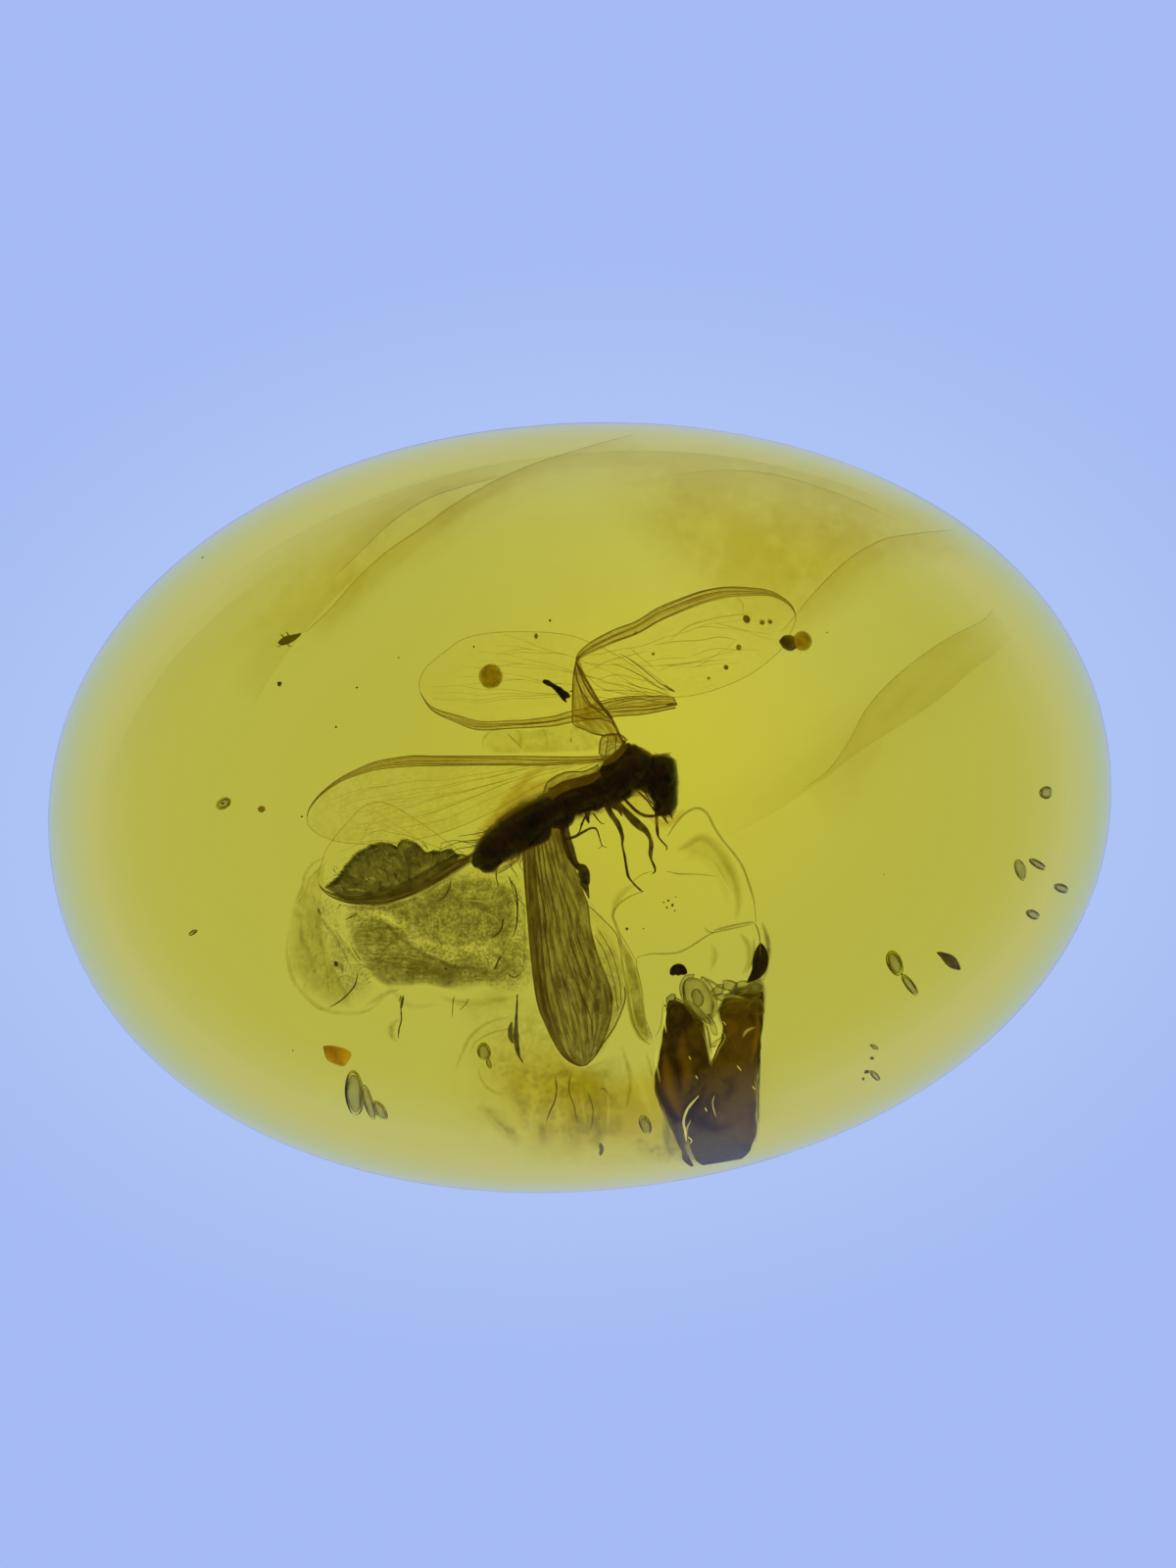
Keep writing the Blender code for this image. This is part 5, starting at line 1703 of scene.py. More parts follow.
            (((-3.00, -1.16), (-2.71, -0.98), (-2.31, -0.78), (-2.05, -0.62)), 0.16, 2.22, 1.3, 0.0),
        ),
    ),
    Veil("bark_glow", BARK_GLOW, Slot.BARK,
        (),
        (
            (((1.42, -5.20), (1.46, -5.60), (1.50, -6.00), (1.62, -6.40), (1.70, -6.70)), 0.46, 2.12, 0.9,
                -0.4),
            (((1.85, -4.72), (1.80, -5.10), (1.86, -5.60), (1.80, -6.20)), 0.40, 2.14, 0.5, 0.0),
            (((3.44, -4.40), (3.42, -4.80), (3.34, -5.20), (3.24, -5.60)), 0.20, 2.12, 0.9, 0.4),
            (((2.75, -4.60), (2.90, -4.75), (2.80, -5.00)), 0.30, 2.14, 0.35, 0.0),
            (((2.50, -6.10), (2.56, -6.60), (2.50, -7.00)), 0.30, 2.0, 0.25, 0.0),
        ),
    ),
    # Painted light in the gap between the bark's two slabs and painted highlights along their edges.
    Veil("bark_lights", PAINTED_HIGHLIGHT_FILM, Slot.BARK,
        (
            Patch(((2.24, -4.62), (2.40, -4.60), (2.60, -4.64), (2.68, -4.85), (2.60, -5.10), (2.46, -5.36),
                (2.38, -5.60), (2.34, -5.30), (2.30, -5.00)), (2.45, -4.9), 2.06, 0.80, 0.42),
        ),
        (
            (((1.28, -4.98), (1.23, -5.16), (1.21, -5.36), (1.24, -5.62), (1.27, -5.83)), 0.09, 2.14, 0.9,
                0.0),
            (((3.10, -5.00), (3.20, -4.87), (3.38, -4.80)), 0.09, 2.14, 0.9, 0.4),
            (((3.30, -5.95), (3.33, -6.15), (3.28, -6.30)), 0.07, 2.1, 0.5, 0.0),
            (((2.24, -4.81), (2.32, -5.08), (2.35, -5.34), (2.36, -5.55)), 0.05, 2.15, 0.9, 0.0),
            (((2.66, -4.79), (2.72, -4.98), (2.58, -5.20), (2.44, -5.48)), 0.05, 2.15, 0.9, 0.0),
            (((1.98, -3.66), (2.20, -3.66), (2.44, -3.88), (2.52, -4.20)), 0.07, 2.2, 0.5, 0.0),
            (((2.10, -3.98), (2.22, -4.00), (2.28, -4.20)), 0.16, 2.2, 0.45, 0.0),
            (((2.62, -4.14), (2.90, -4.08), (3.20, -4.16)), 0.09, 2.0, 0.6, 0.0),
        ),
    ),
    Veil("bottom_wisps", WISP_FILM, Slot.DEBRIS,
        (
            Patch(((-3.00, -3.62), (-2.00, -3.55), (-1.20, -3.60), (-0.90, -4.60), (-0.40, -5.20),
                (0.80, -5.00), (1.20, -5.80), (1.10, -6.80), (0.20, -7.30), (-1.20, -7.20), (-1.80, -6.40),
                (-2.60, -5.60), (-3.20, -4.60)), (-0.9, -5.5), 1.55, 0.35, 0.60),
            Patch(((-0.80, -5.20), (0.00, -5.30), (0.40, -5.90), (0.30, -6.80), (-0.30, -7.20),
                (-0.90, -6.90), (-1.00, -6.00)), (-0.3, -6.2), 1.52, 0.30, 0.55),
        ),
        (
            (((-0.60, -5.40), (-0.72, -5.90), (-0.62, -6.50), (-0.70, -7.10)), 0.60, 1.6, 1.0, 0.0),
            (((-0.20, -5.60), (-0.10, -6.10), (-0.22, -6.70), (-0.18, -7.20)), 0.50, 1.6, 0.9, 0.3),
            (((0.05, -5.80), (0.28, -6.30), (0.22, -6.90)), 0.50, 1.6, 0.8, 0.0),
            (((-1.20, -5.80), (-1.38, -6.40), (-1.30, -7.00)), 0.44, 1.6, 0.8, 0.0),
            (((0.60, -6.90), (1.00, -7.20), (1.40, -7.60)), 0.60, 1.3, 0.8, 0.0),
            (((-0.90, -5.30), (-0.30, -5.48), (0.30, -5.44)), 0.40, 1.7, 0.8, 0.0),
            (((0.50, -4.90), (0.62, -5.60), (0.50, -6.30)), 0.16, 1.7, 1.0, 0.0),
            (((1.00, -5.00), (1.10, -5.60), (1.26, -6.30), (1.40, -6.90)), 0.14, 1.7, 1.0, 0.4),
            (((-1.60, -5.20), (-1.76, -5.80), (-1.66, -6.60)), 0.60, 1.5, 0.6, 0.0),
            (((-2.70, -5.90), (-2.30, -6.20), (-1.80, -6.90)), 0.50, 1.4, 0.8, 0.0),
        ),
    ),
    Veil("bark_tail", BARK_TAIL, Slot.BARK,
        (
            Patch(((1.10, -6.30), (1.60, -6.50), (2.40, -6.90), (3.20, -6.80), (3.42, -7.30), (3.30, -7.90),
                (2.60, -8.10), (1.80, -8.05), (1.20, -7.60), (1.00, -6.90)), (2.2, -7.3), 1.66, 0.30, 1.0),
        ),
        (
            (((1.30, -6.10), (1.36, -6.60), (1.34, -7.10), (1.44, -7.60)), 0.34, 1.68, 1.0, 0.0),
            (((1.62, -6.70), (1.70, -7.20), (1.74, -7.80)), 0.30, 1.66, 1.2, 0.0),
            (((3.34, -6.20), (3.30, -6.80), (3.26, -7.50)), 0.22, 1.68, 1.0, 0.0),
        ),
    ),
    Veil("bark_shade", BARK_SHADE, Slot.BARK,
        (
            Patch(((2.52, -4.34), (2.72, -4.02), (3.00, -3.86), (3.34, -3.80), (3.56, -3.64), (3.66, -3.96),
                (3.62, -4.40), (3.50, -4.70), (3.00, -4.64), (2.66, -4.66)), (3.1, -4.2), 1.64, 0.80, 1.0),
        ),
        (
            (((3.66, -2.60), (3.74, -3.00), (3.70, -3.40), (3.60, -3.80)), 0.20, 1.70, 0.75, 0.3),
            (((3.46, -2.90), (3.42, -3.30), (3.24, -3.62)), 0.10, 1.70, 0.55, 0.3),
            (((2.30, -3.60), (2.60, -3.80), (2.80, -3.96)), 0.10, 1.70, 0.7, 0.3),
            (((1.66, -4.10), (1.84, -4.24), (2.02, -4.50)), 0.12, 1.90, 0.9, 0.0),
            (((2.28, -4.52), (2.36, -4.80), (2.40, -5.30)), 0.10, 2.10, 1.0, 0.3),
            (((3.42, -4.60), (3.42, -5.40), (3.36, -6.20), (3.34, -7.00)), 0.10, 1.90, 1.0, 0.3),
        ),
    ),
    # Painted highlights among the wisps at the bottom.
    Veil("bottom_lights", PAINTED_HIGHLIGHT_FILM, Slot.DEBRIS,
        (),
        (
            (((-0.40, -5.50), (-0.44, -6.00), (-0.38, -6.60)), 0.14, 1.65, 0.30, 0.0),
            (((-0.90, -5.60), (-1.00, -6.20), (-0.96, -6.90)), 0.14, 1.65, 0.30, 0.0),
            (((0.10, -5.60), (0.12, -6.20), (0.04, -6.80)), 0.12, 1.65, 0.30, 0.0),
            (((0.72, -5.20), (0.86, -5.80), (1.00, -6.50)), 0.30, 1.65, 0.22, 0.0),
        ),
    ),
    Veil("ochre_depths", OCHRE_FILM, Slot.AMBER,
        (
            Patch(((2.5, 3.2), (4.5, 2.6), (6.5, 3.6), (8.5, 4.4), (9.6, 4.6), (8.6, 5.8), (6.8, 6.9),
                (4.5, 7.6), (2.0, 7.9), (0.0, 7.6), (0.4, 6.2), (1.6, 4.8)), (5.0, 5.4), 1.5, 0.25, 0.85),
            Patch(((-3.6, -4.6), (-1.8, -4.0), (0.0, -5.2), (1.6, -5.0), (3.8, -5.0), (4.6, -6.2),
                (3.6, -7.0), (1.6, -7.8), (-0.6, -7.9), (-2.6, -7.3), (-3.8, -6.2)), (0.2, -6.2), 1.2, 0.15,
                1.15),
            Patch(((-3.4, 1.6), (-1.0, 0.9), (1.0, 2.2), (3.2, 1.6), (4.6, 2.8), (3.4, 4.6), (0.8, 5.6),
                (-1.8, 5.0), (-3.4, 3.6)), (0.8, 3.3), 1.5, 0.2, 0.12),
            Patch(((-8.0, 3.4), (-6.0, 3.0), (-4.0, 4.6), (-1.5, 6.3), (0.6, 7.4), (-2.0, 7.5), (-5.0, 6.6),
                (-7.4, 5.0)), (-3.8, 5.6), 1.4, 0.15, 0.55),
        ),
    ),
)

THREADS = (
    Threads("air_film_scratches", BLACK_LINE, Slot.DEBRIS, 2.04,
        (
            (((-4.98, -3.05), (-5.06, -3.28), (-5.25, -3.48), (-5.45, -3.62), (-5.66, -3.72)), 0.016),
            (((-4.05, -3.57), (-4.09, -3.70), (-4.13, -3.85)), 0.032),
            (((-4.10, -3.55), (-4.15, -3.70)), 0.012),
            (((-4.13, -3.80), (-4.14, -4.06), (-4.21, -4.27), (-4.25, -4.47)), 0.018),
            (((-1.91, -2.88), (-2.00, -3.03), (-2.08, -3.18)), 0.020),
            (((-1.78, -2.11), (-1.87, -2.36), (-2.04, -2.50)), 0.016),
            (((-1.86, -1.20), (-1.87, -1.32), (-1.84, -1.46)), 0.012),
            (((-1.59, -1.34), (-1.49, -1.56), (-1.47, -1.87), (-1.53, -2.28), (-1.63, -2.54)), 0.018),
            (((-1.62, -1.55), (-1.45, -1.75), (-1.30, -1.95)), 0.008),
            (((-2.83, -1.24), (-2.89, -1.45), (-3.04, -1.64), (-3.18, -1.70)), 0.012),
            (((-1.82, -3.25), (-1.68, -3.35), (-1.52, -3.28)), 0.012),
            (((-2.96, -3.63), (-3.01, -3.78), (-3.05, -4.09)), 0.010),
            (((-2.66, -3.71), (-2.74, -3.83), (-2.88, -3.95)), 0.009),
            (((-5.71, -1.66), (-5.66, -1.78)), 0.022),
            (((-4.88, -1.82), (-5.02, -1.88), (-5.15, -1.93)), 0.012),
            (((-5.05, -2.50), (-4.95, -2.68), (-4.88, -2.80)), 0.010),
            (((-0.98, -5.48), (-0.96, -5.75), (-1.02, -6.02), (-1.15, -6.28), (-1.26, -6.55)), 0.014),
            (((-0.04, -5.84), (0.06, -5.86), (0.14, -5.98)), 0.012),
            (((-0.08, 1.42), (-0.07, 1.32)), 0.012),
            (((-0.62, -5.40), (-0.70, -5.80), (-0.62, -6.20), (-0.58, -6.60)), 0.010),
            (((-0.30, -5.90), (-0.22, -6.30), (-0.30, -6.80)), 0.010),
            (((-0.12, -7.14), (-0.10, -7.30), (-0.14, -7.48)), 0.05),
            (((-1.40, 1.60), (-1.24, 1.42), (-1.12, 1.28)), 0.008),
            (((0.98, 1.30), (0.90, 1.46)), 0.014),
        ),
    ),
    Threads("crack_edges", CRACK_LINE, Slot.AMBER, 1.95,
        (
            (((1.22, -1.79), (0.93, -1.87), (0.65, -2.03), (0.52, -2.23), (0.58, -2.45), (0.64, -2.76),
                (0.65, -3.28), (0.70, -3.71), (0.73, -4.12), (0.80, -4.55), (0.96, -4.82), (1.11, -4.96)),
                0.030),
            (((1.80, -0.72), (2.05, -0.42), (2.28, -0.25), (2.50, -0.20), (2.68, -0.33), (2.80, -0.60),
                (2.96, -0.88), (3.16, -1.15), (3.34, -1.45), (3.46, -1.85), (3.53, -2.20), (3.54, -2.60)),
                0.028),
            (((1.72, -1.42), (2.00, -1.50), (2.40, -1.54), (2.75, -1.60)), 0.016),
            (((0.97, -3.12), (1.25, -3.08), (1.55, -3.10), (1.85, -3.10), (2.12, -3.00), (2.38, -2.86),
                (2.60, -2.76), (2.85, -2.72), (3.15, -2.68), (3.48, -2.63)), 0.020),
            (((2.44, -2.62), (2.52, -2.72), (2.64, -2.75)), 0.016),
            (((2.62, -2.70), (2.90, -2.66), (3.20, -2.62), (3.50, -2.59)), 0.026),
            (((3.50, -2.60), (3.58, -2.80), (3.60, -3.05), (3.58, -3.30)), 0.022),
            (((0.97, -3.12), (0.95, -3.30), (0.99, -3.60), (1.02, -3.90), (0.98, -4.20)), 0.012),
            (((0.62, -2.55), (0.72, -2.75), (0.85, -3.00), (0.96, -3.25)), 0.012),
            (((1.46, -4.05), (1.42, -4.30), (1.36, -4.60), (1.22, -4.82)), 0.012),
            (((1.42, -1.40), (1.20, -1.46), (1.00, -1.60), (1.10, -1.74)), 0.010),
        ),
        rise=0.15, flatness=0.5,
    ),
    # Painted highlights along the edges of the bark.
    Threads("bark_edge_highlights", PAINTED_HIGHLIGHT_LINE, Slot.BARK, 2.14,
        (
            (((2.08, -6.21), (1.94, -6.35), (1.82, -6.50), (1.74, -6.70), (1.72, -6.86), (1.75, -7.07),
                (1.76, -7.33)), 0.028),
            (((2.42, -6.23), (2.37, -6.44), (2.43, -6.76)), 0.010),
            (((2.94, -5.60), (3.03, -5.73)), 0.012),
            (((2.04, -5.74), (2.08, -5.82)), 0.014),
            (((1.51, -4.29), (1.46, -4.49), (1.47, -4.75)), 0.014),
            (((1.92, -5.30), (1.96, -5.38)), 0.012),
            (((2.20, -6.50), (2.24, -6.60)), 0.014),
            (((3.25, -6.10), (3.31, -6.20)), 0.012),
            (((2.64, -4.98), (2.50, -5.20), (2.42, -5.40)), 0.014),
            (((1.80, -7.20), (1.88, -7.32), (1.84, -7.42)), 0.014),
            (((2.70, -4.62), (2.76, -4.70)), 0.010),
        ),
    ),
    Threads("wing_upper_fan", DARK_VEIN, Slot.MEMBRANE, 2.58,
        (
            (((2.21, 2.22), (1.93, 2.40), (1.71, 2.60), (1.35, 2.92), (1.10, 3.09)), 0.012),
            (((2.21, 2.22), (1.83, 2.36), (1.53, 2.59), (1.23, 2.77), (0.93, 2.90)), 0.010),
            (((2.21, 2.22), (2.10, 2.29), (1.98, 2.38)), 0.026),
            (((2.24, 1.95), (2.20, 2.02), (2.18, 2.10)), 0.014),
            (((2.24, 1.95), (2.14, 1.97), (2.00, 1.96)), 0.030),
            (((2.17, 2.10), (1.71, 2.16), (1.19, 2.19), (0.66, 2.14), (0.23, 2.01)), 0.014),
            (((2.17, 2.10), (1.82, 2.26), (1.41, 2.39), (1.11, 2.52)), 0.009),
            (((2.24, 1.95), (1.69, 1.90), (1.16, 1.90), (0.64, 1.90)), 0.016),
            (((1.90, 2.02), (1.40, 2.12), (0.90, 2.05), (0.60, 1.98)), 0.010),
            (((1.80, 2.10), (1.20, 2.40), (0.60, 2.55)), 0.006),
            (((2.00, 2.18), (1.30, 2.30), (0.55, 2.38)), 0.006),
        ),
    ),
    Threads("wing_fine_veins", PALE_VEIN, Slot.MEMBRANE, 2.60,
        (
            (((1.84, 3.22), (2.31, 3.26), (2.83, 3.25), (3.25, 3.29), (3.61, 3.21)), 0.012),
            (((1.85, 2.67), (2.38, 2.79), (2.90, 2.80), (3.37, 2.81)), 0.009),
            (((2.21, 3.32), (2.59, 3.55), (2.97, 3.65), (3.49, 3.72), (4.02, 3.75)), 0.012),
            (((0.40, 2.78), (0.83, 2.96), (1.25, 3.03), (1.67, 3.10)), 0.012),
            (((0.60, 2.60), (1.00, 2.66), (1.50, 2.52), (1.95, 2.40)), 0.010),
            (((1.10, 3.10), (1.40, 2.90), (1.75, 2.62), (2.10, 2.32)), 0.012),
            (((1.30, 3.22), (1.55, 2.98), (1.85, 2.70)), 0.010),
            (((1.50, 2.86), (2.00, 2.92), (2.60, 2.90)), 0.008),
            (((2.60, 2.92), (3.10, 3.05), (3.60, 3.00), (4.10, 2.96)), 0.008),
            (((3.70, 4.10), (3.82, 3.95), (3.80, 3.80)), 0.012),
        ),
    ),
)


@dataclass
class Ribbon:
    """A curved flow face: a line on the plan, the way it leans and how strongly it shows.

    Attributes:
        line: Its sharp edge: x, y, height.
        lean: How far its far edge lies from the sharp one, in x, y and height.
        strength: How strongly it shows.
        crease: Radius of the fine line on its sharp edge, 0 for none.
    """

    line: Rows
    lean: Row
    strength: float = 1.0
    crease: float = 0.0


@dataclass
class FlowFaces:
    """Faces between one flow of resin and the next, seen as ochre veils across the stone."""

    ribbons: tuple[Ribbon, ...] = (
        Ribbon(((-5.6, 4.1, 2.6), (-5.0, 4.6, 2.7), (-4.4, 5.2, 2.7), (-3.7, 5.75, 2.7), (-3.0, 6.15, 2.6),
            (-2.3, 6.6, 2.5), (-1.5, 7.0, 2.3), (-0.6, 7.35, 2.1), (0.6, 7.7, 1.9), (1.8, 8.0, 1.6)),
            (0.55, -0.70, 0.35), 1.15, 0.014),
        Ribbon(((-6.8, 2.6, 2.2), (-6.3, 3.3, 2.3), (-5.7, 4.0, 2.4), (-5.0, 4.7, 2.5), (-4.2, 5.4, 2.5)),
            (-0.9, 0.8, -0.6), 0.55),
        Ribbon(((-4.9, 5.2, 2.3), (-4.2, 5.8, 2.3), (-3.6, 6.3, 2.2), (-2.8, 6.75, 2.1), (-2.0, 6.95, 2.0),
            (-1.1, 7.1, 1.9)), (-0.9, 0.3, -0.5), 0.75, 0.010),
        Ribbon(((-7.5, 5.2, 1.5), (-6.0, 6.0, 1.6), (-4.0, 6.8, 1.7), (-1.5, 7.35, 1.7), (1.5, 7.5, 1.7),
            (4.0, 7.2, 1.7), (6.5, 6.4, 1.6), (8.0, 5.6, 1.5)), (0.0, -1.1, 0.5), 0.55),
        Ribbon(((2.5, 6.9, 2.2), (3.6, 7.0, 2.2), (4.8, 6.85, 2.1), (6.2, 6.3, 2.0), (7.4, 5.6, 1.8)),
            (0.0, -0.5, 0.4), 0.5, 0.008),
        Ribbon(((4.7, 0.0, 2.2), (5.3, 0.35, 2.3), (5.8, 0.9, 2.4), (6.2, 1.5, 2.4), (6.7, 2.0, 2.4),
            (7.4, 2.5, 2.3), (8.2, 2.95, 2.2), (9.0, 3.28, 2.0), (9.3, 3.55, 1.8)), (0.95, -1.45, 0.3), 0.70,
            0.008),
        Ribbon(((3.0, -0.85, 2.0), (3.8, -0.55, 2.1), (4.6, -0.15, 2.2), (5.3, 0.25, 2.3), (6.1, 0.75, 2.3),
            (7.0, 1.2, 2.2), (7.9, 1.7, 2.1), (8.6, 2.2, 2.0), (9.2, 2.55, 1.9), (9.8, 3.0, 1.6)),
            (-0.8, 1.10, 0.4), 0.50),
        Ribbon(((4.6, 3.3, 2.2), (5.4, 4.1, 2.2), (6.2, 4.75, 2.1), (7.0, 5.15, 2.0), (7.7, 5.28, 1.9),
            (8.25, 5.35, 1.7), (8.7, 5.38, 1.4)), (0.4, -0.8, 0.3), 0.62, 0.010),
        Ribbon(((-10.2, 1.2, 1.4), (-9.4, 2.6, 1.6), (-8.4, 3.8, 1.7), (-7.2, 4.8, 1.8), (-5.8, 5.7, 1.8)),
            (0.9, -0.8, 0.4), 0.25),
    )

    def build(self) -> None:
        """Make the faces and the fine lines on their edges."""
        draft, creases = Draft(), Draft()
        share = np.linspace(0, 1, 12)
        for number, ribbon in enumerate(self.ribbons):
            line = smooth_line(ribbon.line, 70)
            lean = np.array(ribbon.lean)
            grid = line[:, None, :] + lean[None, None, :] * share[None, :, None]
            shift = ripple(grid.reshape(-1, 3), 0.7, number).reshape(grid.shape[:2])
            grid = grid + shift[..., None] * np.array([0.05, 0.10, 0.10]) * share[None, :, None]
            ends = np.sin(math.pi * np.linspace(0, 1, 70)) ** 0.6
            fade = ribbon.strength * ends[:, None] * ((1 - share) ** 1.6)[None, :]
            draft.slab(grid, SHEET, fade)
            if ribbon.crease:
                creases.tube(line, ribbon.crease * (0.35 + 0.65 * ends), 6)
        settle(draft.build("flow_faces", FLOW_FACE), Slot.AMBER)
        settle(creases.build("flow_lines", CRACK_LINE), Slot.AMBER)


# ---------------------------------------------------------------- bark and grit


@dataclass
class BarkSlab:
    """One slab of the chip: y, left edge, right edge, floor and ceiling, from the crust to the rim."""

    rows: Rows
    grooves: float
    seed: float

    def add_to(self, draft: Draft) -> None:
        """Add the closed slab, its top grooved and both sides ragged."""
        line = smooth_line([(y, left, right, floor, top) for y, left, right, floor, top in self.rows], 130)
        share = np.linspace(0, 1, 46)
        y = np.repeat(line[:, 0, None], len(share), axis=1)
        ragged = 0.05 * ripple(np.column_stack([line[:, 0] * 3, line[:, 1], line[:, 3]]), 1.0, self.seed)
        left, right = line[:, 1] + ragged, line[:, 2] - ragged[::-1]
        x = left[:, None] + (right - left)[:, None] * share[None]
        places = np.stack([x * self.grooves, y * 0.9, np.zeros_like(x)], axis=-1).reshape(-1, 3)
        groove = ripple(places, 1.0, self.seed).reshape(x.shape)
        spots = np.stack([x * 9, y * 2.2, np.zeros_like(x)], axis=-1).reshape(-1, 3)
        grain = ripple(spots, 1.0, 3).reshape(x.shape)
        round_off = np.clip(4 * share * (1 - share), 0, 1) ** 0.45
        first = np.clip(np.linspace(0, 12, len(line)), 0, 1) ** 0.5
        ends = first * np.clip(np.linspace(12, 0, len(line)), 0, 1) ** 0.5
        body = (line[:, 4] - line[:, 3])[:, None] * round_off[None] * ends[:, None]
        middle = 0.5 * (line[:, 3] + line[:, 4])[:, None]
        rough = 0.030 * grain * round_off[None] * ends[:, None]
        top = middle + 0.5 * body * (1 + 0.45 * groove) + rough + 0.008
        under = middle - 0.5 * body * (1 + 0.20 * groove[:, ::-1]) - 0.008
        upper = np.stack([x, y, top], axis=-1)
        lower = np.stack([x, y, under], axis=-1)
        loop = np.concatenate([upper, lower[:, ::-1]], axis=1)
        draft.shell(loop[::-1])


@dataclass
class Bark:
    """The chip of bark under the head end, with its resin crust, drops and crumbs."""

    slabs: tuple[BarkSlab, ...] = (
        BarkSlab(((-4.02, 1.56, 1.70, 1.45, 1.62), (-4.20, 1.50, 1.98, 1.28, 1.80),
            (-4.50, 1.42, 2.26, 1.14, 1.92), (-4.80, 1.34, 2.32, 1.10, 2.00), (-5.20, 1.27, 2.38, 1.08, 2.02),
            (-5.60, 1.16, 2.40, 1.08, 2.00), (-5.90, 1.14, 2.26, 1.08, 1.95), (-6.30, 1.24, 2.04, 1.15, 1.82),
            (-6.80, 1.42, 1.74, 1.22, 1.62), (-7.20, 1.56, 1.72, 1.26, 1.54), (-7.60, 1.66, 1.80, 1.28, 1.50),
            (-7.90, 1.82, 1.90, 1.32, 1.46)), 2.6, 3.0),
        BarkSlab(((-4.00, 2.80, 3.56, 1.30, 1.70), (-4.35, 2.62, 3.56, 1.18, 1.84),
            (-4.75, 2.66, 3.50, 1.12, 1.96), (-5.05, 2.54, 3.44, 1.10, 2.00), (-5.40, 2.34, 3.40, 1.08, 2.02),
            (-6.00, 2.16, 3.33, 1.10, 1.96), (-6.40, 1.96, 3.30, 1.16, 1.80), (-6.90, 1.80, 3.27, 1.24, 1.56),
            (-7.30, 1.84, 3.22, 1.27, 1.52), (-7.65, 1.92, 3.14, 1.29, 1.49),
            (-7.92, 2.10, 2.95, 1.32, 1.45)), 2.2, 8.0),
    )
    flakes: tuple[tuple[Row, Row, float], ...] = (((2.62, -3.92, 1.72), (0.16, 0.10, 0.08), 30.0),
        ((2.88, -3.84, 1.76), (0.17, 0.11, 0.09), -15.0), ((3.15, -3.86, 1.76), (0.18, 0.10, 0.09), 8.0),
        ((3.40, -3.92, 1.74), (0.16, 0.12, 0.10), -20.0), ((2.78, -4.08, 1.78), (0.26, 0.08, 0.08), -8.0),
        ((3.25, -4.10, 1.80), (0.28, 0.10, 0.09), 6.0), ((2.98, -4.28, 1.86), (0.34, 0.12, 0.10), 10.0),
        ((3.42, -4.36, 1.84), (0.18, 0.18, 0.12), 0.0), ((1.62, -4.02, 1.70), (0.13, 0.09, 0.07), 40.0),
        ((1.80, -4.12, 1.76), (0.16, 0.07, 0.07), -40.0), ((2.20, -4.36, 1.84), (0.34, 0.07, 0.07), -48.0),
        ((2.46, -4.62, 1.72), (0.26, 0.07, 0.07), -72.0), ((2.12, -4.62, 1.80), (0.30, 0.06, 0.07), -62.0),
        ((3.20, -4.64, 1.90), (0.22, 0.07, 0.08), 20.0), ((2.60, -5.00, 1.90), (0.26, 0.07, 0.08), 25.0),
        ((1.74, -4.38, 1.88), (0.20, 0.06, 0.07), -45.0))

    shore: Rows = ((2.15, -3.60), (1.96, -3.64), (1.87, -3.86), (1.95, -4.20), (2.16, -4.50), (2.39, -4.56),
        (2.54, -4.42), (2.56, -4.11), (2.44, -3.82), (2.30, -3.66))

    def build(self) -> None:
        """Make the slabs, the crust round the resin drop and the two dark drops."""
        draft = Draft()
        for slab in self.slabs:
            slab.add_to(draft)
        settle(draft.build("bark_slabs", BARK), Slot.BARK, "bark_chip")
        crust = Draft()
        for number, (centre, radii, turn) in enumerate(self.flakes):
            crust.pebble(centre, radii, turn, lumps=0.35, seed=40 + number, detail=16)
        crust.pebble((2.20, -4.08, 2.05), (0.30, 0.48, 0.20), 22.0, lumps=0.06, seed=3, detail=24)
        crust.pebble((2.19, -4.08, 2.18), (0.13, 0.20, 0.10), 12.0, lumps=0.12, seed=4, detail=18)
        shore = smooth_line(self.shore, 60)
        thickness = 0.035 + 0.02 * np.sin(np.linspace(0, 9, 60))
        crust.tube(np.column_stack([shore, np.full(60, 2.12)]), thickness, 8)
        settle(crust.build("bark_crust", RESIN_CRUST), Slot.BARK)
        left = Draft()
        left.tube(
            smooth_line(
                ((1.66, -3.50, 1.70), (1.74, -3.44, 1.72), (1.86, -3.43, 1.72), (1.98, -3.50, 1.70)), 20,
            ),
            [0.05 + 0.075 * math.sin(math.pi * step / 19) for step in range(20)], 12,
        )
        settle(left.build("dark_drop_left", GRIT), Slot.DEBRIS, "bark_crumb_left")
        right = Draft()
        right.tube(
            smooth_line(
                ((3.60, -3.02, 1.66), (3.58, -3.30, 1.66), (3.50, -3.58, 1.66), (3.26, -3.80, 1.66)), 24,
            ),
            [0.02 + 0.15 * math.sin(math.pi * (step / 23) ** 0.8) for step in range(24)], 12,
        )
        settle(right.build("dark_drop_right", GRIT), Slot.DEBRIS, "bark_crumb_right")


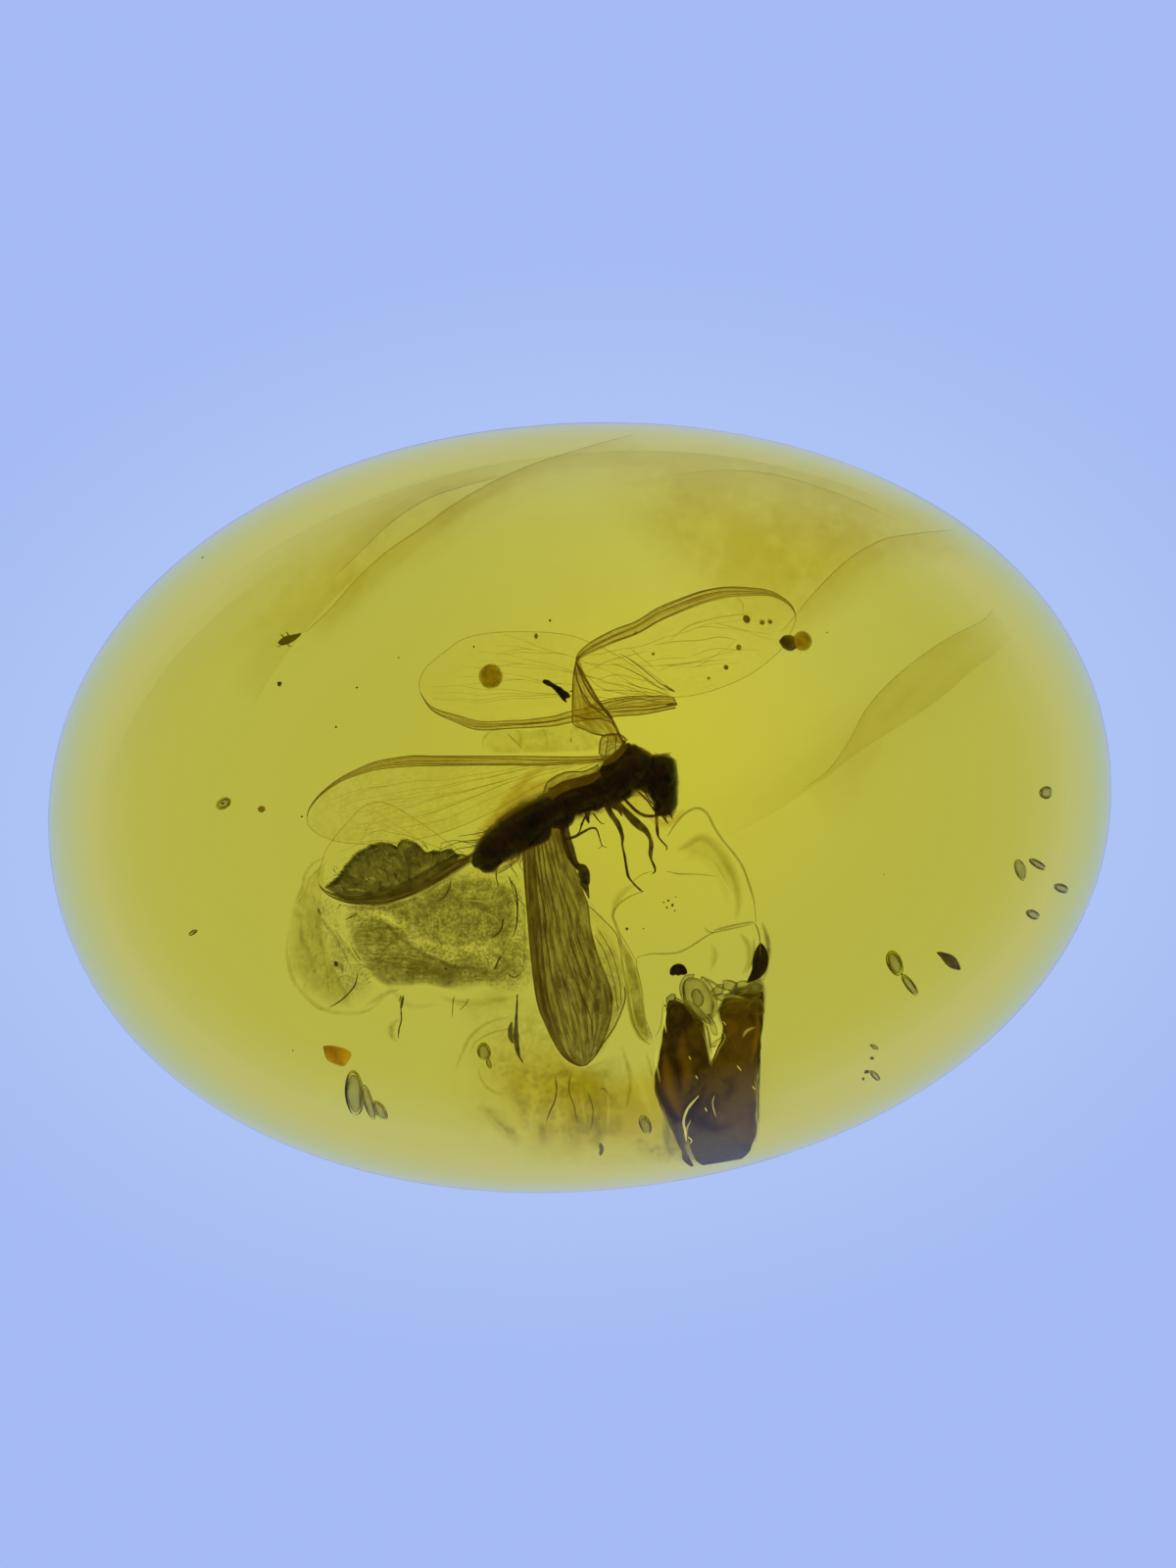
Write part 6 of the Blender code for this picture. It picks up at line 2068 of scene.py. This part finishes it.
@dataclass
class Grit:
    """The midge, splinter, needle, orange flake and specks that lie by the insect."""

    specks: Rows = ((-6.18, 3.02, 2.1, 0.055), (-4.53, 2.80, 2.1, 0.022), (-5.03, 2.03, 2.1, 0.026),
        (-0.33, 3.88, 2.4, 0.026), (-1.99, 3.46, 2.4, 0.022), (-3.60, 3.35, 2.2, 0.016),
        (-7.90, 6.10, 1.6, 0.030), (0.80, -2.53, 2.0, 0.034), (1.15, -2.55, 2.0, 0.018),
        (1.72, -2.02, 2.0, 0.024), (1.80, -2.12, 2.0, 0.028), (1.68, -2.16, 2.0, 0.020),
        (1.88, -1.96, 2.0, 0.016), (1.62, -2.05, 2.0, 0.016), (1.84, -2.24, 2.0, 0.018),
        (-5.42, -2.82, 2.0, 0.060), (-3.10, -3.07, 2.0, 0.030), (-5.90, 0.25, 2.1, 0.020),
        (5.55, 3.20, 2.2, 0.016), (-6.55, -4.60, 2.0, 0.014), (0.02, -0.34, 2.2, 0.030),
        (6.35, -1.85, 2.0, 0.014), (-8.46, -2.00, 2.2, 0.030), (-7.60, 0.66, 2.2, 0.040),
        (1.49, -4.17, 2.0, 0.025), (1.48, 3.54, 3.02, 0.022), (5.86, -5.67, 1.6, 0.045),
        (5.74, -5.98, 1.6, 0.055), (5.66, -6.14, 1.6, 0.040))
    needle: Rows = ((-1.63, -3.70, 2.00, 0.012), (-1.66, -3.95, 2.00, 0.022), (-1.70, -4.25, 2.00, 0.035),
        (-1.73, -4.50, 2.00, 0.055), (-1.73, -4.80, 2.00, 0.055), (-1.70, -5.00, 2.00, 0.030),
        (-1.63, -5.14, 2.00, 0.010))
    needle_side: Rows = ((-1.80, -4.28, 2.02, 0.020), (-1.84, -4.42, 2.02, 0.050),
        (-1.85, -4.58, 2.02, 0.050), (-1.81, -4.72, 2.02, 0.018))
    midge: Rows = ((-6.16, 3.88, 2.10, 0.030), (-6.08, 3.89, 2.10, 0.075), (-5.98, 3.92, 2.10, 0.085),
        (-5.86, 3.95, 2.10, 0.080), (-5.75, 3.99, 2.10, 0.050), (-5.66, 4.03, 2.10, 0.016))
    midge_legs: tuple[Rows, ...] = (((-6.02, 3.95, 2.10, 0.016), (-6.07, 4.03, 2.12, 0.012),
        (-6.12, 4.06, 2.12, 0.006)), ((-5.92, 3.98, 2.10, 0.016), (-5.95, 4.06, 2.12, 0.012),
        (-6.00, 4.10, 2.12, 0.006)), ((-5.98, 3.86, 2.10, 0.014), (-5.94, 3.80, 2.12, 0.010),
        (-5.88, 3.78, 2.12, 0.006)), ((-6.10, 3.84, 2.10, 0.012), (-6.16, 3.80, 2.12, 0.008),
        (-6.20, 3.82, 2.12, 0.005)))
    splinter: Rows = ((-0.57, 2.66, 2.82, 0.035), (-0.48, 2.62, 2.83, 0.055), (-0.36, 2.54, 2.84, 0.050),
        (-0.22, 2.42, 2.84, 0.070), (-0.10, 2.33, 2.84, 0.075), (-0.03, 2.30, 2.84, 0.030))
    splinter_fork: Rows = ((-0.24, 2.38, 2.82, 0.040), (-0.17, 2.28, 2.82, 0.040), (-0.11, 2.18, 2.82, 0.012))
    side_drop: Rows = ((7.40, -3.57, 1.90, 0.020), (7.52, -3.64, 1.90, 0.075), (7.68, -3.77, 1.90, 0.130),
        (7.80, -3.89, 1.90, 0.100), (7.90, -3.99, 1.90, 0.030))
    dash: Rows = ((-0.02, 2.40, 2.84, 0.010), (0.02, 2.41, 2.84, 0.014), (0.06, 2.40, 2.84, 0.008))
    flake: Rows = ((-5.86, -4.50), (-5.70, -4.50), (-5.52, -4.54), (-5.36, -4.60), (-5.27, -4.70),
        (-5.33, -4.82), (-5.45, -4.94), (-5.62, -4.90), (-5.76, -4.82), (-5.83, -4.72))

    @staticmethod
    def twig(draft: Draft, rows: Rows, seed: float, rough: float = 0.2, flatness: float = 0.7) -> None:
        """Add a rough tapering form along places that end in a radius."""
        line = smooth_line(rows, 10 * len(rows))
        draft.tube(line[:, :3], line[:, 3] * (1 + rough * ripple(line[:, :3], 9.0, seed)), 10, flatness)

    def build(self) -> None:
        """Make the small pieces."""
        midge = Draft()
        for number, rows in enumerate((self.midge, *self.midge_legs)):
            self.twig(midge, rows, number)
        settle(midge.build("midge_body", GRIT), Slot.DEBRIS, "midge")
        splinter = Draft()
        for number, rows in enumerate((self.splinter, self.splinter_fork, self.dash)):
            self.twig(splinter, rows, number + 5, 0.35)
        settle(splinter.build("wood_splinter", GRIT), Slot.DEBRIS, "splinter")
        needle = Draft()
        for number, rows in enumerate((self.needle, self.needle_side)):
            self.twig(needle, rows, number + 9, 0.25)
        settle(needle.build("leaf_needle", BLACK_LINE), Slot.DEBRIS, "needle")
        flake = Draft()
        flake.patch(
            self.flake, (-5.56, -4.70), level(1.82, 0.05, 5.0, 3), 0.16, rim_fade(0.99), rings=16, sides=80
        )
        settle(flake.build("amber_flake", ORANGE_FLAKE), Slot.FLAKE, "orange_flake")
        specks = Draft()
        rng = random.Random(3)
        for number, (x, y, z, radius) in enumerate(self.specks):
            sizes = (radius * rng.uniform(0.9, 1.25), radius * rng.uniform(0.7, 1.0), radius * 0.7)
            specks.pebble((x, y, z), sizes, rng.uniform(0, 180), lumps=0.45, seed=number, detail=10)
        settle(specks.build("dust_specks", DARK_DROPLET), Slot.DEBRIS)
        blob = Draft()
        blob.pebble((4.74, 3.08, 2.74), (0.21, 0.17, 0.12), -18.0, lumps=0.12, seed=77, detail=18)
        blob.pebble((4.70, 3.10, 2.74), (0.12, 0.10, 0.08), -18.0, lumps=0.12, seed=78, detail=18)
        self.twig(blob, self.side_drop, 21.0, 0.08)
        settle(blob.build("dark_droplet", DARK_DROPLET), Slot.DEBRIS)




# ---------------------------------------------------------------- the wings and folds of this insect


WINGS = (
    Wing("wing_upper_right", "wing_upper_right", ((0.16, 3.02), (0.22, 3.17), (0.50, 3.38), (1.00, 3.60),
        (1.50, 3.75), (2.00, 4.00), (2.50, 4.17), (3.00, 4.30), (3.50, 4.35), (4.00, 4.30), (4.40, 4.22),
        (4.70, 4.05), (4.88, 3.85), (4.95, 3.60)), ((0.20, 2.90), (0.60, 2.45), (1.00, 2.30), (1.60, 2.20),
        (2.20, 2.11), (2.80, 2.15), (3.40, 2.30), (3.90, 2.50), (4.30, 2.75), (4.60, 3.00), (4.82, 3.33),
        (4.93, 3.54)), 2.66, CLEAR_MEMBRANE, (0.30, 0.22, 0.18, 0.15, 0.13, 0.12, 0.10, 0.08, 0.10),
        GOLDEN_BAND, veins=2, creases=5, seed=1),
    Wing("wing_upper_left", "wing_upper_left", ((2.20, 1.88), (1.50, 1.80), (0.90, 1.80), (0.00, 1.75),
        (-0.50, 1.70), (-1.30, 1.72), (-1.90, 1.73), (-2.20, 1.80), (-2.50, 1.95), (-2.80, 2.10),
        (-3.00, 2.25), (-3.15, 2.50), (-3.22, 2.70)), ((2.17, 2.10), (1.73, 2.45), (1.12, 3.00), (0.30, 3.45),
        (-0.20, 3.60), (-0.80, 3.68), (-1.40, 3.72), (-1.90, 3.70), (-2.30, 3.60), (-2.70, 3.35),
        (-3.00, 3.15), (-3.15, 2.95), (-3.21, 2.78)), 2.42, FINE_MEMBRANE,
        (0.90, 0.45, 0.28, 0.16, 0.11, 0.08, 0.085, 0.10, 0.08, 0.04), GOLDEN_BAND, veins=4, creases=4,
        seed=2),
    Wing("wing_left", "wing_left", ((0.70, 1.00), (0.00, 1.03), (-1.00, 1.12), (-2.00, 1.20), (-3.00, 1.28),
        (-3.50, 1.32), (-4.20, 1.27), (-4.70, 1.12), (-5.10, 0.95), (-5.50, 0.68), (-5.75, 0.40),
        (-5.82, 0.15)), ((0.53, 0.90), (-0.82, 0.52), (-1.84, 0.05), (-2.96, -0.31), (-4.08, -0.44),
        (-4.98, -0.37), (-5.50, -0.20), (-5.70, -0.05), (-5.80, 0.08)), 2.36, SPECKLED_MEMBRANE,
        (0.80, 0.42, 0.32, 0.20, 0.15, 0.13, 0.125, 0.10, 0.06, 0.04, 0.04), GOLDEN_BAND, veins=5, creases=4,
        seed=3),
    Wing("wing_lower_left", "wing_lower_left", ((-2.40, -0.92), (-3.00, -1.20), (-3.70, -1.52),
        (-4.30, -1.62), (-4.90, -1.62), (-5.30, -1.50), (-5.55, -1.33), (-5.66, -1.15)), ((-2.45, -0.82),
        (-2.90, -0.45), (-3.40, -0.05), (-3.90, 0.30), (-4.30, 0.44), (-4.60, 0.34), (-4.90, 0.10),
        (-5.20, -0.20), (-5.45, -0.50), (-5.60, -0.85), (-5.66, -1.08)), 2.08, FINE_MEMBRANE,
        (0.95, 0.42, 0.26, 0.18, 0.13, 0.11, 0.10, 0.11, 0.12), BROWN_BAND, veins=3, creases=5,
        crease=BLACK_LINE, seed=4),
    Wing("wing_lower", "wing_lower", ((-1.18, -0.32), (-1.27, -0.80), (-1.28, -2.00), (-1.27, -3.20),
        (-1.22, -3.90), (-1.10, -4.30), (-0.95, -4.70), (-0.75, -5.05), (-0.50, -5.24), (-0.32, -5.27)),
        ((-0.42, -0.25), (-0.20, -1.20), (-0.05, -1.75), (0.02, -2.00), (0.03, -2.40), (0.10, -2.80),
        (0.20, -3.20), (0.30, -3.50), (0.38, -3.85), (0.35, -4.15), (0.25, -4.50), (0.10, -4.80),
        (-0.10, -5.10), (-0.28, -5.25)), 1.70, DARK_MEMBRANE,
        (0.30, 0.25, 0.21, 0.20, 0.185, 0.17, 0.14, 0.12, 0.10), BROWN_BAND, veins=5, creases=3,
        vein=DARK_VEIN, vein_radius=0.012, seed=5),
)

FOLDS = (
    Gusset("wing_stem",
        ((0.22, 3.14), (0.36, 2.62), (0.60, 2.14), (0.78, 1.90), (0.88, 1.66), (0.97, 1.42), (1.05, 1.20)),
        ((0.13, 2.98), (0.07, 2.68), (0.03, 2.32), (0.00, 1.98), (0.02, 1.72), (0.24, 1.58), (0.62, 1.40)),
        2.60, GOLDEN_BAND,
        (((0.16, 3.00), (0.35, 2.60), (0.60, 2.10), (0.75, 1.90), (0.86, 1.68), (0.97, 1.40), (1.05, 1.18)),
            ((0.16, 3.00), (0.12, 2.75), (0.25, 2.35), (0.45, 2.05), (0.70, 1.94), (0.80, 1.84)),
            ((0.16, 3.00), (0.28, 2.60), (0.45, 2.25), (0.65, 2.00), (0.82, 1.74)), ((0.16, 3.00),
            (0.08, 2.70), (0.03, 2.30), (0.00, 1.95), (0.00, 1.72), (0.20, 1.60), (0.50, 1.46), (0.92, 1.42)),
            ((0.14, 2.90), (0.18, 2.50), (0.30, 2.15), (0.55, 1.95), (0.80, 1.70), (0.95, 1.45)),
            ((0.02, 1.90), (0.30, 1.80), (0.60, 1.78), (0.86, 1.66))),
        (0.030, 0.014, 0.020, 0.014, 0.012, 0.012),
    ),
    Gusset("wing_scale",
        ((-0.76, 0.34), (-0.62, 0.58), (-0.25, 0.74), (0.15, 0.73), (0.46, 0.84)),
        ((-0.56, 0.20), (-0.32, 0.34), (0.00, 0.42), (0.25, 0.46), (0.51, 0.60)),
        2.62, GOLDEN_FILM,
        (((-0.76, 0.33), (-0.62, 0.58), (-0.25, 0.74), (0.15, 0.73), (0.46, 0.84)), ((-0.60, 0.40),
            (-0.30, 0.56), (0.10, 0.58), (0.44, 0.68))),
        (0.016, 0.011), (0.55, 1.25),
    ),
    Gusset("wing_lobe",
        ((0.50, 1.06), (0.54, 1.30), (0.61, 1.42), (0.75, 1.45), (0.98, 1.42), (1.12, 1.30)),
        ((0.60, 0.80), (0.70, 0.84), (0.80, 0.88), (0.90, 0.94), (1.00, 1.02), (1.10, 1.14)),
        2.58, GOLDEN_FILM,
        (((0.50, 1.06), (0.54, 1.30), (0.61, 1.42), (0.75, 1.45), (0.98, 1.42), (1.12, 1.30)), ((0.62, 0.90),
            (0.66, 1.15), (0.72, 1.40)), ((0.85, 0.95), (0.86, 1.20), (0.90, 1.42))),
        (0.018, 0.010, 0.012), (0.9, 1.2),
    ),
    Gusset("wing_lower_fold",
        ((-0.05, -1.75), (0.02, -2.00), (0.03, -2.40), (0.10, -2.80), (0.20, -3.20), (0.30, -3.50),
            (0.38, -3.85), (0.35, -4.15), (0.25, -4.50), (0.10, -4.82)),
        ((0.00, -1.80), (0.30, -2.25), (0.58, -2.62), (0.64, -3.10), (0.68, -3.60), (0.66, -3.95),
            (0.55, -4.22), (0.35, -4.56), (0.22, -4.74), (0.12, -4.86)),
        1.82, SPECKLED_MEMBRANE,
        (((0.66, -3.70), (0.65, -3.95), (0.55, -4.20), (0.35, -4.55), (0.10, -4.85), (-0.08, -5.10)),
            ((0.03, -2.00), (0.30, -2.28), (0.56, -2.60), (0.62, -2.90)), ((0.10, -2.60), (0.30, -3.00),
            (0.44, -3.60), (0.48, -4.20)), ((0.20, -2.50), (0.44, -3.00), (0.56, -3.60), (0.56, -4.10))),
        (0.018, 0.010, 0.009, 0.009),
    ),
)


# ---------------------------------------------------------------- the stage


@dataclass(frozen=True)
class LightTable(Finish):
    """The pale blue lit panel under the stone, painted warmer and brighter under and beside the stone as a
    pool of light.

    Attributes:
        panel: Its own colour.
        near: Its painted glow beside the stone.
        under: Its painted warmer light under the stone.
        heart: Its painted brighter light under the thickest part of the stone.
        painted_peak: Its colour at the painted brightest spot under the stone.
        middle: The place under the stone's middle, in millimetres.
        half: Half the stone's length and width.
        painted_peak_at: The place of the painted brightest spot.
        painted_peak_reach: How far the painted brightest spot reaches.
        near_ends: Shares of the outline between which the colour beside the stone comes up.
        under_ends: The same for the colour under the stone.
        heart_ends: The same for the colour under its thickest part.
        no_height: Divides a place's height away, so that only the plan counts.
    """

    panel: Colour = BACKDROP
    near: Colour = (0.418, 0.545, 0.915)
    under: Colour = (0.540, 0.550, 0.620)
    heart: Colour = (0.560, 0.570, 1.450)
    painted_peak: Colour = (0.665, 0.670, 1.500)
    middle: Row = (0.0, 0.0)
    half: Row = (12.0, 8.6)
    painted_peak_at: Row = (2.0, 1.8)
    painted_peak_reach: float = 6.0
    near_ends: Row = (1.5, 1.0)
    under_ends: Row = (0.97, 0.82)
    heart_ends: Row = (0.90, 0.35)
    no_height: float = 1.0e6

    def distance(self, desk: NodeDesk, centre: Row, half: Row) -> bpy.types.NodeSocket:
        """Return how far a place lies from a centre, as a share of half sizes."""
        place = Effect.place_in_mm(desk)
        steps = (("SUBTRACT", (*centre, 0.0)), ("DIVIDE", (*half, self.no_height)))
        for operation, amount in steps:
            place = desk.place("ShaderNodeVectorMath", {0: place, 1: amount}, operation=operation).outputs[0]
        return desk.place("ShaderNodeVectorMath", {0: place}, operation="LENGTH").outputs[1]

    def wire(self, desk: NodeDesk) -> None:
        """Drive the panel's light by the place on it, with a painted pool of light under and beside the
        stone.
        """
        share = self.distance(desk, self.middle, self.half)
        inner = desk.soften(share, *self.under_ends)
        far = self.distance(desk, self.painted_peak_at, (self.painted_peak_reach, self.painted_peak_reach))
        bright = desk.work("MULTIPLY", desk.soften(far, 1.0, 0.0), inner)
        # Painted light: the glow beside the stone, the warmer light under it, the brighter light under its
        # thickest part and the brightest spot.
        colour = desk.blend(self.panel, self.near, desk.soften(share, *self.near_ends))
        colour = desk.blend(colour, self.under, inner)
        colour = desk.blend(colour, self.heart, desk.soften(share, *self.heart_ends))
        colour = desk.blend(colour, self.painted_peak, bright)
        skin = desk.place(
            "ShaderNodeBsdfPrincipled",
            {
                "Base Color": (0.01, 0.01, 0.012),
                "Roughness": 0.6,
                "Specular IOR Level": 0.0,
                "Emission Color": colour,
                "Emission Strength": 1.0,
            },
        )
        desk.place("ShaderNodeOutputMaterial", {"Surface": skin.outputs[0]})


@dataclass
class Studio:
    """The camera straight over the stone, the lit panel under it and the soft light round it.

    Attributes:
        eye: The camera's place.
        roll: Degrees that the camera is turned about the vertical.
        lens: Focal length.
        floor_height: Height of the panel.
        floor_half: Half its side.
        overhead: Light from straight up.
        horizon: Light from the sides.
        horizon_reach: How high the light from the sides reaches, 1 for straight up.
        tint: Colour of the light from all round.
        sensor: Width of the camera's sensor.
        bounces: How often light may turn in the clear stone.
        see_through: How many thin films a ray may pass.
    """

    eye: Row = (0.223, 0.502, 131.3)
    roll: float = -4.4
    lens: float = 133.1
    floor_height: float = -0.02
    floor_half: float = 400.0
    overhead: float = 0.03
    horizon: float = 1.0
    horizon_reach: float = 0.45
    tint: Colour = (0.46, 0.57, 0.94)
    sensor: float = 36.0
    bounces: int = 12
    see_through: int = 48

    def build_floor(self) -> None:
        """Make the lit panel."""
        half, height = self.floor_half * MM, self.floor_height * MM
        mesh = bpy.data.meshes.new("lit_panel")
        corners = [(-half, -half, height), (half, -half, height), (half, half, height), (-half, half, height)]
        mesh.from_pydata(corners, [], [(0, 1, 2, 3)])
        mesh.materials.append(LightTable("light table").material())
        floor = bpy.data.objects.new("lit_panel", mesh)
        bpy.context.scene.collection.objects.link(floor)

    def build_world(self) -> None:
        """Light the scene from all round, dim overhead and brighter near the horizon."""
        world = bpy.data.worlds.new("soft room")
        world.use_nodes = True
        world.node_tree.nodes.clear()
        desk = NodeDesk(world.node_tree)
        way = desk.place("ShaderNodeTexCoord").outputs["Generated"]
        rise = desk.place("ShaderNodeSeparateXYZ", {0: way}).outputs[2]
        level = desk.fit(rise, 0.0, self.horizon_reach, self.horizon, self.overhead)
        is_camera = desk.place("ShaderNodeLightPath").outputs["Is Camera Ray"]
        unseen = desk.work("MULTIPLY", level, desk.work("SUBTRACT", 1.0, is_camera))
        strength = desk.work("ADD", unseen, is_camera)
        colour = desk.blend(self.tint, BACKDROP, is_camera)
        shade = desk.place("ShaderNodeBackground", {"Color": colour, "Strength": strength})
        desk.place("ShaderNodeOutputWorld", {"Surface": shade.outputs[0]})
        world.cycles.sampling_method = "NONE"
        bpy.context.scene.world = world

    def build_camera(self) -> None:
        """Set the camera over the stone, looking straight down."""
        lens = bpy.data.cameras.new("overhead")
        lens.lens = self.lens
        lens.sensor_width = self.sensor
        lens.clip_start = MM
        lens.clip_end = 10.0
        camera = bpy.data.objects.new("overhead", lens)
        camera.location = Vector(self.eye) * MM
        camera.rotation_euler = (0.0, 0.0, math.radians(self.roll))
        bpy.context.scene.collection.objects.link(camera)
        bpy.context.scene.camera = camera

    def build(self) -> None:
        """Make the stage and set the light paths that the clear stone needs."""
        self.build_floor()
        self.build_world()
        self.build_camera()
        scene = bpy.context.scene
        scene.view_settings.view_transform = "Standard"
        scene.cycles.max_bounces = self.bounces
        scene.cycles.transmission_bounces = self.bounces
        scene.cycles.diffuse_bounces = 2
        scene.cycles.transparent_max_bounces = self.see_through


def main() -> None:
    """Build the stone and everything in it."""
    logging.basicConfig(level=logging.INFO, format="%(name)s: %(message)s")
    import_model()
    lower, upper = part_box("amber_lower"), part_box("amber_upper")
    low = Vector([min(lower[0][axis], upper[0][axis]) for axis in range(3)])
    high = Vector([max(lower[1][axis], upper[1][axis]) for axis in range(3)])
    inside = (*WINGS, *FOLDS, Blotch(), Termite(), *VEILS, Strokes(), *THREADS, FlowFaces(), Bark(), Grit())
    for part in (Stone(low, high), *inside, Studio()):
        part.build()


if __name__ == "__main__":
    main()
